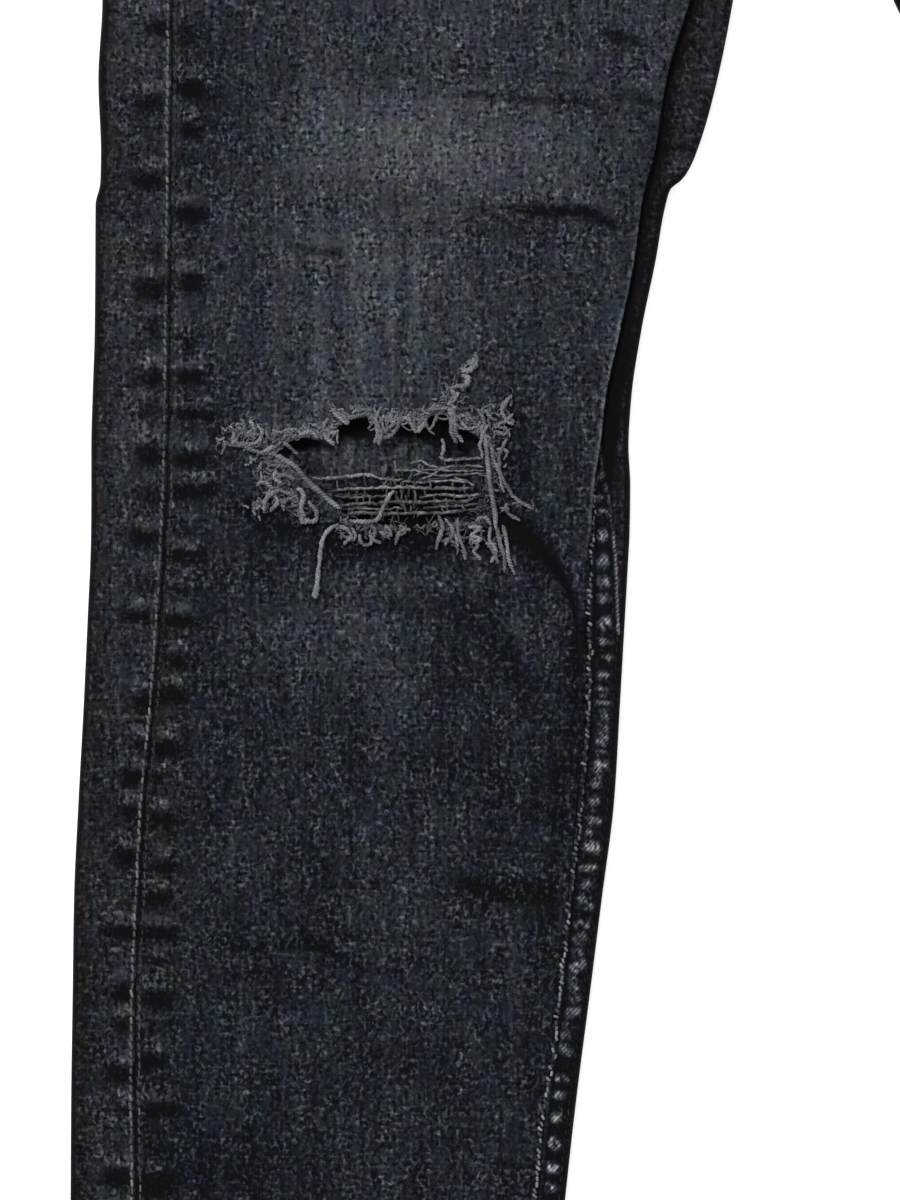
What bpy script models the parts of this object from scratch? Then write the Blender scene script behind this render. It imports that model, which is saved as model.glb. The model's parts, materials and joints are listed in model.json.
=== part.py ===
# One pair of long, slim-tapered denim jeans with a ripped right knee, laid front up on a
# flat surface.  Each cut-and-sewn piece is a closed wall of cloth with its real thickness.
#
# All lengths in the tables are millimetres.  Garment axes: x = 0 is the centre front line,
# +x the wearer's left leg, y = 0 the crotch point, +y towards the waist, z = 0 the surface
# that the jeans lie on.  A leg's tables are written for the wearer's right leg (negative x);
# the left leg reads its own table and is mirrored.

import math

import bmesh
import bpy

for old in list(bpy.data.objects):
    bpy.data.objects.remove(old, do_unlink=True)

MM = 0.001

# ---------------------------------------------------------------- driving dimensions
CLOTH = 1.1            # wall of one denim panel
SEAM = 0.30            # clearance between two pieces that are sewn together
STACK = 0.35           # clearance between two layers that lie on each other
HEM_TURN = 0.9         # extra wall where the hem is turned up, inside
HEM_TOP = -760.0       # upper edge of the turned hem
TUCK_RADIUS = 0.85     # bend of the front panel where it folds under, at mid wall
ROLL_REACH = 48.0      # how far the rounded outer fold lifts the front
TUCK_REACH = 45.0      # how far the hidden tuck lifts the front beside it
WAIST = 224.0          # waist seam at the side
FRONT_DIP = -12.0      # waist seam at centre front, against the side
BACK_RISE = 20.0       # waist seam at centre back, against the side
YOKE = 186.0           # yoke seam at the side
YOKE_DIP = -12.0       # yoke seam at centre back
BAND_HIGH = 38.0       # waistband height
BAND_THICK = 2.4       # waistband, two layers and turnings
BAND_FRONT = 5.5       # height of the front waistband's mid wall over the surface
BAND_BACK = 2.7        # height of the back waistband's mid wall
BAND_LAP = 8.3         # mid wall of the end that laps over at centre front
POCKET_WIDE = 100.0    # front pocket opening along the waist seam
POCKET_DEEP = 75.0     # front pocket opening along the outseam
FACING_MARGIN = 12.0   # how far the pocket facing runs under the front panel
PATCH_THICK = 1.1      # back pocket and belt loop

# The part's own frame: origin at the middle of the footprint, on the surface.
SHIFT_X = -4.75
SHIFT_Y = 247.35

# ---------------------------------------------------------------- section tables
# One row per section across the leg.  fold_out: outer fold of the laid leg.  outseam: side
# seam, where the back panel that has wrapped round the outer fold meets the front.
# front_edge: where the front panel ends or folds under.  tuck: how far it runs back under
# itself before the inseam.  fold_in: inner fold of the laid leg.
LEG_COLS = ("y", "fold_out", "outseam", "front_edge", "tuck", "fold_in")
LEG_RIGHT = (
    (224.0, -210.0, -197.0, -0.15, 0.0, -0.15),
    (186.0, -222.0, -205.0, -0.15, 0.0, -0.15),
    (149.0, -232.0, -212.5, -0.15, 0.0, -0.15),
    (105.0, -241.0, -219.0, -0.15, 0.0, -0.15),
    (60.0, -246.0, -222.0, -0.15, 0.0, -0.15),
    (25.0, -248.0, -223.3, -0.15, 0.0, -0.15),
    (0.0, -248.4, -223.6, -0.15, 0.0, -0.15),
    (-10.0, -248.4, -223.6, -2.6, 1.6, -2.0),
    (-28.0, -248.3, -223.6, -6.6, 5.0, -5.2),
    (-50.0, -248.1, -223.5, -11.5, 11.0, -9.0),
    (-80.0, -247.8, -223.4, -19.5, 20.0, -14.5),
    (-118.0, -247.5, -223.3, -30.5, 30.0, -21.3),
    (-157.5, -247.4, -223.3, -42.0, 36.0, -27.3),
    (-185.2, -248.8, -223.4, -50.3, 34.5, -32.8),
    (-212.0, -247.9, -223.6, -54.7, 33.0, -40.7),
    (-221.2, -248.1, -223.6, -57.4, 32.0, -48.5),
    (-229.0, -249.8, -223.7, -59.0, 31.0, -51.8),
    (-248.5, -249.9, -223.9, -61.6, 27.0, -54.4),
    (-273.0, -250.1, -224.2, -66.5, 22.0, -59.4),
    (-297.5, -250.9, -224.5, -72.1, 15.0, -63.0),
    (-313.5, -251.3, -224.8, -74.5, 10.0, -63.9),
    (-327.0, -251.3, -225.0, -76.1, 5.6, -63.3),
    (-343.0, -251.4, -225.7, -76.6, 2.2, -63.5),
    (-355.0, -251.7, -226.4, -76.9, 0.0, -64.1),
    (-367.5, -252.3, -227.1, -77.3, 0.0, -64.8),
    (-402.5, -253.9, -229.6, -78.0, 0.0, -66.8),
    (-437.5, -255.8, -232.8, -81.2, 0.0, -68.9),
    (-472.5, -257.4, -234.6, -84.7, 0.0, -73.3),
    (-507.5, -257.9, -236.0, -88.1, 0.0, -77.7),
    (-542.5, -258.4, -236.3, -92.2, 0.0, -82.2),
    (-577.5, -258.6, -235.9, -95.2, 0.0, -86.1),
    (-630.0, -259.0, -236.0, -99.4, 0.0, -91.0),
    (-690.0, -260.0, -236.3, -104.6, 0.0, -96.3),
    (-740.0, -261.0, -236.6, -109.0, 0.0, -100.8),
    (-760.0, -261.4, -236.7, -110.8, 0.0, -102.6),
    (-764.0, -261.5, -236.7, -111.2, 0.0, -103.0),
    (-780.0, -261.8, -236.8, -112.6, 0.0, -104.4),
)
LEG_LEFT = (
    (224.0, -210.0, -197.0, -0.15, 0.0, -0.15),
    (186.0, -222.0, -205.0, -0.15, 0.0, -0.15),
    (149.0, -232.0, -212.5, -0.15, 0.0, -0.15),
    (105.0, -241.0, -219.0, -0.15, 0.0, -0.15),
    (60.0, -246.0, -222.0, -0.15, 0.0, -0.15),
    (25.0, -248.0, -223.3, -0.15, 0.0, -0.15),
    (0.0, -248.4, -223.6, -0.15, 0.0, -0.15),
    (-10.0, -248.6, -223.7, -2.6, 1.6, -2.0),
    (-28.0, -248.8, -224.0, -6.6, 4.0, -5.2),
    (-60.0, -249.5, -224.6, -13.5, 8.0, -10.8),
    (-100.0, -250.5, -225.5, -22.0, 12.0, -17.5),
    (-140.0, -252.0, -226.8, -32.0, 13.0, -24.8),
    (-157.5, -252.8, -227.5, -37.0, 13.0, -29.5),
    (-172.0, -253.5, -228.1, -43.5, 13.0, -37.2),
    (-195.0, -254.5, -229.0, -50.0, 13.0, -43.5),
    (-230.0, -256.0, -230.3, -58.5, 12.0, -51.5),
    (-270.0, -257.3, -231.3, -67.0, 10.0, -60.0),
    (-310.0, -258.5, -232.3, -76.0, 6.0, -68.5),
    (-345.0, -260.3, -234.6, -83.5, 2.2, -72.0),
    (-357.0, -260.8, -235.4, -84.3, 0.0, -73.2),
    (-370.0, -261.3, -236.2, -84.8, 0.0, -74.3),
    (-430.0, -264.3, -241.3, -89.2, 0.0, -78.2),
    (-500.0, -266.8, -245.0, -96.0, 0.0, -86.0),
    (-577.0, -267.6, -244.9, -103.6, 0.0, -94.8),
    (-640.0, -268.5, -245.0, -108.6, 0.0, -100.0),
    (-700.0, -269.7, -245.2, -113.6, 0.0, -105.0),
    (-760.0, -271.0, -245.4, -118.5, 0.0, -110.0),
    (-764.0, -271.0, -245.4, -118.8, 0.0, -110.3),
    (-780.0, -271.3, -245.5, -120.1, 0.0, -111.5),
)

# How the layers pile up.  lift: underside of the back over the surface (the back pockets
# lie under it).  mid: the front panel's mid wall between the folds.  inner: the same beside
# front_edge.  roll_out and roll_in: bend radius of the two side folds at mid wall.
PILE_COLS = ("y", "lift", "mid", "inner", "roll_out", "roll_in")
PILE = (
    (224.0, 1.50, 5.3, 5.30, 1.70, 0.90),
    (60.0, 1.50, 5.3, 5.30, 1.70, 0.90),
    (25.0, 1.50, 5.0, 4.40, 1.75, 0.90),
    (0.0, 1.50, 4.7, 3.60, 1.80, 0.90),
    (-10.0, 1.45, 4.6, 6.90, 1.82, 0.90),
    (-28.0, 1.30, 4.4, 7.00, 1.85, 1.00),
    (-50.0, 1.00, 4.1, 6.90, 1.90, 1.10),
    (-80.0, 0.50, 3.7, 6.60, 2.00, 1.20),
    (-118.0, 0.00, 3.2, 6.20, 2.10, 1.25),
    (-157.5, 0.00, 3.0, 6.30, 2.10, 1.30),
    (-313.5, 0.00, 2.9, 6.10, 1.90, 1.20),
    (-345.0, 0.00, 2.8, 6.10, 1.80, 1.20),
    (-357.0, 0.00, 2.8, 4.55, 1.75, 1.20),
    (-370.0, 0.00, 2.7, 2.95, 1.70, 1.20),
    (-577.5, 0.00, 2.7, 2.95, 1.60, 1.20),
    (-740.0, 0.00, 3.3, 3.20, 1.80, 1.35),
    (-760.0, 0.00, 4.0, 3.80, 1.95, 1.60),
    (-764.0, 0.00, 4.3, 4.15, 2.00, 1.80),
    (-780.0, 0.00, 4.3, 4.15, 2.00, 1.80),
)

# Largest soft folds of the front panels: centre, half length, half width, turn from the x
# axis in degrees, rise.
FOLD_COLS = ("x", "y", "long", "wide", "turn", "rise")
FOLDS_RIGHT = (
    (-92.0, -24.0, 52.0, 13.0, 34.0, 1.6),
    (-112.0, -66.0, 58.0, 14.0, 21.0, 1.9),
    (-126.0, -112.0, 54.0, 14.0, 12.0, 1.3),
    (-150.0, -292.0, 58.0, 17.0, -3.0, 1.3),
    (-108.0, -360.0, 32.0, 12.0, -38.0, 1.2),
    (-168.0, -352.0, 46.0, 14.0, 4.0, 1.1),
    (-172.0, -455.0, 55.0, 17.0, -5.0, 1.0),
    (-160.0, -560.0, 52.0, 18.0, 7.0, 1.1),
    (-182.0, -676.0, 55.0, 14.0, 5.0, 1.6),
    (-168.0, -722.0, 48.0, 12.0, -6.0, 1.4),
)
FOLDS_LEFT = (
    (-86.0, -30.0, 50.0, 13.0, 36.0, 1.7),
    (-118.0, -80.0, 60.0, 14.0, 20.0, 1.6),
    (-140.0, -150.0, 50.0, 15.0, 8.0, 1.1),
    (-160.0, -312.0, 56.0, 16.0, -6.0, 1.5),
    (-178.0, -366.0, 48.0, 14.0, 6.0, 1.2),
    (-166.0, -470.0, 54.0, 17.0, 9.0, 1.1),
    (-188.0, -610.0, 50.0, 16.0, -5.0, 1.2),
    (-176.0, -700.0, 54.0, 13.0, -4.0, 1.7),
)

# The knee rip: the hole's upper and lower edge along the tear, from its centre.
RIP_X, RIP_Y = -149.8, -325.5
RIP_COLS = ("along", "upper", "lower")
RIP = (
    (-36.8, 9.8, 7.7),
    (-32.2, 13.6, 4.9),
    (-26.9, 14.4, 0.0),
    (-21.0, 14.0, -5.3),
    (-15.4, 16.1, -10.9),
    (-13.0, 17.5, -14.7),
    (-8.4, 20.7, -15.4),
    (-1.4, 19.6, -15.8),
    (6.3, 19.6, -15.8),
    (15.1, 18.9, -15.4),
    (22.4, 21.4, -15.4),
    (29.4, 16.5, -15.1),
    (35.0, 14.7, -14.7),
    (36.8, 11.9, -13.3),
)

# ---------------------------------------------------------------- small helpers


def ease(t):
    t = min(max(t, 0.0), 1.0)
    return t * t * (3.0 - 2.0 * t)


def read(table, cols, y):
    """The table's row at height y, blended between its two nearest rows."""
    rows = table
    if y >= rows[0][0]:
        return dict(zip(cols, rows[0]))
    for upper, lower in zip(rows, rows[1:]):
        if lower[0] <= y <= upper[0]:
            f = (upper[0] - y) / (upper[0] - lower[0])
            return {c: a + (b - a) * f for c, a, b in zip(cols, upper, lower)}
    return dict(zip(cols, rows[-1]))


def material(name, colour, roughness, metallic=0.0):
    mat = bpy.data.materials.new(name)
    mat.use_nodes = True
    shader = mat.node_tree.nodes["Principled BSDF"]
    shader.inputs["Base Color"].default_value = (*colour, 1.0)
    shader.inputs["Roughness"].default_value = roughness
    shader.inputs["Metallic"].default_value = metallic
    return mat


DENIM_FRONT = material("denim_front", (0.028, 0.033, 0.044), 0.92)
DENIM_BACK = material("denim_back", (0.022, 0.024, 0.031), 0.94)
DENIM_TRIM = material("denim_trim", (0.024, 0.028, 0.037), 0.92)
METAL = material("aged_metal", (0.16, 0.13, 0.10), 0.45, 1.0)


def place(point, mirror):
    x, y, z = point
    return ((-x if mirror else x) + SHIFT_X) * MM, (y + SHIFT_Y) * MM, z * MM


def make(name, verts, faces, mat, mirror=False, smooth=True):
    mesh = bpy.data.meshes.new(name)
    mesh.from_pydata([place(v, mirror) for v in verts], [], faces)
    bm = bmesh.new()
    bm.from_mesh(mesh)
    bmesh.ops.triangulate(bm, faces=[f for f in bm.faces if len(f.verts) == 4])
    bmesh.ops.recalc_face_normals(bm, faces=bm.faces)
    bm.to_mesh(mesh)
    bm.free()
    if smooth:
        mesh.shade_smooth()
        mesh.set_sharp_from_angle(angle=math.radians(50))
    mesh.materials.append(mat)
    obj = bpy.data.objects.new(name, mesh)
    bpy.context.collection.objects.link(obj)
    return obj


def thicken(line, out, inn, side):
    """Outer and inner points of a wall along a mid line of (x, z) points.  side is +1 where
    the cloth's outer face is on the left of the line's direction, -1 where it is on the
    right."""
    outer, inner = [], []
    last = len(line) - 1
    for i, (x, z) in enumerate(line):
        a = line[max(i - 1, 0)]
        b = line[min(i + 1, last)]
        d1 = _unit(x - a[0], z - a[1]) if i > 0 else None
        d2 = _unit(b[0] - x, b[1] - z) if i < last else None
        d1 = d1 or d2
        d2 = d2 or d1
        nx, nz = -(d1[1] + d2[1]), d1[0] + d2[0]
        ln = math.hypot(nx, nz)
        nx, nz = nx / ln, nz / ln
        stretch = 1.0 / max(0.6, (nx * -d1[1] + nz * d1[0]))
        outer.append((x + side * nx * out * stretch, z + side * nz * out * stretch))
        inner.append((x - side * nx * inn * stretch, z - side * nz * inn * stretch))
    return outer, inner


def _unit(dx, dz):
    ln = math.hypot(dx, dz)
    return (dx / ln, dz / ln)


def wall(name, sections, mat, mirror=False):
    """A closed wall lofted through sections; each section is a pair of equally long point
    lists, the cloth's outer face and its inner face."""
    rows = len(sections)
    cols = len(sections[0][0])
    verts = []
    for outer, inner in sections:
        verts += outer
        verts += inner

    def o(r, c):
        return r * 2 * cols + c

    def i(r, c):
        return r * 2 * cols + cols + c

    faces = []
    for r in range(rows - 1):
        for c in range(cols - 1):
            faces.append((o(r, c), o(r, c + 1), o(r + 1, c + 1), o(r + 1, c)))
            faces.append((i(r, c), i(r + 1, c), i(r + 1, c + 1), i(r, c + 1)))
        for c in (0, cols - 1):
            faces.append((o(r, c), o(r + 1, c), i(r + 1, c), i(r, c)))
    for r in (0, rows - 1):
        for c in range(cols - 1):
            faces.append((o(r, c), i(r, c), i(r, c + 1), o(r, c + 1)))
    return make(name, verts, faces, mat, mirror)


def plate(name, outline, low, high, mat, mirror=False):
    """A flat plate with a straight-sided outline of (x, y) points."""
    n = len(outline)
    verts = [(x, y, low) for x, y in outline] + [(x, y, high) for x, y in outline]
    faces = [tuple(range(n - 1, -1, -1)), tuple(range(n, 2 * n))]
    faces += [(k, (k + 1) % n, n + (k + 1) % n, n + k) for k in range(n)]
    return make(name, verts, faces, mat, mirror, smooth=False)


# ---------------------------------------------------------------- the laid leg


class Leg:
    def __init__(self, table, folds, mirror):
        self.table = table
        self.folds = folds
        self.mirror = mirror

    def at(self, y):
        row = read(self.table, LEG_COLS, y)
        row.update(read(PILE, PILE_COLS, y))
        return row

    def front_top(self, x, y):
        """Mid-wall height of the visible upper layer."""
        r = self.at(y)
        z_out = r["lift"] + CLOTH / 2 + 2 * r["roll_out"]
        from_out = (x - r["fold_out"]) / ROLL_REACH
        from_in = (r["front_edge"] - r["tuck"] - 3.0 - x) / TUCK_REACH
        z = r["mid"]
        z += (z_out - r["mid"]) * ease(1.0 - from_out)
        z += (r["inner"] - r["mid"]) * ease(1.0 - from_in)
        edge = ease((x - r["outseam"]) / 25.0) * ease((r["front_edge"] - x) / 25.0)
        for row in self.folds:
            f = dict(zip(FOLD_COLS, row))
            a = math.radians(f["turn"])
            dx, dy = x - f["x"], y - f["y"]
            u = (dx * math.cos(a) + dy * math.sin(a)) / f["long"]
            v = (-dx * math.sin(a) + dy * math.cos(a)) / f["wide"]
            z += edge * f["rise"] * math.exp(-(u * u + v * v) * 1.6)
        return z

    def bend(self, x, y, side):
        """Vertical shift of the waist and yoke lines: none at the outer fold, most at the
        centre."""
        f = 1.0 - (x / self.at(y)["fold_out"]) ** 2
        if side == "front":
            return FRONT_DIP * ease((y - 100.0) / (WAIST - 100.0)) * f
        if y <= YOKE:
            return YOKE_DIP * ease((y - 105.0) / (YOKE - 105.0)) * f
        return (YOKE_DIP + (BACK_RISE - YOKE_DIP) * (y - YOKE) / (WAIST - YOKE)) * f

    def walls(self, line, sides, y, seam_y, out_side):
        inn = CLOTH / 2 + (HEM_TURN if y < HEM_TOP - 2.0 else 0.0)
        outer, inner = thicken(line, CLOTH / 2, inn, out_side)

        def lift(points):
            return [(x, y + seam_y + self.bend(x, y, s), z)
                    for (x, z), s in zip(points, sides)]

        return lift(outer), lift(inner)

    def back_section(self, y, seam_y=0.0, whole=True):
        """From the outseam, round the outer fold, along the surface and, below the crotch,
        round the inner fold and back to the inseam."""
        r = self.at(y)
        line, sides = [], []
        radius = r["roll_out"]
        bx = r["fold_out"] + CLOTH / 2 + radius
        bz = r["lift"] + CLOTH / 2 + radius
        start = r["outseam"] - SEAM / 2
        for f in (0.0, 0.5):
            x = start + (bx - start) * f
            line.append((x, self.front_top(x, y)))
            sides.append("front")
        for k in range(5):
            a = math.radians(90.0 + 45.0 * k)
            line.append((bx + radius * math.cos(a), bz + radius * math.sin(a)))
            sides.append("front" if k < 2 else "back")
        floor = r["lift"] + CLOTH / 2
        radius = r["roll_in"]
        folded = y < 0.0
        if folded:
            ex = r["fold_in"] - CLOTH / 2 - radius
        else:
            ex = -SEAM / 2 - 5.0
        for f in (0.18, 0.5, 0.82):
            line.append((bx + (ex - bx) * f, floor))
            sides.append("back")
        if not whole:
            line.append((ex, floor))
            line.append((-SEAM / 2, floor))
            sides += ["back", "back"]
        elif folded:
            for k in range(5):
                a = math.radians(-90.0 + 45.0 * k)
                line.append((ex + radius * math.cos(a), floor + radius + radius * math.sin(a)))
            end = r["front_edge"] - r["tuck"] + (SEAM / 2 if r["tuck"] < 1.5 else 0.0)
            for f in (0.55, 1.0):
                line.append((ex + (end - ex) * f, floor + 2 * radius))
            sides += ["back"] * 7
        else:
            for f in (0.0, 0.2, 0.4, 0.55, 0.7, 0.85, 1.0):
                line.append((ex + (-SEAM / 2 - ex) * f, floor))
                sides.append("back")
        return self.walls(line, sides, y, seam_y, -1)

    def front_section(self, y, seam_y=0.0):
        """From the outseam, or from the pocket opening, to the centre front, or to the
        inner edge and under it to the inseam."""
        r = self.at(y)
        start = r["outseam"] + SEAM / 2
        if y > WAIST - POCKET_DEEP:
            start = self.scoop(y, 0.0)
        tucked = r["tuck"] >= 1.5
        if tucked:
            stop = r["front_edge"] - CLOTH / 2 - TUCK_RADIUS
        else:
            stop = r["front_edge"] - SEAM / 2 * (y < 0.0) - 3.5
        line = []
        for k in range(10):
            x = start + (stop - start) * k / 9.0
            line.append((x, self.front_top(x, y)))
        top = line[-1][1]
        if tucked:
            for k in range(1, 5):
                a = math.radians(90.0 - 45.0 * k)
                line.append((stop + TUCK_RADIUS * math.cos(a),
                             top - TUCK_RADIUS + TUCK_RADIUS * math.sin(a)))
            line.append((min(stop - 0.4, r["front_edge"] - r["tuck"]), top - 2 * TUCK_RADIUS))
        else:
            for f in (0.2, 0.4, 0.6, 0.8, 1.0):
                x = stop + 3.5 * f
                line.append((x, self.front_top(x, y)))
        return self.walls(line, ["front"] * len(line), y, seam_y, 1)

    def scoop(self, y, margin):
        """x of the front pocket opening's edge at height y."""
        f = min(1.0, max(0.0, (WAIST - y) / (POCKET_DEEP + margin)))
        return self.at(y)["outseam"] + SEAM / 2 + (POCKET_WIDE + margin) * math.sqrt(1.0 - f * f)

    def side_rows(self, low, high):
        return [row[0] for row in self.table if low <= row[0] <= high]


RIGHT = Leg(LEG_RIGHT, FOLDS_RIGHT, False)
LEFT = Leg(LEG_LEFT, FOLDS_LEFT, True)
POCKET_ROWS = (WAIST, 203.0, 184.0, 168.0, 156.0, WAIST - POCKET_DEEP)

for leg, hand in ((RIGHT, "right"), (LEFT, "left")):
    # front leg panel, waist seam to hem, with the pocket scoop
    rows = list(POCKET_ROWS) + leg.side_rows(-780.0, 148.0)
    front = wall("front_leg_" + hand, [leg.front_section(y) for y in rows],
                 DENIM_FRONT, leg.mirror)

    # back leg panel, yoke seam to hem, wrapped round both side folds
    rows = [YOKE] + leg.side_rows(-780.0, 150.0)
    wall("back_leg_" + hand,
         [leg.back_section(y, -SEAM / 2 if y == YOKE else 0.0) for y in rows],
         DENIM_BACK, leg.mirror)

    # yoke, between the back panel and the waistband
    wall("yoke_" + hand,
         [leg.back_section(y, SEAM / 2 if y == YOKE else 0.0, whole=False)
          for y in (WAIST, 205.0, YOKE)],
         DENIM_BACK, leg.mirror)

    # pocket facing, one layer under the front panel
    sections = []
    for y in (WAIST, 205.0, 185.0, 165.0, 148.0, 141.0):
        a = leg.at(y)["outseam"] + SEAM / 2
        b = leg.scoop(y, FACING_MARGIN)
        line = []
        for k in range(6):
            x = a + (b - a) * k / 5.0
            line.append((x, leg.front_top(x, y) - CLOTH - STACK))
        sections.append(leg.walls(line, ["front"] * 6, y, 0.0, 1))
    wall("pocket_facing_" + hand, sections, DENIM_TRIM, leg.mirror)

    # back patch pocket, under the seat
    cx = -92.0
    outline = ((cx - 75.0, 158.0), (cx + 75.0, 150.0), (cx + 68.0, 28.0),
               (cx + 2.0, 6.0), (cx - 66.0, 34.0))
    plate("back_pocket_" + hand, outline, 0.0, PATCH_THICK, DENIM_TRIM, leg.mirror)

# the knee rip, cut right through the right front panel
outline = [(RIP_X + u, RIP_Y + top) for u, top, low in RIP]
outline += [(RIP_X + u, RIP_Y + low) for u, top, low in reversed(RIP)]
cutter = plate("rip_cutter", outline, -4.0, 14.0, DENIM_FRONT)
cutter.hide_render = True
cutter.display_type = "WIRE"
cut = bpy.data.objects["front_leg_right"].modifiers.new("rip", "BOOLEAN")
cut.operation = "DIFFERENCE"
cut.solver = "EXACT"
cut.object = cutter

# ---------------------------------------------------------------- waistband
# The mid line runs from the under-lap at centre front along the wearer's right front, round
# the fold, along the back on the surface, and back to the end that laps over.
BAND_FOLD = 210.0
fold_r = (BAND_FRONT - BAND_BACK) / 2
fold_x = BAND_FOLD - BAND_THICK / 2 - fold_r
path = [(x, BAND_FRONT, "front") for x in (20.0, 6.0, -10.0, -45.0, -90.0, -135.0, -175.0)]
for k in range(5):
    a = math.radians(90.0 + 45.0 * k)
    path.append((-fold_x + fold_r * math.cos(a), BAND_BACK + fold_r + fold_r * math.sin(a),
                 "front" if k < 2 else "back"))
path += [(x, BAND_BACK, "back") for x in (-160.0, -105.0, -50.0, 0.0, 50.0, 105.0, 160.0)]
for k in range(5):
    a = math.radians(-90.0 + 45.0 * k)
    path.append((fold_x + fold_r * math.cos(a), BAND_BACK + fold_r + fold_r * math.sin(a),
                 "back" if k < 3 else "front"))
path += [(x, z, "front") for x, z in ((175.0, BAND_FRONT), (135.0, BAND_FRONT),
                                      (90.0, BAND_FRONT), (58.0, BAND_FRONT),
                                      (46.0, BAND_FRONT + 0.5), (34.0, BAND_LAP - 0.5),
                                      (25.0, BAND_LAP), (8.0, BAND_LAP), (-8.0, BAND_LAP))]


def band_bottom(x, side):
    f = 1.0 - (x / BAND_FOLD) ** 2
    return WAIST + SEAM + (FRONT_DIP if side == "front" else BACK_RISE) * f


outer, inner = thicken([(x, z) for x, z, s in path], BAND_THICK / 2, BAND_THICK / 2, -1)
sections = []
for high in (0.0, BAND_HIGH):
    sections.append(([(x, band_bottom(x, p[2]) + high, z) for (x, z), p in zip(outer, path)],
                     [(x, band_bottom(x, p[2]) + high, z) for (x, z), p in zip(inner, path)]))
wall("waistband", sections, DENIM_TRIM)

# ---------------------------------------------------------------- fly
# A placket on the wearer's left front that laps 4 mm over the right one; its lower outer
# corner is rounded off in the usual curve.
FLY_COLS = ("y", "inner", "outer")
FLY = (
    (WAIST, -4.0, 37.0),
    (160.0, -4.0, 37.0),
    (112.0, -4.0, 35.5),
    (93.0, -4.0, 30.0),
    (80.0, -4.0, 20.0),
    (73.0, -3.5, 8.0),
)
sections = []
for y, a, b in FLY:
    line = []
    for k in range(4):
        x = a + (b - a) * k / 3.0
        line.append((x, 5.3 + CLOTH / 2 + STACK + 0.5))
    over, under = thicken(line, 0.5, 0.5, 1)
    dip = [FRONT_DIP * ease((y - 100.0) / (WAIST - 100.0)) for _ in line]
    sections.append(([(x, y + d, z) for (x, z), d in zip(over, dip)],
                     [(x, y + d, z) for (x, z), d in zip(under, dip)]))
wall("fly", sections, DENIM_TRIM)

# ---------------------------------------------------------------- belt loops
LOOP_COLS = ("x", "side")
LOOPS = ((-112.0, "front"), (112.0, "front"), (-128.0, "back"), (128.0, "back"), (0.0, "back"))
for n, (cx, side) in enumerate(LOOPS, 1):
    bottom = band_bottom(cx, side) - 6.0
    top = bottom + BAND_HIGH + 9.0
    w, c = 5.5, 1.5
    outline = ((cx - w + c, bottom), (cx + w - c, bottom), (cx + w, bottom + c),
               (cx + w, top - c), (cx + w - c, top), (cx - w + c, top),
               (cx - w, top - c), (cx - w, bottom + c))
    if side == "front":
        low = BAND_FRONT + BAND_THICK / 2 + STACK
    else:
        low = 0.0
    plate("belt_loop_%d" % n, outline, low, low + PATCH_THICK, DENIM_TRIM)

# ---------------------------------------------------------------- waistband button
BUTTON_X = 6.0
button_y = band_bottom(BUTTON_X, "front") + BAND_HIGH / 2
base = BAND_LAP + BAND_THICK / 2 + SEAM
PROFILE_COLS = ("radius", "height")
PROFILE = ((0.0, 0.0), (3.0, 0.0), (3.0, 0.8), (8.0, 0.9), (8.6, 1.5), (8.2, 2.3),
           (6.4, 2.8), (5.8, 2.4), (0.0, 2.6))
bm = bmesh.new()
chain = [bm.verts.new((r * MM, 0.0, h * MM)) for r, h in PROFILE]
for a, b in zip(chain, chain[1:]):
    bm.edges.new((a, b))
bmesh.ops.spin(bm, geom=bm.verts[:] + bm.edges[:], axis=(0, 0, 1), cent=(0, 0, 0),
               angle=math.tau, steps=20, use_merge=True)
bmesh.ops.remove_doubles(bm, verts=bm.verts, dist=1e-6)
bmesh.ops.recalc_face_normals(bm, faces=bm.faces)
mesh = bpy.data.meshes.new("button")
bm.to_mesh(mesh)
bm.free()
mesh.shade_smooth()
mesh.set_sharp_from_angle(angle=math.radians(40))
mesh.materials.append(METAL)
button = bpy.data.objects.new("button", mesh)
button.location = place((BUTTON_X, button_y, base), False)
bpy.context.collection.objects.link(button)
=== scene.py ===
import json
import math

import bpy
import numpy as np
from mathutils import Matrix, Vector

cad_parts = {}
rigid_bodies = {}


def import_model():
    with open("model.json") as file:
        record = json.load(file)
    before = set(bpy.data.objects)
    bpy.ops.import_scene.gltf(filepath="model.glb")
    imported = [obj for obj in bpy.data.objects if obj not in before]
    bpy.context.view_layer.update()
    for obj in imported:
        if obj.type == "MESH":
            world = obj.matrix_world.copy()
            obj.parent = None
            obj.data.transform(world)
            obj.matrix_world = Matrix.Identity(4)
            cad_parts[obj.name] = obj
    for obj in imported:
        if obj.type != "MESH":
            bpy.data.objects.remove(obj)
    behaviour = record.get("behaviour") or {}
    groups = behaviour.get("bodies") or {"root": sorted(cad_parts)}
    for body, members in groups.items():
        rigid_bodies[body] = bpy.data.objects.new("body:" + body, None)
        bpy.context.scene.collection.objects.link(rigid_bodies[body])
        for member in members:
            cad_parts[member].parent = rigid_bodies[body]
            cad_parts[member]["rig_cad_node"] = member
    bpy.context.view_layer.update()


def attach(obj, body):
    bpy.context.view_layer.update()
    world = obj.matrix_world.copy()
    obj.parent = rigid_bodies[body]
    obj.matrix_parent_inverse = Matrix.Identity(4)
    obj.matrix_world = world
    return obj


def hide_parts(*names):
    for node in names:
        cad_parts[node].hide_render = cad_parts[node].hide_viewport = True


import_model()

# Lengths in the tables are millimetres in the garment's own axes: x = 0 is the centre front
# line, +x the wearer's left leg, y = 0 the crotch point, +y towards the waist, z = 0 the
# surface that the jeans lie on.  Tables of a leg are written for the wearer's right leg.
SHIFT_X, SHIFT_Y = -4.75, 247.35

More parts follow.
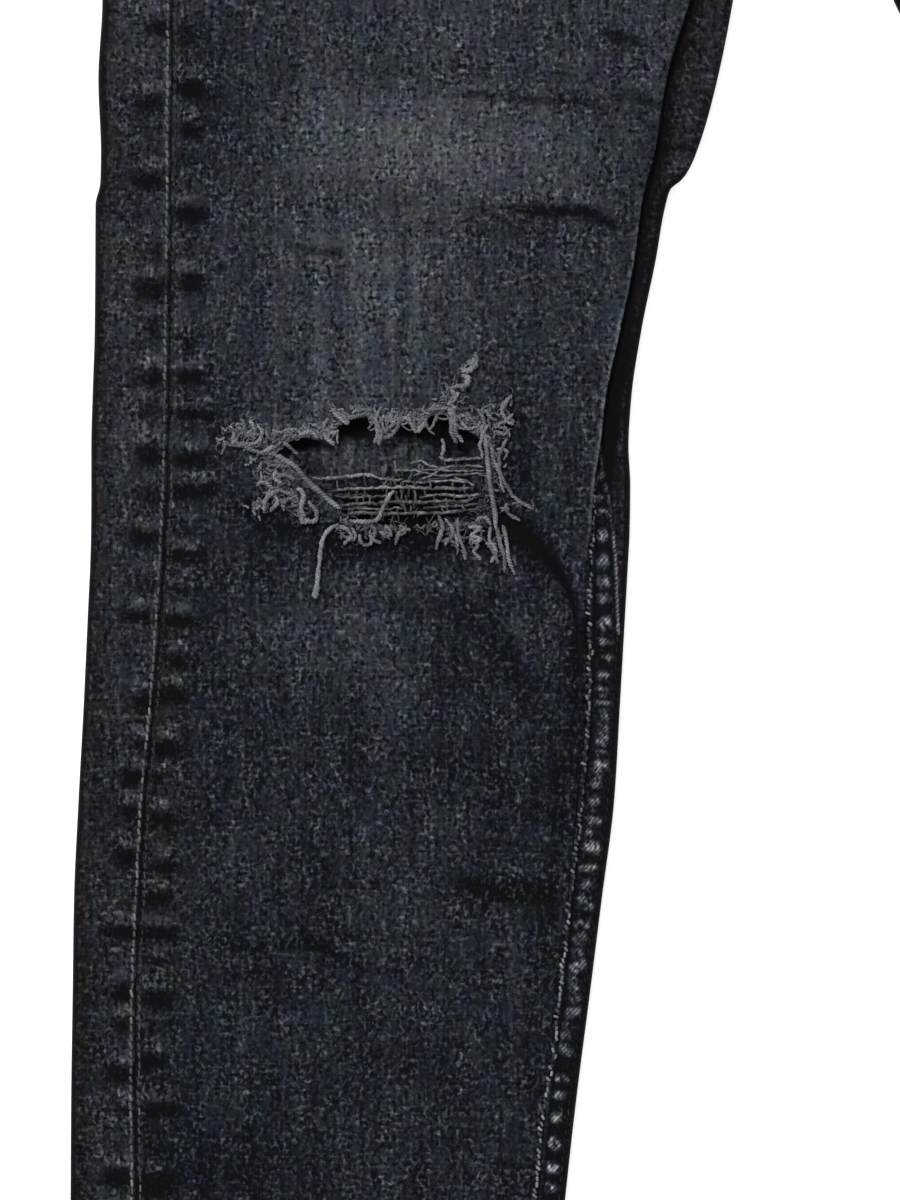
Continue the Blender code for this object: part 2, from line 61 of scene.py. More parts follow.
CLOTH = 1.1
SEAM = 0.30
STACK = 0.35
HEM_TURN = 0.9
HEM_TOP = -760.0
TUCK_RADIUS = 0.85
ROLL_REACH = 48.0
TUCK_REACH = 45.0
WAIST = 224.0
FRONT_DIP = -12.0
BACK_RISE = 20.0
YOKE = 186.0
YOKE_DIP = -12.0
BAND_HIGH = 38.0
BAND_THICK = 2.4
BAND_FRONT = 5.5
BAND_BACK = 2.7
BAND_LAP = 8.3
BAND_FOLD = 210.0
POCKET_WIDE = 100.0
POCKET_DEEP = 75.0
FACING_MARGIN = 12.0
PATCH_THICK = 1.1

LEG_COLS = ("y", "fold_out", "outseam", "front_edge", "tuck", "fold_in")
LEG_RIGHT = (
    (224.0, -210.0, -197.0, -0.15, 0.0, -0.15),
    (186.0, -222.0, -205.0, -0.15, 0.0, -0.15),
    (149.0, -232.0, -212.5, -0.15, 0.0, -0.15),
    (105.0, -241.0, -219.0, -0.15, 0.0, -0.15),
    (60.0, -246.0, -222.0, -0.15, 0.0, -0.15),
    (25.0, -248.0, -223.3, -0.15, 0.0, -0.15),
    (0.0, -248.4, -223.6, -0.15, 0.0, -0.15),
    (-10.0, -248.4, -223.6, -2.6, 1.6, -2.0),
    (-28.0, -248.3, -223.6, -6.6, 5.0, -5.2),
    (-50.0, -248.1, -223.5, -11.5, 11.0, -9.0),
    (-80.0, -247.92, -223.4, -19.5, 20.0, -14.35),
    (-118.0, -247.77, -223.3, -30.5, 30.0, -20.96),
    (-157.5, -247.8, -223.3, -42.0, 36.0, -26.8),
    (-185.2, -249.2, -223.4, -50.3, 34.5, -32.3),
    (-211.0, -248.3, -223.6, -54.5, 33.0, -39.75),
    (-217.6, -248.4, -223.6, -56.3, 32.6, -42.9),
    (-220.8, -248.5, -223.6, -57.3, 32.0, -45.6),
    (-222.6, -248.7, -223.6, -57.7, 31.8, -48.2),
    (-229.0, -250.2, -223.7, -59.0, 31.0, -50.4),
    (-248.5, -250.3, -223.9, -61.6, 27.0, -53.9),
    (-273.0, -250.5, -224.2, -66.5, 22.0, -58.9),
    (-297.5, -251.3, -224.5, -71.7, 15.0, -62.5),
    (-313.5, -251.7, -224.8, -73.5, 9.6, -63.4),
    (-327.0, -251.7, -225.0, -75.5, 5.2, -62.8),
    (-343.0, -251.8, -225.7, -76.6, 2.2, -63.0),
    (-355.0, -252.1, -226.4, -76.9, 0.0, -63.6),
    (-367.5, -252.7, -227.1, -77.3, 0.0, -64.3),
    (-402.5, -254.3, -229.6, -78.0, 0.0, -66.3),
    (-437.5, -256.2, -232.8, -81.2, 0.0, -68.4),
    (-472.5, -257.8, -234.6, -84.7, 0.0, -72.8),
    (-507.5, -258.3, -236.0, -88.1, 0.0, -77.2),
    (-542.5, -258.8, -236.3, -92.2, 0.0, -81.7),
    (-577.5, -259.0, -235.9, -95.2, 0.0, -85.6),
    (-630.0, -259.4, -236.0, -99.4, 0.0, -90.5),
    (-690.0, -260.4, -236.3, -104.6, 0.0, -95.8),
    (-740.0, -261.4, -236.6, -109.0, 0.0, -100.3),
    (-760.0, -261.8, -236.7, -110.8, 0.0, -102.1),
    (-764.0, -261.9, -236.7, -111.2, 0.0, -102.5),
    (-780.0, -262.2, -236.8, -112.6, 0.0, -103.9),
)
LEG_LEFT = (
    (224.0, -210.0, -197.0, -0.15, 0.0, -0.15),
    (186.0, -222.0, -205.0, -0.15, 0.0, -0.15),
    (149.0, -232.0, -212.5, -0.15, 0.0, -0.15),
    (105.0, -241.0, -219.0, -0.15, 0.0, -0.15),
    (60.0, -246.0, -222.0, -0.15, 0.0, -0.15),
    (25.0, -248.0, -223.3, -0.15, 0.0, -0.15),
    (0.0, -248.4, -223.6, -0.15, 0.0, -0.15),
    (-10.0, -248.6, -223.7, -2.6, 1.6, -2.0),
    (-28.0, -248.8, -224.0, -6.6, 4.0, -5.2),
    (-60.0, -249.5, -224.6, -13.5, 8.0, -10.8),
    (-100.0, -250.5, -225.5, -22.0, 12.0, -17.5),
    (-140.0, -252.0, -226.8, -32.0, 13.0, -24.8),
    (-157.5, -252.8, -227.5, -37.0, 13.0, -29.5),
    (-172.0, -253.5, -228.1, -43.5, 13.0, -37.2),
    (-195.0, -254.5, -229.0, -50.0, 13.0, -43.5),
    (-230.0, -256.0, -230.3, -58.5, 12.0, -51.5),
    (-270.0, -257.3, -231.3, -67.0, 10.0, -60.0),
    (-310.0, -258.5, -232.3, -76.0, 6.0, -68.5),
    (-345.0, -260.3, -234.6, -83.5, 2.2, -72.0),
    (-357.0, -260.8, -235.4, -84.3, 0.0, -73.2),
    (-370.0, -261.3, -236.2, -84.8, 0.0, -74.3),
    (-430.0, -264.3, -241.3, -89.2, 0.0, -78.2),
    (-500.0, -266.8, -245.0, -96.0, 0.0, -86.0),
    (-577.0, -267.6, -244.9, -103.6, 0.0, -94.8),
    (-640.0, -268.5, -245.0, -108.6, 0.0, -100.0),
    (-700.0, -269.7, -245.2, -113.6, 0.0, -105.0),
    (-760.0, -271.0, -245.4, -118.5, 0.0, -110.0),
    (-764.0, -271.0, -245.4, -118.8, 0.0, -110.3),
    (-780.0, -271.3, -245.5, -120.1, 0.0, -111.5),
)
PILE_COLS = ("y", "lift", "mid", "inner", "roll_out", "roll_in")
PILE = (
    (224.0, 1.50, 5.3, 5.30, 1.70, 0.90),
    (60.0, 1.50, 5.3, 5.30, 1.70, 0.90),
    (25.0, 1.50, 5.0, 4.40, 1.75, 0.90),
    (0.0, 1.50, 4.7, 3.60, 1.80, 0.90),
    (-10.0, 1.45, 4.6, 6.90, 1.82, 0.90),
    (-28.0, 1.30, 4.4, 7.00, 1.85, 1.00),
    (-50.0, 1.00, 4.1, 6.90, 1.90, 1.10),
    (-80.0, 0.50, 3.7, 6.60, 2.00, 1.20),
    (-118.0, 0.00, 3.2, 6.20, 2.10, 1.25),
    (-157.5, 0.00, 3.0, 6.30, 2.10, 1.30),
    (-313.5, 0.00, 2.9, 6.10, 1.90, 1.20),
    (-345.0, 0.00, 2.8, 6.10, 1.80, 1.20),
    (-357.0, 0.00, 2.8, 4.55, 1.75, 1.20),
    (-370.0, 0.00, 2.7, 2.95, 1.70, 1.20),
    (-577.5, 0.00, 2.7, 2.95, 1.60, 1.20),
    (-740.0, 0.00, 3.3, 3.20, 1.80, 1.35),
    (-760.0, 0.00, 4.0, 3.80, 1.95, 1.60),
    (-764.0, 0.00, 4.3, 4.15, 2.00, 1.80),
    (-780.0, 0.00, 4.3, 4.15, 2.00, 1.80),
)
FOLD_COLS = ("x", "y", "long", "wide", "turn", "rise")
FOLDS_RIGHT = (
    (-92.0, -24.0, 52.0, 13.0, 34.0, 1.6),
    (-112.0, -66.0, 58.0, 14.0, 21.0, 1.9),
    (-126.0, -112.0, 54.0, 14.0, 12.0, 1.3),
    (-150.0, -292.0, 58.0, 17.0, -3.0, 1.3),
    (-108.0, -360.0, 32.0, 12.0, -38.0, 1.2),
    (-168.0, -352.0, 46.0, 14.0, 4.0, 1.1),
    (-172.0, -455.0, 55.0, 17.0, -5.0, 1.0),
    (-160.0, -560.0, 52.0, 18.0, 7.0, 1.1),
    (-182.0, -676.0, 55.0, 14.0, 5.0, 1.6),
    (-168.0, -722.0, 48.0, 12.0, -6.0, 1.4),
)
FOLDS_LEFT = (
    (-86.0, -30.0, 50.0, 13.0, 36.0, 1.7),
    (-118.0, -80.0, 60.0, 14.0, 20.0, 1.6),
    (-140.0, -150.0, 50.0, 15.0, 8.0, 1.1),
    (-160.0, -312.0, 56.0, 16.0, -6.0, 1.5),
    (-178.0, -366.0, 48.0, 14.0, 6.0, 1.2),
    (-166.0, -470.0, 54.0, 17.0, 9.0, 1.1),
    (-188.0, -610.0, 50.0, 16.0, -5.0, 1.2),
    (-176.0, -700.0, 54.0, 13.0, -4.0, 1.7),
)
RIP_X, RIP_Y = -149.8, -325.5
RIP = (
    (-36.8, 9.8, 7.7),
    (-32.2, 13.6, 4.9),
    (-26.9, 14.4, 0.0),
    (-21.0, 14.0, -5.3),
    (-15.4, 19.0, -10.9),
    (-13.0, 20.6, -14.7),
    (-8.4, 21.6, -15.4),
    (-1.4, 20.8, -15.8),
    (6.3, 20.3, -15.8),
    (11.5, 19.4, -15.6),
    (17.6, 22.6, -15.4),
    (22.8, 23.0, -15.4),
    (25.6, 18.8, -15.3),
    (29.4, 17.2, -15.1),
    (35.0, 14.7, -14.7),
    (36.8, 11.9, -13.3),
)

# Puckers along the outseam: middle, half length along x, half height, weight. The hollows are listed, darkened
# partly with painted shade; the worn ridges come between them, lighter also with a painted highlight.
ROPE_COLS = ("x", "y", "long", "high", "weight")
# on the back panel, beside the seam
ROPE_BACK = (
    (-228.5, -167.3, 5.2, 2.8, 1),
    (-231.0, -194.2, 5.6, 3.1, 1),
    (-230.3, -221.2, 5.9, 3.1, 1),
    (-229.2, -245.7, 3.1, 3.8, 0.5),
    (-230.3, -258.6, 5.9, 3.8, 1),
    (-229.2, -273.0, 3.5, 4.9, 0.6),
    (-230.3, -289.8, 4.9, 3.1, 1),
    (-231.7, -301.0, 3.5, 3.1, 0.5),
    (-230.3, -316.8, 4.9, 3.1, 1.1),
    (-230.3, -331.8, 4.2, 3.5, 0.7),
    (-232.7, -345.8, 5.6, 2.8, 1),
    (-232.7, -362.6, 4.2, 2.8, 0.4),
    (-235.2, -373.4, 5.6, 2.1, 0.9),
    (-232.7, -403.2, 4.9, 2.8, 1),
    (-234.5, -418.2, 3.5, 2.1, 0.8),
    (-236.9, -430.1, 4.5, 2.8, 1.1),
    (-238.0, -441.7, 3.5, 2.1, 0.8),
    (-239.0, -457.8, 3.8, 2.8, 1.2),
    (-239.4, -484.0, 7.0, 2.4, 1.1),
    (-239.7, -505.0, 4.2, 3.5, 1),
    (-240.1, -516.6, 3.5, 2.4, 0.8),
    (-240.8, -533.8, 4.5, 3.1, 1.2),
    (-239.7, -546.7, 3.5, 2.1, 0.8),
    (-242.2, -569.8, 5.6, 3.1, 1.1),
)
# on the front panel
ROPE_FRONT = (
    (-217.0, -169.1, 4.9, 3.5, 0.7),
    (-216.3, -189.0, 5.6, 3.5, 1),
    (-216.6, -203.7, 4.2, 2.8, 1.1),
    (-218.0, -212.8, 2.8, 2.1, 0.4),
    (-217.0, -232.8, 5.6, 2.8, 1.1),
    (-216.3, -256.9, 4.9, 3.1, 1.2),
    (-217.7, -278.2, 2.8, 3.1, 0.6),
    (-217.0, -289.8, 5.9, 2.4, 1.1),
    (-215.9, -302.8, 7.0, 1.8, 1),
    (-216.3, -318.5, 5.9, 2.8, 1.1),
    (-215.9, -329.7, 7.0, 2.4, 1.2),
    (-218.4, -344.0, 4.2, 1.8, 0.5),
    (-218.8, -352.1, 5.6, 2.4, 1.1),
    (-219.8, -364.0, 3.5, 2.1, 0.5),
    (-220.5, -375.2, 5.6, 2.1, 1),
    (-221.2, -389.2, 4.2, 2.8, 0.8),
    (-223.3, -401.1, 4.9, 2.8, 1.2),
    (-225.0, -420.0, 4.9, 3.1, 1.1),
    (-227.5, -430.1, 2.8, 1.8, 0.9),
    (-226.4, -444.5, 5.2, 2.4, 1),
    (-225.7, -461.3, 4.9, 2.4, 0.7),
    (-228.5, -472.1, 4.2, 2.1, 0.9),
    (-228.5, -484.4, 6.3, 2.1, 1.3),
    (-228.9, -494.2, 4.2, 1.4, 0.8),
    (-228.5, -507.5, 4.9, 3.1, 1),
    (-229.2, -518.0, 2.8, 2.1, 0.4),
    (-230.3, -529.5, 4.9, 2.8, 1.1),
    (-227.5, -546.3, 6.3, 2.4, 1.1),
    (-229.9, -553.0, 3.1, 1.8, 0.4),
    (-228.2, -571.9, 6.3, 3.5, 1.1),
)

# Worn bars of the felled inseam: middle, half length, half height, weight, turn in degrees.
BAR_COLS = ("x", "y", "long", "high", "weight", "turn")
BARS = (
    (-72.8, -324.1, 1.4, 1.4, 0.5, 0),
    (-71.8, -327.9, 1.0, 1.0, 0.4, 0),
    (-72.8, -331.8, 1.8, 1.0, 0.6, 0),
    (-72.4, -337.0, 1.8, 1.6, 1, 0),
    (-72.4, -344.8, 2.1, 1.8, 0.95, 25),
    (-72.4, -354.2, 2.3, 2.1, 0.9, 30),
    (-72.0, -361.2, 2.3, 2.0, 0.95, 10),
    (-72.0, -366.8, 2.3, 1.6, 0.95, 15),
    (-71.4, -375.5, 2.4, 1.9, 1.1, 30),
    (-71.4, -381.9, 2.4, 1.0, 1.1, 8),
    (-71.0, -388.1, 2.1, 1.4, 0.7, 20),
    (-72.4, -393.8, 2.1, 1.4, 0.9, -10),
    (-72.8, -398.6, 2.1, 1.0, 0.8, -15),
    (-72.2, -401.0, 1.8, 0.8, 0.5, 5),
    (-72.4, -403.5, 2.8, 1.0, 0.7, 0),
    (-72.2, -405.9, 2.2, 0.8, 0.5, -5),
    (-72.1, -408.1, 2.1, 1.2, 0.7, 0),
    (-72.6, -410.3, 2.0, 0.8, 0.5, 8),
    (-72.4, -412.5, 2.1, 1.2, 0.75, 15),
    (-72.9, -414.7, 2.0, 0.7, 0.5, 0),
    (-72.8, -416.8, 2.1, 1.6, 1.2, 5),
    (-73.2, -420.8, 2.0, 1.0, 0.6, 10),
    (-73.1, -425.2, 2.4, 1.6, 1.1, 10),
    (-74.2, -428.5, 1.8, 0.9, 0.5, -10),
    (-74.9, -431.5, 1.8, 1.8, 0.7, 30),
    (-75.2, -437.8, 2.1, 1.4, 0.9, 5),
    (-75.6, -441.3, 1.4, 1.0, 0.4, 0),
    (-75.2, -444.8, 2.4, 1.4, 1, 5),
    (-77.3, -449.0, 1.0, 1.0, 1, 0),
    (-76.3, -453.9, 2.8, 1.9, 1.2, -8),
    (-77.3, -460.9, 2.8, 1.2, 1.2, 3),
    (-78.0, -467.2, 2.1, 1.8, 0.7, 0),
    (-79.4, -472.1, 2.1, 1.8, 0.7, 30),
    (-77.7, -474.6, 1.8, 1.2, 0.9, -15),
    (-79.8, -480.9, 2.4, 1.4, 1.1, 5),
    (-80.5, -485.8, 2.4, 2.1, 0.8, 25),
    (-81.2, -490.7, 2.1, 1.8, 0.6, 10),
    (-81.2, -495.6, 2.8, 2.4, 1, 35),
    (-83.3, -500.5, 1.8, 1.8, 0.6, 40),
    (-82.9, -503.6, 2.4, 1.4, 0.8, 20),
    (-82.6, -507.1, 2.8, 1.4, 0.6, 10),
    (-83.3, -511.7, 3.1, 2.4, 1, 35),
    (-84.7, -516.2, 2.1, 1.4, 0.5, 20),
    (-85.4, -519.8, 2.4, 1.8, 0.7, 30),
    (-85.4, -525.0, 2.4, 2.4, 0.9, -30),
    (-86.8, -535.1, 2.4, 1.2, 1.1, -3),
    (-87.8, -540.8, 2.4, 1.4, 1.1, -8),
    (-88.9, -548.5, 2.4, 1.8, 1, 20),
    (-89.6, -557.9, 2.4, 1.9, 1.1, -35),
    (-90.3, -566.3, 2.4, 1.8, 1.2, -10),
    (-91.0, -573.0, 2.1, 1.4, 1.1, -5),
)

# Where the felled strip's far edge runs, from where it comes out under the fold.
STRIP_EDGE = (
    (-300.0, -75.5), (-313.6, -73.3), (-326.5, -71.4), (-333.9, -69.8), (-343.7, -68.7),
    (-353.9, -67.7), (-367.1, -67.2), (-378.0, -66.8), (-388.5, -66.5),
)

# Wear of the front panels, with painted shade below the rip: middle, half width, half height, lighter (+) or
# darker (-) in steps of a 0 to 255 grey.
TONE_COLS = ("x", "y", "wide", "high", "step")
TONE_FRONT = (
    (-130.0, -207.0, 56.0, 36.0, 9),
    (-152.0, -259.0, 34.0, 40.0, 13),
    (-213.5, -245.0, 14.0, 115.5, -8),
    (-98.0, -290.5, 17.5, 59.5, -7),
    (-92.8, -353.5, 14.7, 7.7, -13),
    (-162.8, -378.0, 33.2, 16.8, 11),
    (-108.5, -381.5, 14.0, 14.0, -3),
    (-150.5, -399.0, 19.2, 14.0, 7),
    (-99.8, -434.0, 16.8, 16.8, -8),
    (-205.8, -458.5, 10.5, 9.1, 10),
    (-143.5, -479.5, 19.2, 10.5, 6),
    (-173.2, -500.0, 15.7, 8.4, -4),
    (-191.8, -521.5, 10.5, 7.7, 5),
    (-196.0, -565.2, 24.5, 13.3, -6),
    (-92.8, -479.5, 9.1, 21.0, -6),
    (-82.2, -399.0, 4.9, 35.0, -5),
    (-66.5, -227.5, 14.0, 21.0, -2),
    (-87.5, -182.0, 14.0, 17.5, 2),
    (-119.0, -367.5, 21.0, 7.0, -6),
    (-231.0, -290.5, 10.5, 70.0, -4),
    (-143.5, -352.5, 35.0, 5.0, -5),
    (-106.0, -210.0, 20.0, 10.0, 3),
    (-97.0, -356.0, 12.0, 6.0, 10),
    (-100.0, -374.0, 12.0, 9.0, 8),
    (-87.0, -352.0, 5.0, 10.0, 8),
    (-152.0, -227.0, 18.0, 9.0, -5),
    (-104.0, -219.5, 28.0, 4.5, 2),
    (-100.0, -234.0, 36.0, 5.5, -5),
    (-168.0, -216.0, 26.0, 4.0, 4),
    (-120.0, -252.0, 10.0, 30.0, 3),
    (-182.0, -270.0, 6.0, 40.0, -3),
    (-104.0, -196.0, 20.0, 7.0, -6),
    (-100.0, -506.0, 10.0, 10.0, 7),
    (-148.0, -566.0, 16.0, 10.0, 5),
    (-222.0, -565.0, 12.0, 26.0, -5),
    (-192.0, -476.0, 12.0, 8.0, 5),
    (-162.0, -192.0, 12.0, 12.0, 6),
    (-120.0, -181.0, 12.0, 10.0, -7),
    (-84.0, -190.0, 12.0, 9.0, -5),
    (-141.0, -361.0, 14.0, 6.0, 6),
    (-180.0, -288.0, 12.0, 12.0, 5),
    (-120.0, -289.0, 14.0, 8.0, -6),
    (-106.0, -238.0, 36.0, 11.0, -7),
    (-205.0, -190.0, 22.0, 22.0, -5),
    (-155.0, -361.0, 14.0, 5.0, 9),
    (-122.0, -362.0, 14.0, 5.0, 8),
    (-190.0, -305.0, 14.0, 6.0, 8),
    (-215.0, -560.0, 30.0, 24.0, -4),
    (-100.0, -322.0, 12.0, 30.0, -4),
    (-105.5, -207.0, 9.0, 8.0, 7),
    (-94.5, -326.0, 7.0, 42.0, 7),
    (-164.5, -350.0, 9.0, 10.0, -11),
    (-121.5, -344.0, 8.0, 8.0, -6),
    (-136.0, -388.5, 9.0, 8.0, 7),
    (-123.0, -466.0, 12.0, 8.0, -4),
    (-94.0, -303.0, 5.0, 6.0, -5),
    (-122.0, -416.5, 10.0, 8.0, 6),
    (-143.0, -361.0, 12.0, 6.0, 6),
    (-115.5, -557.0, 12.0, 9.0, 5),
    (-150.5, -164.5, 9.0, 8.0, -4),
    (-213.5, -163.5, 26.0, 9.0, -5),
    (-218.0, -206.5, 9.0, 7.0, 6),
    (-219.0, -277.0, 8.0, 8.0, -5),
    (-220.0, -185.0, 10.0, 14.0, -5),
    (-219.0, -249.0, 10.0, 13.0, -5),
    (-219.0, -514.0, 11.0, 10.0, 4),
    (-232.0, -563.0, 11.0, 11.0, -5),
    (-136.0, -223.0, 12.0, 5.0, -6),
    (-140.0, -182.0, 30.0, 4.6, -6),
    (-160.3, -264.0, 1.1, 24.0, 7),
    (-157.4, -258.0, 0.9, 22.0, -6),
    (-155.0, -270.0, 0.9, 30.0, 8),
    (-150.6, -262.0, 1.1, 26.0, -6),
    (-147.6, -268.0, 0.8, 24.0, 7),
    (-144.6, -256.0, 1.2, 18.0, 6),
    (-139.3, -262.0, 0.9, 28.0, 6),
    (-136.2, -254.0, 1.2, 22.0, -5),
    (-165.4, -250.0, 0.9, 30.0, 5),
    (-132.0, -214.0, 1.0, 20.0, 5),
    (-171.0, -214.0, 1.0, 24.0, 5),
    (-127.5, -240.0, 0.9, 22.0, 5),
)

# Worn bands, and soft dark strokes of painted shade along creases and under the rip's lower edge, with plainer
# edges: middle, half length, half width, turn in degrees, sharpness of the edge, lighter or darker.
BAND_COLS = ("x", "y", "long", "wide", "turn", "power", "step")
BANDS_RIGHT = (
    (-129.5, -207.6, 56.0, 17.6, -4.0, 6.0, 9.0),
    (-140.0, -188.9, 40.0, 1.1, -4.2, 2.0, -9.0),
    (-134.0, -186.9, 44.0, 1.0, -4.2, 2.0, 4.0),
    (-172.2, -262.0, 1.5, 34.0, 0.0, 2.6, 14.0),
    (-176.3, -260.0, 1.6, 28.0, 0.0, 2.6, -8.0),
    (-165.6, -262.0, 1.7, 36.0, 0.0, 2.6, -12.0),
    (-157.0, -262.0, 3.4, 36.0, 0.0, 2.6, 9.0),
    (-137.5, -266.0, 2.6, 36.0, 0.0, 2.6, 11.0),
    (-147.0, -258.0, 1.6, 30.0, 0.0, 2.6, 9.0),
    (-142.6, -262.0, 1.8, 30.0, 0.0, 2.6, -8.0),
    (-128.4, -262.0, 1.8, 30.0, 0.0, 2.6, -8.0),
    (-156.0, -388.0, 10.0, 26.0, 0.0, 3.0, 5.0),
    (-163.0, -381.0, 26.0, 14.0, -4.0, 3.0, 3.0),
    (-105.5, -389.0, 17.0, 4.8, -57.0, 3.0, -17.0),
    (-178.5, -488.3, 7.0, 2.6, -8.0, 2.6, -15.0),
    (-194.5, -498.5, 10.0, 2.6, 0.0, 2.4, -11.0),
    (-103.0, -377.0, 15.0, 3.6, -50.0, 2.4, 7.0),
    (-130.2, -435.8, 39.0, 0.9, -8.5, 2.0, -12.0),
    (-124.0, -432.8, 34.0, 0.9, -8.5, 2.0, 9.0),
    (-117.3, -429.4, 28.0, 0.8, -9.0, 2.0, -10.0),
    (-110.0, -452.5, 22.0, 1.0, -6.0, 2.0, -11.0),
    (-110.0, -449.9, 22.0, 1.0, -6.0, 2.0, 8.0),
    (-106.0, -468.9, 18.0, 4.2, -6.0, 5.0, -23.0),
    (-131.5, -424.0, 30.0, 0.9, -14.0, 2.0, -9.0),
    (-181.5, -480.5, 9.0, 1.4, -38.0, 2.4, -14.0),
    (-205.0, -486.5, 10.0, 2.2, 0.0, 2.4, -12.0),
    (-142.1, -468.7, 1.2, 1.0, 0.0, 2.0, 80.0),
    (-192.5, -489.0, 11.0, 1.9, 5.0, 2.4, -19.0),
    (-168.5, -490.0, 13.0, 2.2, -28.0, 2.4, -26.0),
    (-148.0, -493.5, 18.0, 2.0, 0.0, 2.4, -8.0),
    (-134.0, -523.0, 38.0, 0.9, -1.0, 2.0, -10.0),
    (-134.0, -520.6, 38.0, 0.9, -1.0, 2.0, 7.0),
    (-182.7, -523.0, 1.2, 24.0, 0.0, 2.4, 5.0),
    (-138.3, -343.8, 9.0, 3.2, 0.0, 2.6, -46.0),
    (-190.8, -337.2, 13.0, 1.7, -32.0, 2.4, -12.0),
)

# Sharp creases and dents of the front panel: middle, half length, half width, turn in degrees, rise, lighter
# or darker. The step is painted shade in the dents and a painted highlight on the raised creases.
CREASE_COLS = ("x", "y", "long", "wide", "turn", "rise", "step")
CREASES_RIGHT = (
    (-169.4, -245.7, 9.0, 1.3, -6.0, -0.50, -16.0),
    (-168.0, -242.6, 10.0, 2.0, -6.0, 0.30, 6.0),
    (-84.0, -232.0, 8.0, 2.0, 2.0, -0.55, -12.0),
    (-72.0, -235.0, 7.0, 1.8, -22.0, -0.45, -10.0),
    (-80.0, -227.6, 13.0, 2.6, -8.0, 0.40, 5.0),
    (-79.0, -193.5, 6.0, 2.2, -4.0, -0.45, -12.0),
    (-66.5, -192.6, 5.0, 1.7, -14.0, -0.50, -13.0),
    (-66.0, -171.6, 8.0, 3.0, -14.0, -0.40, -9.0),
    (-110.0, -470.6, 15.0, 2.4, -19.0, -0.55, -10.0),
    (-112.0, -466.0, 15.0, 3.4, -17.0, 0.45, 4.0),
    (-170.0, -493.0, 11.0, 3.0, -26.0, -0.45, -3.0),
    (-104.0, -347.5, 13.0, 3.6, -30.0, -1.00, -16.0),
    (-90.0, -358.5, 12.0, 4.2, -52.0, -0.90, -12.0),
    (-146.0, -347.6, 24.0, 3.2, 1.0, -0.55, -6.0),
    (-186.0, -343.5, 10.0, 3.0, -16.0, -0.70, -14.0),
    (-120.0, -302.0, 16.0, 4.0, 20.0, 0.45, 2.0),
    (-196.0, -300.5, 9.0, 2.4, -12.0, -0.40, -6.0),
    (-190.0, -311.0, 8.0, 3.0, 60.0, -0.45, -8.0),
    (-97.0, -318.0, 10.0, 4.0, -65.0, -0.50, -5.0),
    (-82.0, -390.0, 26.0, 3.4, -93.0, -0.45, -7.0),
    (-88.0, -440.0, 24.0, 3.6, -97.0, -0.40, -6.0),
    (-95.0, -500.0, 26.0, 3.2, -98.0, -0.35, -6.0),
    (-131.0, -392.0, 17.0, 4.2, -22.0, -0.45, -6.0),
    (-120.0, -408.0, 15.0, 3.8, -15.0, 0.40, 3.0),
    (-112.0, -428.0, 12.0, 3.2, -28.0, -0.40, -7.0),
    (-190.0, -430.0, 12.0, 3.4, 12.0, -0.35, -4.0),
    (-205.0, -477.0, 14.0, 3.0, 6.0, -0.35, -5.0),
    (-150.0, -530.0, 18.0, 4.4, -8.0, -0.40, -5.0),
    (-170.0, -556.0, 16.0, 4.0, 10.0, 0.35, 3.0),
    (-205.0, -569.0, 13.0, 4.0, -6.0, -0.40, -7.0),
    (-112.0, -555.0, 14.0, 3.0, -14.0, -0.35, -5.0),
    (-60.0, -70.0, 30.0, 4.0, 30.0, -0.90, -8.0),
    (-80.0, -98.0, 34.0, 4.0, 22.0, -0.80, -7.0),
    (-75.0, -42.0, 26.0, 3.6, 42.0, -0.80, -8.0),
    (-110.0, -10.0, 36.0, 5.0, 28.0, -0.50, -4.0),
    (-180.0, 60.0, 28.0, 5.0, -24.0, -0.40, -3.0),
    (-170.0, -610.0, 24.0, 5.0, 8.0, -0.50, -5.0),
    (-150.0, -655.0, 22.0, 4.4, -14.0, -0.55, -6.0),
    (-185.0, -698.0, 30.0, 5.0, 5.0, -0.80, -8.0),
    (-150.0, -738.0, 24.0, 4.4, -8.0, -0.70, -7.0),
)
CREASES_LEFT = (
    (-66.0, -64.0, 28.0, 4.0, 33.0, -0.90, -8.0),
    (-84.0, -104.0, 32.0, 4.2, 24.0, -0.80, -7.0),
    (-70.0, -36.0, 24.0, 3.6, 44.0, -0.70, -8.0),
    (-105.0, -132.0, 28.0, 4.4, 14.0, -0.50, -6.0),
    (-178.0, 52.0, 30.0, 5.0, -22.0, -0.40, -3.0),
    (-150.0, -182.0, 22.0, 3.6, -8.0, -0.45, -6.0),
    (-190.0, -224.0, 16.0, 3.0, 14.0, -0.40, -6.0),
    (-110.0, -262.0, 18.0, 3.4, -24.0, -0.50, -7.0),
    (-148.0, -330.0, 30.0, 4.6, 6.0, -0.70, -9.0),
    (-190.0, -344.0, 18.0, 3.6, 22.0, -0.55, -7.0),
    (-118.0, -352.0, 20.0, 4.0, -34.0, -0.80, -9.0),
    (-160.0, -392.0, 26.0, 4.4, -10.0, -0.60, -7.0),
    (-140.0, -450.0, 22.0, 3.8, 12.0, -0.45, -5.0),
    (-204.0, -500.0, 18.0, 3.6, 18.0, -0.40, -5.0),
    (-160.0, -546.0, 26.0, 4.4, -9.0, -0.45, -5.0),
    (-128.0, -604.0, 18.0, 3.6, 20.0, -0.45, -5.0),
    (-186.0, -644.0, 26.0, 5.0, -6.0, -0.60, -7.0),
    (-150.0, -690.0, 24.0, 4.4, 10.0, -0.60, -7.0),
    (-192.0, -734.0, 28.0, 4.6, -5.0, -0.75, -8.0),
)

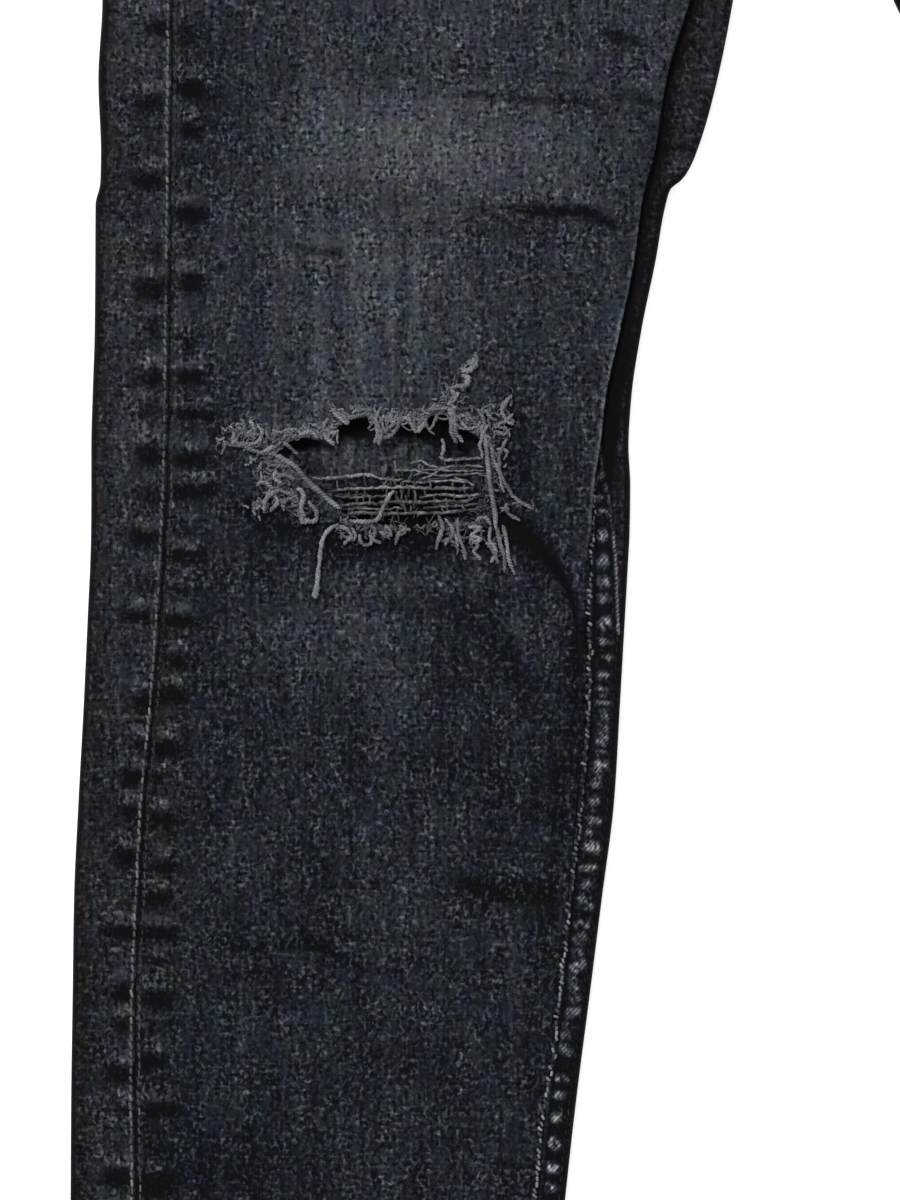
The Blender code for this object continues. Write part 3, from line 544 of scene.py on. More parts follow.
# Yarns of the rip: radius, height over the cloth, wobble, way.  Weft threads that still
# cross the hole, then loose and frayed ends round it.
WEFT = (
    (0.42, 0.0, 0.2, ((-129.8, -317.2), (-127.4, -318.2), (-124.8, -318.6), (-121.5, -318.2),
     (-114.9, -317.8))),
    (0.36, 0.1, 0.25, ((-140.1, -319.8), (-136.6, -318.6), (-133.7, -320.1), (-130.4, -320.9),
     (-122.2, -320.5), (-114.3, -320.9))),
    (0.5, 0.2, 0.22, ((-174.2, -324.7), (-169.4, -325.0), (-163.5, -324.4), (-157.6, -323.6),
     (-153.2, -324.1), (-148.0, -325.3), (-142.1, -325.1))),
    (0.38, 0.1, 0.25, ((-138.8, -323.8), (-134.4, -322.9), (-130.4, -323.8), (-123.7, -323.6),
     (-114.0, -323.1))),
    (0.34, 0.2, 0.28, ((-145.8, -322.0), (-139.9, -322.3), (-131.8, -322.0), (-124.5, -322.3),
     (-114.1, -322.0))),
    (0.46, 0.2, 0.22, ((-168.1, -329.2), (-163.5, -328.7), (-157.6, -328.4), (-148.8, -328.1),
     (-139.9, -328.1), (-131.1, -328.5), (-118.0, -328.4))),
    (0.4, 0.0, 0.25, ((-166.4, -330.9), (-160.6, -331.5), (-153.2, -331.3), (-148.0, -331.2))),
    (0.4, 0.1, 0.22, ((-136.6, -331.5), (-129.6, -330.6), (-121.5, -331.1), (-115.3, -330.6))),
    (0.36, 0.1, 0.25, ((-142.9, -326.0), (-136.2, -326.3), (-128.1, -325.7), (-120.0, -326.0))),
    (0.48, 0.2, 0.22, ((-165.3, -334.3), (-157.6, -333.7), (-151.7, -333.7), (-145.8, -333.2),
     (-137.0, -333.3), (-131.1, -332.9), (-121.5, -332.9), (-116.7, -331.7))),
    (0.36, 0.0, 0.25, ((-163.5, -335.9), (-157.6, -335.4), (-148.8, -335.6), (-142.1, -335.1))),
    (0.5, 0.3, 0.2, ((-163.8, -337.8), (-156.9, -337.0), (-147.3, -337.3), (-138.5, -337.0),
     (-127.4, -336.9), (-119.3, -335.9), (-112.3, -334.3))),
    (0.34, 0.1, 0.25, ((-135.5, -335.1), (-128.1, -334.7), (-120.8, -334.4), (-116.4, -333.8))),
    (0.36, 0.4, 0.15, ((-124.6, -324.5), (-120.8, -325.5), (-117.5, -327.5))),
    (0.34, 0.3, 0.15, ((-136.2, -325.1), (-132.2, -323.6), (-129.6, -322.2))),
)
LOOSE = (
    (0.52, 0.9, 0.15, ((-161.3, -339.6), (-156.1, -340.3), (-151.9, -339.6), (-149.4, -335.4),
     (-147.7, -331.7), (-145.6, -329.2))),
    (0.62, 0.9, 0.12, ((-188.0, -316.3), (-184.9, -318.0), (-180.4, -320.7), (-175.7, -326.0),
     (-170.3, -330.9), (-164.6, -335.6))),
    (0.4, 0.6, 0.1, ((-184.7, -311.9), (-182.1, -313.9), (-179.3, -316.6))),
    (0.58, 1.2, 0.12, ((-114.0, -308.2), (-113.2, -314.8), (-112.7, -320.7), (-111.8, -328.1),
     (-110.5, -335.4), (-109.9, -343.2))),
    (0.42, 1.5, 0.15, ((-111.8, -313.3), (-110.1, -320.0), (-107.1, -326.2), (-104.2, -330.9),
     (-97.8, -335.6))),
    (0.4, 1.3, 0.2, ((-106.4, -311.1), (-108.8, -317.8), (-108.4, -324.4), (-107.1, -329.9))),
    (0.36, 1.0, 0.2, ((-115.6, -306.0), (-114.7, -309.6), (-115.5, -313.3), (-114.5, -317.8))),
    (0.55, 1.0, 0.1, ((-165.0, -341.0), (-168.5, -343.0), (-170.7, -347.2), (-171.6, -353.8),
     (-172.3, -359.7), (-173.0, -365.8))),
    (0.85, 1.0, 0.05, ((-172.3, -362.5), (-172.9, -364.5), (-173.1, -366.5))),
    (0.4, 0.6, 0.2, ((-128.9, -311.1), (-128.0, -313.3), (-128.9, -317.2))),
    (0.5, 0.9, 0.35, ((-202.0, -308.2), (-201.1, -311.9), (-196.6, -314.2), (-190.8, -315.5),
     (-187.4, -313.3))),
    (0.45, 0.8, 0.35, ((-198.9, -303.9), (-198.0, -307.4), (-195.9, -309.6), (-192.6, -310.0))),
    (0.45, 0.9, 0.35, ((-193.7, -306.0), (-191.6, -308.9), (-193.0, -311.9), (-197.8, -313.7))),
    (0.42, 0.9, 0.35, ((-190.4, -307.8), (-188.9, -311.1), (-186.3, -311.7))),
    (0.42, 0.8, 0.3, ((-200.3, -311.1), (-201.8, -313.3), (-200.2, -313.7))),
    (0.4, 0.8, 0.35, ((-188.2, -308.2), (-185.5, -308.9), (-182.7, -307.8), (-179.3, -308.3))),
    (0.4, 0.8, 0.3, ((-195.9, -304.5), (-194.4, -307.4), (-195.0, -310.0))),
    (0.45, 0.9, 0.3, ((-179.3, -308.2), (-177.3, -309.6), (-175.3, -308.2), (-172.3, -309.6))),
    (0.45, 0.9, 0.3, ((-182.7, -307.4), (-181.2, -310.0), (-179.0, -310.5))),
    (0.42, 1.0, 0.35, ((-174.9, -307.8), (-173.8, -309.6), (-172.3, -310.8))),
    (0.5, 1.0, 0.35, ((-168.7, -304.1), (-170.5, -307.4), (-167.9, -308.9), (-165.0, -308.2))),
    (0.45, 1.0, 0.35, ((-170.1, -308.9), (-168.7, -311.9), (-166.4, -313.0))),
    (0.5, 1.0, 0.3, ((-166.8, -301.5), (-165.0, -303.8), (-162.0, -305.6), (-163.5, -303.0),
     (-165.7, -301.9))),
    (0.45, 1.0, 0.3, ((-163.5, -301.9), (-160.6, -303.8), (-157.6, -303.0), (-153.9, -302.3))),
    (0.42, 1.0, 0.3, ((-159.1, -301.9), (-156.1, -300.8), (-153.2, -301.2))),
    (0.46, 1.0, 0.2, ((-152.8, -304.1), (-151.1, -308.2), (-152.1, -312.6))),
    (0.46, 1.1, 0.2, ((-149.9, -299.9), (-151.7, -304.5), (-149.9, -308.9), (-151.0, -313.3))),
    (0.44, 1.2, 0.2, ((-148.8, -304.5), (-145.8, -305.6), (-149.9, -309.6))),
    (0.46, 1.1, 0.2, ((-142.5, -301.9), (-144.3, -306.0), (-145.8, -309.3), (-149.5, -311.1))),
    (0.4, 1.1, 0.2, ((-146.6, -302.3), (-148.0, -306.0), (-145.8, -308.9))),
    (0.46, 1.1, 0.15, ((-140.8, -303.4), (-139.2, -306.7), (-137.6, -308.9), (-135.9, -307.1),
     (-134.4, -303.9))),
    (0.4, 1.1, 0.2, ((-138.1, -304.1), (-136.2, -306.0), (-138.1, -306.3))),
    (0.38, 1.0, 0.15, ((-130.4, -302.3), (-131.1, -304.5), (-133.2, -308.3))),
    (0.4, 1.0, 0.2, ((-134.0, -301.5), (-130.4, -300.8), (-126.7, -300.4))),
    (0.46, 1.2, 0.2, ((-126.4, -300.4), (-125.3, -303.8), (-125.5, -308.9), (-123.7, -312.6))),
    (0.44, 1.2, 0.2, ((-122.2, -306.0), (-119.3, -307.6), (-116.0, -306.8))),
    (0.44, 1.2, 0.2, ((-125.0, -300.5), (-124.2, -306.0), (-123.4, -309.9), (-121.4, -312.2))),
    (0.4, 1.2, 0.2, ((-120.0, -301.9), (-117.8, -305.2), (-115.3, -308.2))),
    (0.42, 1.2, 0.25, ((-104.6, -296.0), (-106.8, -298.6), (-107.5, -302.3))),
    (0.4, 1.2, 0.3, ((-106.8, -297.9), (-108.3, -300.8), (-106.8, -304.5), (-109.0, -306.7),
     (-105.7, -308.2))),
    (0.4, 1.1, 0.3, ((-104.2, -302.3), (-106.0, -305.2), (-103.8, -306.0))),
    (0.4, 1.1, 0.3, ((-113.4, -300.8), (-111.9, -303.8), (-109.7, -304.9))),
    (0.38, 1.1, 0.3, ((-116.4, -300.8), (-114.5, -304.5), (-113.4, -308.2))),
    (0.38, 1.0, 0.3, ((-109.7, -308.9), (-107.5, -309.6), (-105.3, -308.2))),
    (0.36, 1.0, 0.3, ((-109.7, -314.8), (-106.0, -315.5), (-107.1, -318.5))),
    (0.62, 1.2, 0.3, ((-117.2, -281.1), (-116.7, -283.5), (-117.8, -286.4), (-120.0, -287.5),
     (-122.4, -286.8))),
    (0.58, 1.2, 0.3, ((-116.4, -283.1), (-118.4, -285.3), (-117.5, -286.8))),
    (0.56, 1.1, 0.35, ((-121.9, -289.0), (-119.7, -290.1), (-120.8, -292.7), (-122.2, -294.2))),
    (0.54, 1.1, 0.35, ((-118.9, -289.8), (-120.0, -292.3), (-123.4, -293.1), (-125.2, -294.2))),
    (0.5, 1.1, 0.35, ((-125.6, -293.8), (-124.5, -296.0), (-126.1, -298.6), (-123.7, -300.8))),
    (0.46, 1.0, 0.35, ((-123.0, -294.9), (-124.8, -297.9), (-126.7, -299.3))),
    (0.58, 1.1, 0.3, ((-191.3, -336.3), (-190.6, -332.5), (-188.2, -329.9), (-185.5, -328.9))),
    (0.54, 1.1, 0.3, ((-188.9, -336.3), (-186.7, -333.6), (-187.1, -330.6))),
    (0.54, 1.2, 0.3, ((-185.5, -328.9), (-182.7, -330.3), (-180.1, -331.4), (-178.6, -333.2))),
    (0.5, 1.1, 0.3, ((-184.1, -333.6), (-181.9, -331.7), (-179.3, -333.2))),
    (0.54, 1.1, 0.3, ((-179.0, -328.1), (-177.3, -331.4), (-177.9, -335.4), (-176.8, -338.4))),
    (0.54, 1.0, 0.3, ((-175.7, -333.2), (-173.1, -336.2), (-172.7, -339.1), (-175.3, -340.2),
     (-177.3, -339.1))),
    (0.5, 1.0, 0.3, ((-178.2, -337.6), (-177.3, -340.4), (-175.3, -339.1))),
    (0.42, 0.8, 0.35, ((-193.7, -327.3), (-190.8, -326.6), (-187.8, -328.1))),
    (0.42, 0.8, 0.35, ((-187.4, -324.4), (-183.4, -323.6), (-180.4, -325.5))),
    (0.42, 0.8, 0.35, ((-189.6, -320.0), (-185.6, -320.7), (-181.9, -320.3))),
    (0.4, 0.8, 0.35, ((-186.3, -322.2), (-187.8, -324.7), (-184.9, -326.6))),
    (0.46, 0.9, 0.2, ((-164.6, -341.7), (-161.3, -343.2), (-160.6, -345.4), (-163.1, -348.1))),
    (0.42, 0.9, 0.2, ((-160.6, -342.4), (-158.9, -345.0), (-160.1, -346.8))),
    (0.42, 0.9, 0.2, ((-157.6, -344.6), (-156.9, -347.8), (-153.9, -348.0), (-154.1, -343.2))),
    (0.38, 0.9, 0.2, ((-153.9, -341.3), (-152.1, -343.2), (-152.8, -346.1), (-150.2, -347.6))),
    (0.38, 0.9, 0.2, ((-150.6, -343.2), (-148.4, -345.7))),
    (0.38, 0.9, 0.2, ((-148.6, -341.3), (-146.4, -344.6), (-148.4, -345.4))),
    (0.42, 0.9, 0.2, ((-139.9, -342.8), (-142.9, -343.2), (-144.9, -348.3))),
    (0.38, 0.9, 0.2, ((-143.6, -341.3), (-141.4, -343.2), (-144.7, -345.4))),
    (0.46, 0.9, 0.15, ((-130.0, -338.0), (-128.5, -342.1), (-130.0, -346.1), (-130.7, -350.0))),
    (0.4, 0.9, 0.15, ((-127.8, -339.1), (-124.8, -343.2), (-127.8, -348.3))),
    (0.44, 0.9, 0.15, ((-123.4, -338.7), (-123.1, -344.3), (-121.5, -349.1), (-120.4, -353.3))),
    (0.4, 0.9, 0.15, ((-125.2, -342.8), (-123.4, -346.8), (-123.7, -349.4))),
    (0.42, 1.0, 0.2, ((-119.7, -342.1), (-115.3, -342.4), (-118.9, -345.0), (-115.3, -346.1),
     (-118.2, -347.6))),
    (0.42, 1.0, 0.2, ((-119.3, -345.7), (-116.4, -348.3), (-117.8, -350.5), (-115.3, -353.5))),
    (0.42, 1.0, 0.2, ((-117.1, -340.0), (-113.8, -338.7), (-111.8, -341.3))),
    (0.46, 1.0, 0.15, ((-111.8, -341.7), (-112.3, -346.5), (-109.7, -350.9), (-111.8, -354.4))),
    (0.46, 1.1, 0.12, ((-109.7, -342.1), (-108.6, -347.2), (-106.8, -353.1), (-106.9, -357.5))),
    (0.46, 1.2, 0.12, ((-107.4, -341.3), (-106.2, -347.2), (-105.2, -353.8), (-103.2, -358.6))),
    (0.4, 1.0, 0.15, ((-113.4, -347.2), (-111.2, -350.2), (-109.0, -354.6))),
    (0.36, 1.0, 0.15, ((-122.2, -350.2), (-120.0, -351.6))),
    (0.36, 0.8, 0.25, ((-107.5, -335.4), (-105.3, -337.6), (-101.6, -339.8))),
)

# Long creases of the front panels: rise, lighter or darker, and the way with half widths. The step is painted
# shade along each crease, with a faint painted highlight on its banks.
VALLEYS_RIGHT = (
    (-1.10, -33.0, ((-112.0, -335.6, 1.8), (-106.5, -339.2, 3.3), (-100.5, -343.4, 3.3),
                    (-95.0, -348.2, 2.7), (-90.2, -353.8, 2.2), (-85.9, -360.0, 1.9),
                    (-83.0, -368.0, 1.2), (-81.2, -379.0, 0.9), (-80.6, -394.0, 0.6),
                    (-81.4, -412.0, 0.4))),
    (-0.30, -9.0, ((-194.0, -206.0, 0.7), (-186.0, -215.5, 1.1), (-179.5, -225.5, 1.2),
                   (-176.0, -237.0, 0.8))),
    (-0.65, -26.0, ((-109.0, -229.6, 0.8), (-101.0, -231.4, 1.4), (-93.0, -232.2, 2.2),
                    (-85.0, -231.8, 2.4), (-77.5, -232.4, 2.3), (-71.0, -236.2, 1.8),
                    (-64.5, -238.8, 1.4))),
    (-0.40, -17.0, ((-77.0, -167.6, 1.2), (-70.5, -170.0, 2.4), (-63.5, -172.4, 2.6),
                    (-57.0, -172.0, 1.6))),
    (-0.50, -20.0, ((-66.0, -190.0, 1.4), (-59.5, -192.6, 2.2), (-54.0, -195.2, 2.0),
                    (-51.0, -198.0, 1.2))),
    (-0.35, -12.0, ((-130.0, -189.4, 1.0), (-112.0, -191.2, 1.6), (-98.0, -193.2, 1.8),
                    (-84.0, -194.6, 2.4), (-76.0, -195.2, 2.2), (-71.5, -199.0, 1.4))),
    (-0.35, -13.0, ((-181.0, -244.2, 0.7), (-175.0, -245.0, 1.0), (-169.0, -246.4, 1.1),
                    (-160.0, -244.9, 0.9))),
)
VALLEYS_LEFT = (
    (-0.90, -14.0, ((-112.0, -328.0, 1.4), (-104.0, -336.0, 2.4), (-97.0, -347.0, 2.6),
                    (-92.0, -362.0, 2.2), (-90.0, -384.0, 1.6))),
    (-0.60, -9.0, ((-120.0, -204.0, 1.6), (-104.0, -209.0, 2.4), (-84.0, -206.0, 2.2),
                   (-68.0, -211.0, 1.4))),
)


# ---------------------------------------------------------------- small maths


def ease(t):
    t = np.clip(t, 0.0, 1.0)
    return t * t * (3.0 - 2.0 * t)


def curve(xs, ys):
    """A smooth line through the points that never overshoots them; xs rise."""
    xs, ys = np.asarray(xs, float), np.asarray(ys, float)
    h = np.diff(xs)
    d = np.diff(ys) / h
    m = np.zeros(len(xs))
    m[0], m[-1] = d[0], d[-1]
    for k in range(1, len(xs) - 1):
        if d[k - 1] * d[k] > 0:
            a, b = 2 * h[k] + h[k - 1], h[k] + 2 * h[k - 1]
            m[k] = (a + b) / (a / d[k - 1] + b / d[k])

    def at(x):
        x = np.clip(x, xs[0], xs[-1])
        k = np.clip(np.searchsorted(xs, x, side="right") - 1, 0, len(h) - 1)
        t = (x - xs[k]) / h[k]
        return (ys[k] * (1 + 2 * t) * (1 - t) ** 2 + m[k] * h[k] * t * (1 - t) ** 2
                + ys[k + 1] * t * t * (3 - 2 * t) + m[k + 1] * h[k] * t * t * (t - 1))

    return at


def field(x, y, cell, seed):
    """Smooth random values from -1 to 1 with features of about cell millimetres."""
    g = np.random.default_rng(seed).uniform(-1.0, 1.0, (64, 64))
    u, v = np.asarray(x, float) / cell, np.asarray(y, float) / cell
    i, j = np.floor(u).astype(int), np.floor(v).astype(int)
    fu, fv = ease(u - i), ease(v - j)
    i, j, i1, j1 = i % 64, j % 64, (i + 1) % 64, (j + 1) % 64
    return ((g[i, j] * (1 - fu) + g[i1, j] * fu) * (1 - fv)
            + (g[i, j1] * (1 - fu) + g[i1, j1] * fu) * fv)


def spot(x, y, cx, cy, a, b, turn=0.0, power=2.0):
    """1 at the middle of a turned oval with half axes a and b, fading to 0."""
    c, s = math.cos(math.radians(turn)), math.sin(math.radians(turn))
    dx, dy = x - cx, y - cy
    u, v = (dx * c + dy * s) / a, (-dx * s + dy * c) / b
    return np.exp(-(np.abs(u) ** power + np.abs(v) ** power) * 1.2)


def line_spot(x, at, width):
    return np.exp(-((x - at) / width) ** 2)


def valley(x, y, way):
    """(fold, shoulder): 1 along a way of (x, y, half width) points, and along its banks."""
    shape = x.shape
    x, y = x.reshape(-1), y.reshape(-1)
    p = np.array(way, float)
    reach = p[:, 2].max() * 4.0
    zone = ((x > p[:, 0].min() - reach) & (x < p[:, 0].max() + reach)
            & (y > p[:, 1].min() - reach) & (y < p[:, 1].max() + reach))
    fold, bank = np.zeros_like(x), np.zeros_like(x)
    if zone.any():
        a, b = x[zone], y[zone]
        best = np.full(a.shape, 1e9)
        wide = np.ones_like(a)
        total = len(p) - 1
        along = np.zeros_like(a)
        for k in range(total):
            d = p[k + 1, :2] - p[k, :2]
            t = np.clip(((a - p[k, 0]) * d[0] + (b - p[k, 1]) * d[1]) / (d @ d), 0, 1)
            dist = np.hypot(a - p[k, 0] - t * d[0], b - p[k, 1] - t * d[1])
            m = dist < best
            best[m] = dist[m]
            wide[m] = (p[k, 2] + (p[k + 1, 2] - p[k, 2]) * t)[m]
            along[m] = (k + t)[m]
        ends = ease(along / 0.8) * ease((total - along) / 0.8)
        fold[zone] = np.exp(-(best / wide) ** 2) * (0.25 + 0.75 * ends)
        bank[zone] = np.exp(-((best - 2.1 * wide) / wide) ** 2) * ends
    return fold.reshape(shape), bank.reshape(shape)


# ---------------------------------------------------------------- the laid leg


class Leg:
    def __init__(self, table, folds, creases, valleys, mirror, seed):
        t = np.array(table)[::-1]
        p = np.array(PILE)[::-1]
        self.read = {n: curve(t[:, 0], t[:, k]) for k, n in enumerate(LEG_COLS) if k}
        self.read.update({n: curve(p[:, 0], p[:, k]) for k, n in enumerate(PILE_COLS) if k})
        self.folds, self.creases, self.valleys = folds, creases, valleys
        self.mirror, self.seed = mirror, seed
        low = -343.0 if not mirror else -345.0
        end = -355.0 if not mirror else -357.0
        self.tucked = lambda y: np.clip(-y / 10.0, 0, 1) * np.clip((y - end) / (low - end), 0, 1)
        e = np.array(STRIP_EDGE)[::-1]
        edge = curve(e[:, 0], e[:, 1])
        if mirror:
            self.strip_edge = lambda y: np.minimum(self.at("front_edge", y) + 10.4,
                                                   self.at("fold_in", y) - 0.4)
        else:
            self.strip_edge = lambda y: np.where(y > -380.0,
                                                 np.minimum(edge(y),
                                                            self.at("fold_in", y) - 0.5),
                                                 self.at("fold_in", y) - 0.5)
        self.strip_on = (lambda y: ease((-306.0 - y) / 10.0)) if not mirror else (
            lambda y: ease((-318.0 - y) / 12.0))
        # puckers that the tables don't list come from the leg's own seed
        rng = np.random.default_rng(seed)
        self.rope = {"back": [], "front": []}
        for side, own in (("back", ROPE_BACK), ("front", ROPE_FRONT)):
            listed = [] if mirror else list(own)
            y = 140.0
            while y > -772.0:
                y -= rng.uniform(10.5, 17.5)
                if not mirror and -160.0 > y > -578.0:
                    continue
                d = rng.uniform(5.0, 7.5)
                x = float(self.at("outseam", y)) + (d if side == "front" else -d)
                listed.append((x, y, rng.uniform(3.4, 6.0), rng.uniform(2.0, 3.3),
                               rng.uniform(0.5, 1.2)))
            self.rope[side] = sorted(listed, key=lambda r: -r[1])
        self.bars = [] if mirror else list(BARS)
        y = -322.0
        while y > -772.0:
            y -= rng.uniform(4.2, 9.5)
            if not mirror and y > -578.0:
                continue
            e0, e1 = float(self.at("front_edge", y)), float(self.strip_edge(y))
            self.bars.append((e0 + 0.5 * (e1 - e0) + 0.4, y, rng.uniform(1.7, 2.6),
                              rng.uniform(1.0, 2.2), rng.uniform(0.5, 1.2),
                              rng.uniform(-18, 34)))

    def at(self, name, y):
        return self.read[name](np.asarray(y, float))

    def front_base(self, x, y):
        """Mid-wall height of the upper layer, without its fine creases."""
        z_out = self.at("lift", y) + CLOTH / 2 + 2 * self.at("roll_out", y)
        mid, inner = self.at("mid", y), self.at("inner", y)
        edge_in = self.at("front_edge", y)
        from_out = (x - self.at("fold_out", y)) / ROLL_REACH
        from_in = (edge_in - self.at("tuck", y) - 3.0 - x) / TUCK_REACH
        z = mid + (z_out - mid) * ease(1.0 - from_out) + (inner - mid) * ease(1.0 - from_in)
        keep = ease((x - self.at("outseam", y)) / 25.0) * ease((edge_in - x) / 25.0)
        for fx, fy, long, wide, turn, rise in self.folds:
            a = math.radians(turn)
            dx, dy = x - fx, y - fy
            u = (dx * math.cos(a) + dy * math.sin(a)) / long
            v = (-dx * math.sin(a) + dy * math.cos(a)) / wide
            z = z + keep * rise * np.exp(-(u * u + v * v) * 1.6)
        return z

    def pucker(self, x, y, side):
        """(height, tone) of the puckers beside the outseam."""
        z, tone = np.zeros_like(x), np.zeros_like(x)
        rows = self.rope[side]
        for k, (cx, cy, a, b, w) in enumerate(rows):
            s = spot(x, y, cx, cy, a * 1.12, b * 1.15, power=2.6)
            z -= 0.70 * w * s
            # painted shade in each hollow; the ridge above it gets wear and a painted highlight
            tone -= 34.0 * w * s
            if k:
                up = rows[k - 1]
                gap = up[1] - cy
                if gap > 5.0:
                    r = spot(x, y, (cx + up[0]) / 2, cy + min(0.46 * gap, b + 3.0), a * 0.95,
                             2.1, power=2.2)
                    z += 0.46 * w * r
                    tone += 25.0 * w * r
        return z, tone

    def skin(self, x, y, side):
        """(extra height, tone) of the visible upper layer.  side is front for the front
        panel and back for the strip of the back panel beside the outseam."""
        seam = self.at("outseam", y)
        d = np.abs(x - seam)
        fine = ease((150.0 - y) / 8.0)
        z = 0.24 * field(x, y, 31.0, self.seed + 1) + 0.13 * field(x, y, 12.0, self.seed + 2)
        z = z * ease(d / 12.0)
        tone = 2.6 * field(x, y * 0.7, 24.0, self.seed + 3)
        tone += 2.0 * field(x, y * 0.6, 9.0, self.seed + 4)
        if side == "front":
            pz, pt = self.pucker(x, y, "front")
            z += fine * pz
            tone += fine * pt
            # painted shade in the seam's groove; the lighter ridge beside it is partly wear, partly a painted
            # highlight
            z += fine * (-0.62 * line_spot(d, 0.0, 0.58) + 0.14 * line_spot(d, 1.9, 0.9))
            tone += fine * (-42.0 * line_spot(d, 0.0, 0.58) + 5.0 * line_spot(d, 1.7, 0.7))
            inner = self.at("front_edge", y) - x
            keep = ease(d / 8.0) * ease(inner / 6.0)
            # the steps of creases and valleys paint shade into the hollows and a highlight onto the rises and
            # banks
            for cx, cy, a, b, turn, rise, step in self.creases:
                s = spot(x, y, cx, cy, a, b, turn, power=2.0)
                z += keep * rise * s
                tone += step * s
            for depth, step, way in self.valleys:
                s, r = valley(x, y, way)
                z += keep * depth * (s - 0.45 * r)
                tone += step * s - 0.22 * step * r
        else:
            pz, pt = self.pucker(x, y, "back")
            z += fine * pz
            tone += fine * pt
            # painted shade in the seam's groove and just past the seam allowance's edge; the lighter ridges
            # are partly wear, partly painted highlight
            z += fine * (-0.62 * line_spot(d, 0.0, 0.58) + 0.34 * line_spot(d, 1.6, 0.9)
                         + 0.20 * (1.0 - ease((d - 7.0) / 1.3)))
            tone += fine * (-42.0 * line_spot(d, 0.0, 0.58) + 9.0 * line_spot(d, 1.6, 0.8)
                            + 5.0 * line_spot(d, 7.4, 0.5) - 3.0 * line_spot(d, 8.6, 0.6))
        return z, tone

    def strip_skin(self, x, y):
        """(extra height, tone) of the back panel's strip beside the inseam: the felled seam
        with its worn bars, and the plain cloth between it and the inner fold."""
        e0, e1 = self.at("front_edge", y), self.strip_edge(y)
        on = self.strip_on(y) * ease((x - e0 + 2.5) / 1.5) * ease((e1 + 0.25 - x) / 0.5)
        z = on * 0.30
        tone = on * 5.0 * line_spot(y, -432.0, 44.0)
        # grooves along both stitch rows, ridges outside them
        left, right = x - e0, e1 - x
        wide = ease((e1 - e0 - 5.0) / 3.0)
        z += on * wide * (0.26 * line_spot(left, 0.5, 0.6) - 0.42 * line_spot(left, 1.9, 0.7))
        tone += on * wide * (20.0 * line_spot(left, 0.4, 0.5) - 12.0 * line_spot(left, 1.9, 0.8))
        z += on * (0.20 * line_spot(right, 0.5, 0.45) - 0.40 * line_spot(right, 1.9, 0.8))
        bright = 0.55 + 0.45 * field(x * 0, y, 16.0, self.seed + 9)
        if not self.mirror:
            bright = np.where(y > -396.0, 0.85 + 0.85 * ease((-340.0 - y) / 6.0),
                              np.where(y < -488.0, bright + 0.1, 0.50 * bright))
        tone += on * (62.0 * bright * line_spot(right, 0.36, 0.34)
                      - 10.0 * line_spot(right, 1.9, 0.9))
        for cx, cy, a, b, w, turn in self.bars:
            s = spot(x, y, cx, cy, a * 1.04, min(b, 1.9) * 0.98, turn, power=4.0)
            z += on * 0.42 * w * s
            tone += on * 104.0 * w * s * (0.76 + 0.86 * field(x, y, 0.8, self.seed + 13))
        far = 1.0 - on
        z += far * 0.12 * field(x, y, 14.0, self.seed + 11)
        return z, tone

    def bend(self, x, y, side):
        f = 1.0 - (x / self.at("fold_out", y)) ** 2
        if side == "front":
            return FRONT_DIP * ease((y - 100.0) / (WAIST - 100.0)) * f
        low = YOKE_DIP * ease((y - 105.0) / (YOKE - 105.0)) * f
        high = (YOKE_DIP + (BACK_RISE - YOKE_DIP) * (y - YOKE) / (WAIST - YOKE)) * f
        return np.where(y <= YOKE, low, high)


RIGHT = Leg(LEG_RIGHT, FOLDS_RIGHT, CREASES_RIGHT, VALLEYS_RIGHT, False, 400)
LEFT = Leg(LEG_LEFT, FOLDS_LEFT, CREASES_LEFT, VALLEYS_LEFT, True, 700)


# ---------------------------------------------------------------- meshes


def metres(p, mirror=False):
    p = np.asarray(p, float)
    out = np.empty_like(p)
    out[..., 0] = ((-p[..., 0] if mirror else p[..., 0]) + SHIFT_X) * 0.001
    out[..., 1] = (p[..., 1] + SHIFT_Y) * 0.001
    out[..., 2] = p[..., 2] * 0.001
    return out


ATTRS = ("grey", "blue", "grain", "twill", "rose")


def mesh_object(name, verts, faces, mats, uv=None, attrs=None, index=None, sharp=None):
    """verts is n x 3 in metres; faces an m x 4 array, or a list of such arrays with 3 or 4
    columns; index the faces' material numbers."""
    if not isinstance(faces, (list, tuple)):
        faces = [faces]
    loops = np.concatenate([f.reshape(-1) for f in faces]).astype(np.int32)
    sizes = np.concatenate([np.full(len(f), f.shape[1]) for f in faces]).astype(np.int32)
    starts = np.concatenate([[0], np.cumsum(sizes)[:-1]]).astype(np.int32)
    me = bpy.data.meshes.new(name)
    me.vertices.add(len(verts))
    me.vertices.foreach_set("co", np.asarray(verts, np.float32).reshape(-1))
    me.loops.add(len(loops))
    me.loops.foreach_set("vertex_index", loops)
    me.polygons.add(len(sizes))
    me.polygons.foreach_set("loop_start", starts)
    me.polygons.foreach_set("loop_total", sizes)
    if index is not None:
        me.polygons.foreach_set("material_index", np.asarray(index, np.int32))
    me.update(calc_edges=True)
    if uv is not None:
        layer = me.uv_layers.new(name="cloth")
        layer.uv.foreach_set("vector", np.asarray(uv, np.float32)[loops].reshape(-1))
    for key, values in (attrs or {}).items():
        a = me.attributes.new(key, "FLOAT", "POINT")
        a.data.foreach_set("value", np.asarray(values, np.float32).reshape(-1))
    me.shade_smooth()
    if sharp:
        me.set_sharp_from_angle(angle=math.radians(sharp))
    for m in mats:
        me.materials.append(m)
    me.validate()
    obj = bpy.data.objects.new(name, me)
    bpy.context.scene.collection.objects.link(obj)
    return obj


def grid_normals(p, flip):
    dr, dc = np.gradient(p, axis=0), np.gradient(p, axis=1)
    n = np.cross(dc, dr) if flip else np.cross(dr, dc)
    return n / np.maximum(np.linalg.norm(n, axis=2, keepdims=True), 1e-9)


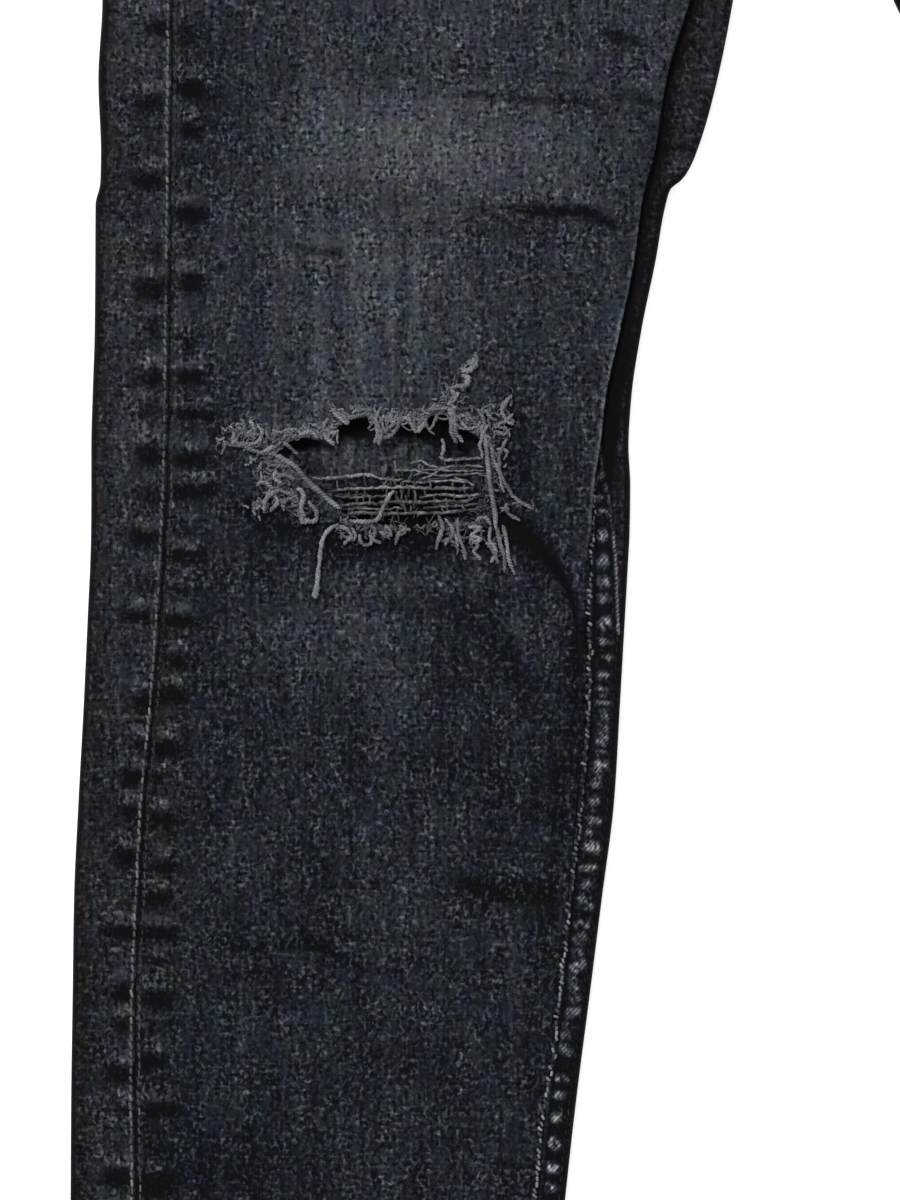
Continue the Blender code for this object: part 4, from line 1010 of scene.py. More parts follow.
def grid_area(p):
    """Area of a grid of points in square metres, from millimetres."""
    a, b, c, d = p[:-1, :-1], p[:-1, 1:], p[1:, 1:], p[1:, :-1]
    return float((np.linalg.norm(np.cross(b - a, c - a), axis=2)
                  + np.linalg.norm(np.cross(c - a, d - a), axis=2)).sum()) / 2e6


def cloth(name, mid, uv, attrs, mats, flip=False, mirror=False, out=CLOTH / 2, inn=CLOTH / 2,
          keep=None, sharp=55, inner_attrs=None):
    """A closed wall of cloth round a grid of mid-wall points.  flip is for a grid whose
    outer face is on the other side."""
    rows, cols = mid.shape[:2]
    n = grid_normals(mid, flip)
    out = np.broadcast_to(np.asarray(out, float), (rows, cols))[..., None]
    inn = np.broadcast_to(np.asarray(inn, float), (rows, cols))[..., None]
    outer, inner = mid + n * out, mid - n * inn
    outer[..., 2] = np.maximum(outer[..., 2], 0.0)
    inner[..., 2] = np.maximum(inner[..., 2], 0.0)
    keep = np.ones((rows - 1, cols - 1), bool) if keep is None else keep
    i = np.arange(rows * cols).reshape(rows, cols)
    far = rows * cols
    a, b, c, d = i[:-1, :-1][keep], i[:-1, 1:][keep], i[1:, 1:][keep], i[1:, :-1][keep]
    top = np.stack([a, d, c, b], 1)
    under = np.stack([a, b, c, d], 1) + far
    pad = np.zeros((rows + 1, cols + 1), bool)
    pad[1:-1, 1:-1] = keep
    rims = []
    above, below = pad[:-1, 1:-1], pad[1:, 1:-1]          # faces over and under each row edge
    l, r = i[:, :-1], i[:, 1:]
    for mask, p, q in ((below & ~above, l, r), (above & ~below, r, l)):
        p, q = p[mask], q[mask]
        rims.append(np.stack([p, q, q + far, p + far], 1))
    before, after = pad[1:-1, :-1], pad[1:-1, 1:]
    t, u = i[:-1, :], i[1:, :]
    for mask, p, q in ((after & ~before, u, t), (before & ~after, t, u)):
        p, q = p[mask], q[mask]
        rims.append(np.stack([p, q, q + far, p + far], 1))
    rim = np.concatenate(rims)
    faces = np.concatenate([top, under, rim])
    index = np.concatenate([np.zeros(len(top)), np.ones(len(under)), np.zeros(len(rim))])
    if flip != mirror:
        faces = faces[:, ::-1]
    used, faces_new = np.unique(faces, return_inverse=True)
    faces_new = faces_new.reshape(faces.shape)
    verts = metres(np.concatenate([outer.reshape(-1, 3), inner.reshape(-1, 3)]), mirror)[used]
    uvs = np.concatenate([uv.reshape(-1, 2)] * 2)[used] / 100.0
    inner_attrs = inner_attrs or attrs
    values = {}
    for k in ATTRS:
        both = [np.broadcast_to(np.asarray(s.get(k, 0.0), float), (rows, cols)).reshape(-1)
                for s in (attrs, inner_attrs)]
        values[k] = np.concatenate(both)[used]
    obj = mesh_object(name, verts, faces_new, mats, uvs, values, index, sharp)
    return obj


def place_on(obj, node):
    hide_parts(node)
    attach(obj, "root")
    return obj


# ---------------------------------------------------------------- thread and yarn


class Bundle:
    """Many small tubes in one mesh."""

    def __init__(self):
        self.v, self.f, self.g, self.n = [], [], [], 0

    def stitches(self, points, along, up, length, radius, grey, slant=0.0, rich=True):
        """One stitch at each point.  length, radius, grey and slant may be arrays."""
        points, along, up = (np.asarray(q, float).reshape(-1, 3) for q in (points, along, up))
        count = len(points)
        if not count:
            return
        length, radius, grey, slant = (np.broadcast_to(np.asarray(q, float), (count,))
                                       for q in (length, radius, grey, slant))
        along = along - up * (along * up).sum(1, keepdims=True)
        along /= np.linalg.norm(along, axis=1, keepdims=True)
        side = np.cross(up, along)
        c, s = np.cos(np.radians(slant))[:, None], np.sin(np.radians(slant))[:, None]
        along, side = along * c + side * s, side * c - along * s
        if rich:
            stations = ((-1.0, 0.30, -0.55), (-0.86, 0.78, -0.22), (-0.45, 1.0, 0.05),
                        (0.0, 0.94, 0.10), (0.45, 1.0, 0.05), (0.86, 0.78, -0.22),
                        (1.0, 0.30, -0.55))
            sides = 6
        else:
            stations = ((-1.0, 0.45, -0.5), (-0.6, 1.0, 0.0), (0.6, 1.0, 0.0),
                        (1.0, 0.45, -0.5))
            sides = 5
        ang = np.arange(sides) * 2 * math.pi / sides
        rings = []
        for t, r, h in stations:
            centre = points + along * (t * length / 2)[:, None] + up * (h * radius)[:, None]
            ring = (centre[:, None, :]
                    + side[:, None, :] * (np.cos(ang)[None, :] * r * radius[:, None])[..., None]
                    + up[:, None, :] * (np.sin(ang)[None, :] * r * radius[:, None])[..., None])
            rings.append(ring)
        v = np.stack(rings, 1)                              # count, rings, sides, 3
        k = len(stations)
        per = k * sides
        base = np.arange(count)[:, None] * per
        quads = []
        for a in range(k - 1):
            for b in range(sides):
                b2 = (b + 1) % sides
                quads.append((a * sides + b, a * sides + b2,
                              (a + 1) * sides + b2, (a + 1) * sides + b))
        quads = np.array(quads)
        # end caps as triangles, in an array of their own
        caps = []
        for start, turn in ((0, 1), ((k - 1) * sides, -1)):
            ring = [start + b for b in range(sides)][::-turn]
            for b in range(1, sides - 1):
                caps.append((ring[0], ring[b], ring[b + 1]))
        caps = np.array(caps)
        self.f.append((base[:, :, None] + quads[None]).reshape(-1, 4) + self.n)
        self.f.append((base[:, :, None] + caps[None]).reshape(-1, 3) + self.n)
        self.v.append(v.reshape(-1, 3))
        self.g.append(np.repeat(grey, per))
        self.n += count * per

    def tube(self, path, radius, grey, sides=6):
        """One yarn along a way of points; radius and grey may be arrays."""
        path = np.asarray(path, float)
        m = len(path)
        radius = np.broadcast_to(np.asarray(radius, float), (m,))
        grey = np.broadcast_to(np.asarray(grey, float), (m,))
        tangent = np.gradient(path, axis=0)
        tangent /= np.maximum(np.linalg.norm(tangent, axis=1, keepdims=True), 1e-9)
        normal = np.empty_like(tangent)
        ref = np.array([0.0, 0.0, 1.0])
        if abs(tangent[0] @ ref) > 0.9:
            ref = np.array([1.0, 0.0, 0.0])
        for k in range(m):
            ref = ref - tangent[k] * (ref @ tangent[k])
            length = np.linalg.norm(ref)
            ref = ref / length if length > 1e-6 else np.array([0.0, 1.0, 0.0])
            normal[k] = ref
        side = np.cross(tangent, normal)
        ang = np.arange(sides) * 2 * math.pi / sides
        v = (path[:, None, :]
             + normal[:, None, :] * (np.cos(ang)[None] * radius[:, None])[..., None]
             + side[:, None, :] * (np.sin(ang)[None] * radius[:, None])[..., None])
        a = (np.arange(m - 1)[:, None] * sides + np.arange(sides)[None]).reshape(-1)
        b = (np.arange(m - 1)[:, None] * sides
             + (np.arange(sides)[None] + 1) % sides).reshape(-1)
        self.f.append(np.stack([a, b, b + sides, a + sides], 1) + self.n)
        caps = []
        for start, turn in ((0, -1), ((m - 1) * sides, 1)):
            ring = [start + q for q in range(sides)][::turn]
            caps += [(ring[0], ring[q], ring[q + 1]) for q in range(1, sides - 1)]
        self.f.append(np.array(caps) + self.n)
        self.v.append(v.reshape(-1, 3))
        self.g.append(np.repeat(grey, sides))
        self.n += m * sides

    def yarn(self, path, radius, grey, plies=2, pitch=2.3, phase=0.0, sides=5):
        """Plies twisted round one another along a way of points."""
        path = np.asarray(path, float)
        m = len(path)
        radius = np.broadcast_to(np.asarray(radius, float), (m,))
        grey = np.broadcast_to(np.asarray(grey, float), (m,))
        tangent = np.gradient(path, axis=0)
        tangent /= np.maximum(np.linalg.norm(tangent, axis=1, keepdims=True), 1e-9)
        side = np.cross(tangent, (0.0, 0.0, 1.0))
        side /= np.maximum(np.linalg.norm(side, axis=1, keepdims=True), 1e-6)
        up = np.cross(side, tangent)
        s = np.concatenate([[0], np.cumsum(np.linalg.norm(np.diff(path, axis=0), axis=1))])
        for k in range(plies):
            a = phase + 2 * math.pi * (s / pitch + k / plies)
            off = (side * (np.cos(a) * radius * 0.50)[:, None]
                   + up * (np.sin(a) * radius * 0.50)[:, None])
            shade = 1.0 + 0.10 * np.sin(a) + (0.05 if k else -0.05)
            self.tube(path + off, radius * 0.60, grey * shade, sides)

    def build(self, name, mat, mirror=False):
        verts = metres(np.concatenate(self.v), mirror)
        verts[:, 2] = np.maximum(verts[:, 2], 0.00002)
        faces = [f for f in self.f if f.shape[1] == 4] + [f for f in self.f if f.shape[1] == 3]
        if mirror:
            faces = [f[:, ::-1] for f in faces]
        quads = np.concatenate([f for f in faces if f.shape[1] == 4])
        tris = np.concatenate([f for f in faces if f.shape[1] == 3])
        return mesh_object(name, verts, [quads, tris], [mat],
                           attrs={"grey": np.concatenate(self.g)}, sharp=70)


# ---------------------------------------------------------------- materials


class Net:
    """A material's nodes, made by small functions."""

    def __init__(self, name):
        self.mat = bpy.data.materials.new(name)
        self.mat.use_nodes = True
        self.tree = self.mat.node_tree
        self.tree.nodes.clear()

    def node(self, kind, **props):
        n = self.tree.nodes.new(kind)
        for k, v in props.items():
            setattr(n, k, v)
        return n

    def put(self, socket, value):
        if value is None:
            return
        if hasattr(value, "links"):
            self.tree.links.new(value, socket)
        else:
            socket.default_value = value

    def math(self, op, a, b=None, c=None, clamp=False):
        n = self.node("ShaderNodeMath", operation=op, use_clamp=clamp)
        for k, v in enumerate((a, b, c)):
            self.put(n.inputs[k], v)
        return n.outputs[0]

    def add(self, a, b):
        return self.math("ADD", a, b)

    def mul(self, a, b):
        return self.math("MULTIPLY", a, b)

    def attr(self, name):
        return self.node("ShaderNodeAttribute", attribute_name=name).outputs["Fac"]

    def mapped(self, vector, scale, turn=0.0, shift=(0, 0, 0)):
        n = self.node("ShaderNodeMapping")
        self.put(n.inputs["Vector"], vector)
        n.inputs["Scale"].default_value = scale
        n.inputs["Rotation"].default_value = (0, 0, turn)
        n.inputs["Location"].default_value = shift
        return n.outputs[0]

    def noise(self, vector, scale, detail=2.0, rough=0.5, distort=0.0, dims="3D"):
        n = self.node("ShaderNodeTexNoise", noise_dimensions=dims)
        self.put(n.inputs["Vector"], vector)
        n.inputs["Scale"].default_value = scale
        n.inputs["Detail"].default_value = detail
        n.inputs["Roughness"].default_value = rough
        n.inputs["Distortion"].default_value = distort
        return n.outputs["Fac"]

    def centred(self, value, gain):
        """value, which is about 0.5, as a signed amount."""
        return self.mul(self.add(value, -0.5), gain)

    def surface(self, colour, roughness, height=None, distance=0.0002, strength=1.0,
                specular=0.2, metallic=0.0, sheen=0.0):
        p = self.node("ShaderNodeBsdfPrincipled")
        self.put(p.inputs["Base Color"], colour)
        self.put(p.inputs["Roughness"], roughness)
        p.inputs["Metallic"].default_value = metallic
        p.inputs["Specular IOR Level"].default_value = specular
        if sheen:
            p.inputs["Sheen Weight"].default_value = sheen
            p.inputs["Sheen Roughness"].default_value = 0.6
        if height is not None:
            b = self.node("ShaderNodeBump")
            b.inputs["Strength"].default_value = strength
            b.inputs["Distance"].default_value = distance
            self.put(b.inputs["Height"], height)
            self.put(p.inputs["Normal"], b.outputs[0])
        o = self.node("ShaderNodeOutputMaterial")
        self.tree.links.new(p.outputs[0], o.inputs[0])
        return self.mat

    def rgb(self, r, g, b):
        n = self.node("ShaderNodeCombineColor")
        for k, v in enumerate((r, g, b)):
            self.put(n.inputs[k], v)
        return n.outputs[0]


def tinted(n, value, red, green, blue):
    """A colour whose three channels are value and a shift each, as an even-stepped grey,
    turned into light."""
    out = []
    for shift in (red, green, blue):
        v = n.math("MAXIMUM", n.add(value, shift), 0.012)
        out.append(n.math("POWER", v, 2.2))
    return n.rgb(*out)


def denim(name, face=True):
    n = Net(name)
    uv = n.node("ShaderNodeUVMap", uv_map="cloth").outputs[0]
    mm = n.mapped(uv, (100.0, 100.0, 100.0))
    grey, blue = n.attr("grey"), n.attr("blue")
    grain, twill, rose = n.attr("grain"), n.attr("twill"), n.attr("rose")

    # soft unevenness, pale crumbs and dark pinholes of the weave, and slubs along the warp
    soft = n.noise(n.mapped(mm, (0.40, 0.30, 1.0)), 1.0, 1.0, 0.5, 0.4)
    crumb = n.noise(n.mapped(mm, (0.80, 0.54, 1.0), 0.0, (12.0, 44.0, 6.0)), 1.0, 0.3, 0.5, 0.25)
    cross = n.noise(n.mapped(mm, (0.42, 0.86, 1.0), 0.0, (51.0, 14.0, 5.0)), 1.0, 0.3, 0.5, 0.2)
    pin = n.noise(n.mapped(mm, (0.74, 0.64, 1.0), 0.0, (31.0, 7.0, 3.0)), 1.0, 0.3, 0.5, 0.3)
    slub = n.noise(n.mapped(mm, (0.66, 0.17, 1.0), 0.02, (5.0, 50.0, 9.0)), 1.0, 0.5, 0.5, 0.2)
    streak = n.noise(n.mapped(mm, (0.085, 0.016, 1.0), 0.01, (9.0, 20.0, 2.0)), 1.0, 1.0, 0.5)
    patch = n.noise(n.mapped(mm, (0.055, 0.05, 1.0), 0.0, (17.0, 3.0, 1.0)), 1.0, 2.0, 0.6)
    warps = n.noise(n.mapped(mm, (0.32, 0.018, 1.0), 0.0, (2.0, 70.0, 3.0)), 1.0, 1.0, 0.5)
    wefts = n.noise(n.mapped(mm, (0.016, 0.30, 1.0), 0.0, (81.0, 5.0, 7.0)), 1.0, 1.0, 0.5)
    long = n.add(n.centred(warps, 0.12), n.centred(wefts, 0.05))
    busy = n.noise(n.mapped(mm, (0.16, 0.085, 1.0), 0.0, (77.0, 33.0, 8.0)), 1.0, 1.0, 0.5)
    busy = n.math("MAXIMUM", n.add(n.centred(busy, 2.5), 0.93), 0.40)

    pale = n.math("MINIMUM", n.math("MAXIMUM", n.add(crumb, -0.53), 0.0), 0.155)
    pale = n.add(pale, n.mul(n.math("MINIMUM", n.math("MAXIMUM", n.add(cross, -0.55), 0.0), 0.14),
                             0.75))
    dark = n.math("MINIMUM", n.math("MAXIMUM", n.add(n.mul(pin, -1.0), 0.47), 0.0), 0.15)
    pale_gain = n.add(n.mul(grey, -1.0), 0.905)
    dark_gain = n.add(n.mul(grey, 1.6), 0.42)
    dots = n.add(n.mul(pale, pale_gain), n.mul(n.mul(dark, dark_gain), -1.0))
    dots = n.add(dots, n.centred(slub, 0.19))
    amount = n.mul(n.mul(dots, busy), grain) if face else n.mul(n.mul(dots, 0.5), grain)
    value = n.add(grey, -0.023)
    value = n.add(value, amount)
    value = n.add(value, n.mul(n.add(n.add(n.centred(patch, 0.045), n.centred(streak, 0.075)),
                                     n.add(n.centred(soft, 0.07), long)), grain))

    # twill lines rise to the right
    warp = n.centred(n.noise(n.mapped(mm, (0.5, 0.5, 1.0)), 1.0, 1.0, 0.5), 0.9)
    sep = n.node("ShaderNodeSeparateXYZ")
    n.put(sep.inputs[0], mm)
    phase = n.add(n.add(n.mul(sep.outputs[0], 1 / 1.45), n.mul(sep.outputs[1], -1 / 1.70)), warp)
    wave = n.math("SINE", n.mul(phase, 2 * math.pi))
    value = n.add(value, n.mul(n.mul(wave, twill), 0.115))

    # dye that drifts between brown, green and blue
    hue_a = n.centred(n.noise(n.mapped(mm, (0.095, 0.075, 1.0), 0.0, (3.0, 90.0, 4.0)), 1.0, 1.5,
                              0.5), 0.046)
    hue_b = n.centred(n.noise(n.mapped(mm, (0.105, 0.085, 1.0), 0.0, (60.0, 20.0, 8.0)), 1.0, 1.5,
                              0.5), 0.058)
    red = n.add(n.add(n.add(n.mul(blue, -0.018), 0.003), n.mul(hue_a, 0.65)),
                n.mul(rose, 0.008))
    green = n.add(n.add(n.add(n.mul(blue, 0.001), -0.001), n.add(hue_b, n.mul(hue_a, 0.2))),
                  n.mul(rose, -0.009))
    bluish = n.add(n.add(n.add(n.mul(blue, 0.026), -0.003), n.mul(hue_a, -1.15)),
                   n.mul(rose, 0.003))
    # single reddish crumbs where the brown shows
    spot = n.math("MAXIMUM", n.add(n.noise(n.mapped(mm, (0.5, 0.42, 1.0), 0.0,
                  (8.0, 61.0, 3.0)), 1.0, 0.5, 0.5, 0.4), -0.60), 0.0)
    red = n.add(red, n.mul(n.mul(spot, rose), 0.5))
    colour = tinted(n, value, red, green, bluish)
    height = n.add(n.add(n.mul(crumb, 0.6), n.mul(pin, 0.6)), n.mul(n.mul(wave, twill), 0.30))
    return n.surface(colour, 0.93, height, 0.0004 if face else 0.0002, 0.7, specular=0.12,
                     sheen=0.03)


def thread(name, tint, gain=1.0, spread=0.05):
    """Twisted thread and yarn; grey is set by each strand."""
    n = Net(name)
    where = n.node("ShaderNodeTexCoord").outputs["Object"]
    grey = n.attr("grey")
    a = n.noise(n.mapped(where, (1000.0, 1000.0, 1000.0)), 1.3, 2.0, 0.6)
    b = n.noise(n.mapped(where, (1000.0, 1000.0, 1000.0), 0.0, (4.0, 9.0, 2.0)), 4.0, 1.0, 0.5)
    value = n.add(n.mul(grey, gain), n.add(n.centred(a, spread * 3.0), n.centred(b, spread)))
    colour = tinted(n, value, *tint)
    return n.surface(colour, 0.9, n.add(a, b), 0.00012, 0.6, specular=0.15)


def metal(name):
    n = Net(name)
    where = n.node("ShaderNodeTexCoord").outputs["Object"]
    wear = n.noise(n.mapped(where, (1000.0, 1000.0, 1000.0)), 0.6, 4.0, 0.6)
    shade = n.add(n.mul(wear, 0.35), 0.22)
    colour = tinted(n, shade, 0.035, 0.0, -0.045)
    rough = n.add(n.mul(wear, 0.35), 0.22)
    return n.surface(colour, rough, wear, 0.00008, 0.4, specular=0.5, metallic=1.0)


DENIM = denim("denim_face")
INSIDE = denim("denim_inside", face=False)
THREAD = thread("topstitch", (-0.012, 0.0, 0.012), 1.0, 0.05)
YARN = thread("frayed_yarn", (-0.012, 0.0, 0.014), 1.0, 0.06)
METAL = metal("aged_brass")
CLOTH_MATS = (DENIM, INSIDE)


# ---------------------------------------------------------------- the four leg panels
INNER_GREY = 0.205
TONE = 1.0 / 255.0
FINE = 1.0


def steps(*runs):
    """Falling heights from runs of (from, to, pitch)."""
    out = []
    for a, b, pitch in runs:
        count = max(1, round(abs(a - b) / pitch))
        out += [a + (b - a) * k / count for k in range(count)]
    out.append(runs[-1][1])
    return np.array(out)


def front_rows(leg):
    arc = np.radians(np.linspace(0.0, 90.0, 20))
    top = list(WAIST - POCKET_DEEP * np.sin(arc))[:-1]
    if leg.mirror:
        rest = steps((149.0, -10.0, 4.6), (-10.0, -757.0, 4.6), (-757.0, -780.0, 1.6))
    else:
        rest = steps((149.0, -118.0, 5.0), (-118.0, -296.0, 1.72 * FINE),
                     (-296.0, -352.0, 1.28 * FINE), (-352.0, -584.0, 1.72 * FINE),
                     (-584.0, -757.0, 5.0), (-757.0, -780.0, 1.6))
    return np.array(top + list(rest))


def fractions(lengths, total):
    pos = np.concatenate([[0.0], np.cumsum(lengths)])
    return pos / pos[-1]


def base_grey(x, y, leg):
    """Overall wear of a front panel, as a 0 to 255 grey."""
    thigh = 46.5 + 3.0 * ease((y + 40.0) / -60.0) * ease((y + 320.0) / 60.0)
    calf = 35.5
    g = calf + (thigh - calf) * ease((y + 352.0) / 62.0)
    hip = ease((y - 20.0) / 120.0)
    g = g - 7.0 * hip - 2.5 * ease((-480.0 - y) / 60.0)
    # worn light down the middle of the thigh, above and below what the table lists
    if leg.mirror:
        g = g + 15.0 * spot(x, y, -146.0, -190.0, 58.0, 170.0)
        g = g + 10.0 * spot(x, y, -160.0, -330.0, 44.0, 60.0)
        g = g - 7.0 * spot(x, y, -216.0, -240.0, 16.0, 200.0)
    else:
        g = g + 14.0 * spot(x, y, -140.0, -70.0, 52.0, 90.0)
    g = g + 3.5 * field(x, y, 38.0, leg.seed + 21) * ease((np.abs(y + 368.0) - 210.0) / 30.0)
    g = g + 9.0 * spot(x, y, -180.0, -779.0, 90.0, 2.0) + 5.0 * spot(x, y, -180.0, -760.0, 90.0, 2.2)
    return g


def front_panel(leg, node):
    ys = front_rows(leg)
    if leg.mirror:
        across = fractions([1.0, 1.4, 1.8, 2.2] + [4.4] * 35 + [2.0, 1.4], None)
    else:
        mid = [1.62 * FINE] * int(round(87 / FINE))
        across = fractions([0.32, 0.40, 0.55, 0.75, 0.9, 1.0, 1.1, 1.2, 1.25, 1.3, 1.35, 1.45]
                           + mid + [1.4, 1.2, 1.0, 0.8], None)
    y = ys[:, None]
    w = leg.tucked(y)
    edge, tuck = leg.at("front_edge", y), leg.at("tuck", y)
    stop = w * (edge - CLOTH / 2 - TUCK_RADIUS) + (1 - w) * (
        edge - SEAM / 2 * np.where(y < 0, 1.0, 0.0) - 3.5)
    f = np.clip((WAIST - y) / POCKET_DEEP, 0, 1)
    start = leg.at("outseam", y) + SEAM / 2 + np.where(
        y > WAIST - POCKET_DEEP, POCKET_WIDE * np.sqrt(np.maximum(0.0, 1 - f * f)), 0.0)
    x = start + across[None] * (stop - start)
    yy = np.broadcast_to(y, x.shape)
    skin, tone = leg.skin(x, yy, "front")
    z = leg.front_base(x, yy) + skin
    # the folded edge and what runs back under it
    top = z[:, -1:]
    ang = np.radians(90.0 - 30.0 * np.arange(1, 7))[None]
    fx = stop + TUCK_RADIUS * np.cos(ang)
    fz = top - TUCK_RADIUS + TUCK_RADIUS * np.sin(ang)
    end = np.minimum(stop - 0.4, edge - tuck)
    run = np.array([0.25, 0.5, 0.75, 1.0])[None]
    fx = np.concatenate([fx, stop + (end - stop) * run], 1)
    fz = np.concatenate([fz, np.broadcast_to(top - 2 * TUCK_RADIUS, (len(ys), 4))], 1)
    px = stop + 3.5 * (np.arange(1, 11) / 10.0)[None]
    py = np.broadcast_to(y, px.shape)
    pz = leg.front_base(px, py) + leg.skin(px, py, "front")[0]
    # the centre seam: the left leg's edge runs on under the right one's
    run = (np.arange(1, 11) / 10.0)[None]
    under = ease((y - 1.0) / 5.0)
    if leg.mirror:
        px = px + under * 1.5 * ease((run - 0.55) / 0.45)
        pz = pz - under * (CLOTH + 0.16) * ease((run - 0.30) / 0.45)
    else:
        px = px + under * 0.14 * ease((run - 0.6) / 0.4)
        pz = pz - under * 0.12 * ease((run - 0.7) / 0.3)
    bx, bz = w * fx + (1 - w) * px, w * fz + (1 - w) * pz
    x, z = np.concatenate([x, bx], 1), np.concatenate([z, bz], 1)
    yy = np.broadcast_to(y, x.shape)
    shown = yy + leg.bend(x, yy, "front")
    hem = ease((HEM_TOP + 1.5 - yy) / 1.5)
    z = z + 0.12 * hem - 0.25 * line_spot(yy, HEM_TOP + 1.2, 0.9)

    u = np.concatenate([np.zeros((len(ys), 1)), np.cumsum(np.hypot(
        np.diff(x, axis=1), np.diff(z, axis=1)), axis=1)], 1) + start
    grey = base_grey(x, yy, leg)
    if not leg.mirror:
        for cx, cy, a, b, step in TONE_FRONT + RIP_TONE:
            grey = grey + step * spot(x, yy, cx, cy, a, b)
        for cx, cy, a, b, turn, power, step in BANDS_RIGHT:
            grey = grey + step * spot(x, yy, cx, cy, a, b, turn, power)
    tone = np.concatenate([tone, np.broadcast_to(tone[:, -1:] * 0.3, (len(ys), 10))], 1)
    grey = grey + tone
    # the fold's edge: a thin light line below the thigh, plain above it, partly wear and partly a painted
    # highlight on the rounded edge
    cols = across.size
    worn = ease((-205.0 - y) / 40.0) * w if not leg.mirror else 0.7 * w
    worn = worn * (1.0 + 0.55 * (not leg.mirror) * line_spot(y, -311.0, 10.0))
    k = np.arange(x.shape[1])[None]
    line = (np.isin(k, (cols, cols + 1)) * 1.0 + np.isin(k, (cols + 2,)) * 0.8
            + np.isin(k, (cols - 1,)) * 0.30)
    jitter = 0.75 + 0.35 * field(yy * 0 + k * 3.0, yy, 3.0, leg.seed + 31)
    grey = grey + worn * line * (54.0 if not leg.mirror else 26.0) * jitter * (
        0.55 + 0.45 * ease((-205.0 - yy) / 90.0))
    # soft dark band of painted shade beside the inseam, lower down
    beside = edge - x
    grey = grey - 6.0 * ease((-352.0 - yy) / 40.0) * line_spot(beside, 4.5, 3.0) * (
        ease((yy + 560.0) / 60.0))
    # worn edges of the hem and of the pocket's opening
    grey = grey + 12.0 * ease((yy - 150.0) / 10.0) * line_spot(u - start, 0.2, 0.8)
    # painted shade: the cloth that runs back under the fold is darkened
    under = np.where(k > cols + 4, 1.0, 0.0)
    grey = np.where(under > 0, grey * 0.7, grey)
    blue = 1.0 - 0.4 * ease((x + 225.0 - 12.0) / -12.0)
    if not leg.mirror:
        blue = blue - 0.32 * spot(x, yy, -130.0, -224.0, 42.0, 30.0) + 0.36 * spot(
            x, yy, -222.0, -545.0, 22.0, 44.0)
    # worn ridges show more of the pale crumbs, hollows stay smooth
    grain = np.clip(1.0 + 0.016 * tone, 0.45, 1.45)
    if not leg.mirror:
        grain = grain * (1.0 - 0.4 * valley(x, yy, leg.valleys[0][2])[0])
    twill = np.full_like(x, 0.03)

    keep = None
    if not leg.mirror:
        x, shown, z, grey, keep = rip(x, shown, z, grey)
    mid = np.stack([x, shown, z], 2)
    attrs = {"grey": np.maximum(grey, 8.0) * TONE, "blue": blue, "grain": grain, "twill": twill}
    inside = {"grey": np.full_like(x, INNER_GREY), "blue": 0.6, "grain": 1.0, "twill": 0.6}
    obj = cloth(node + "_cloth", mid, np.stack([u + 640.0 * leg.mirror, yy], 2), attrs, CLOTH_MATS,
                mirror=leg.mirror, inn=CLOTH / 2 + HEM_TURN * hem, keep=keep,
                inner_attrs=inside)
    area = grid_area(mid) if keep is None else grid_area(mid) - hole_area()
    wide = float(np.abs(u[:, -1:] - u[:, :1]).max()) / 1000
    return place_on(obj, node), (wide, (WAIST + 780.0) / 1000), area


def back_profile(leg, ys, cols_a, cols_c, cols_e, whole=True):
    """Points, part numbers and heights of the back panel's sections at each y."""
    y = ys[:, None]
    r = leg.at("roll_out", y)
    bx = leg.at("fold_out", y) + CLOTH / 2 + r
    bz = leg.at("lift", y) + CLOTH / 2 + r
    start = leg.at("outseam", y) - SEAM / 2
    ax = start + cols_a[None] * (bx - start)
    ay = np.broadcast_to(y, ax.shape)
    az_skin, a_tone = leg.skin(ax, ay, "back")
    fade = ease((ax - bx) / 4.0)
    az = leg.front_base(ax, ay) + az_skin * fade
    z_out = bz + r
    az = az + (z_out - az) * (1 - fade)
    ang = np.radians(np.array([108, 126, 144, 162, 180, 200, 222, 246, 270.0]))[None]
    ox, oz = bx + r * np.cos(ang), bz + r * np.sin(ang)
    floor = leg.at("lift", y) + CLOTH / 2
    ri = leg.at("roll_in", y)
    fold = np.clip(-y / 10.0, 0, 1) if whole else np.zeros_like(y)
    ex_f = leg.at("fold_in", y) - CLOTH / 2 - ri
    ex_p = -SEAM / 2 - 5.0
    ex = fold * ex_f + (1 - fold) * ex_p
    cx = bx + cols_c[None] * (ex - bx)
    cz = np.broadcast_to(floor, cx.shape)
    ang = np.radians(np.linspace(-90.0, 90.0, 9)[1:])[None]
    dx, dz = ex_f + ri * np.cos(ang), floor + ri + ri * np.sin(ang)
    edge, tuck = leg.at("front_edge", y), leg.at("tuck", y)
    end = edge - tuck + np.where(tuck < 1.5, SEAM / 2, 0.0)
    e = cols_e[None]
    # shorter steps near the fold where the felled seam shows
    exx = ex_f + (end - ex_f) * e
    ey = np.broadcast_to(y, exx.shape)
    skin, e_tone = leg.strip_skin(exx, ey)
    near = ease((leg.at("fold_in", y) - exx - 0.9) / 1.2)
    ez = floor + 2 * ri + skin * near
    px = ex_p + (-SEAM / 2 - ex_p) * (np.arange(1, 9 + cols_e.size) / (8.0 + cols_e.size))[None]
    de_x = fold * np.concatenate([dx, exx], 1) + (1 - fold) * px
    de_z = fold * np.concatenate([dz, ez], 1) + (1 - fold) * floor
    x = np.concatenate([ax, ox, cx, de_x], 1)
    z = np.concatenate([az, oz, cz, de_z], 1)
    yy = np.broadcast_to(y, x.shape)
    na, no, nc = cols_a.size, 9, cols_c.size
    upper = np.arange(x.shape[1]) < na + 4
    bend = np.where(upper[None], leg.bend(x, yy, "front"), leg.bend(x, yy, "back"))
    return x, yy, z, bend, (na, no, nc), a_tone, e_tone


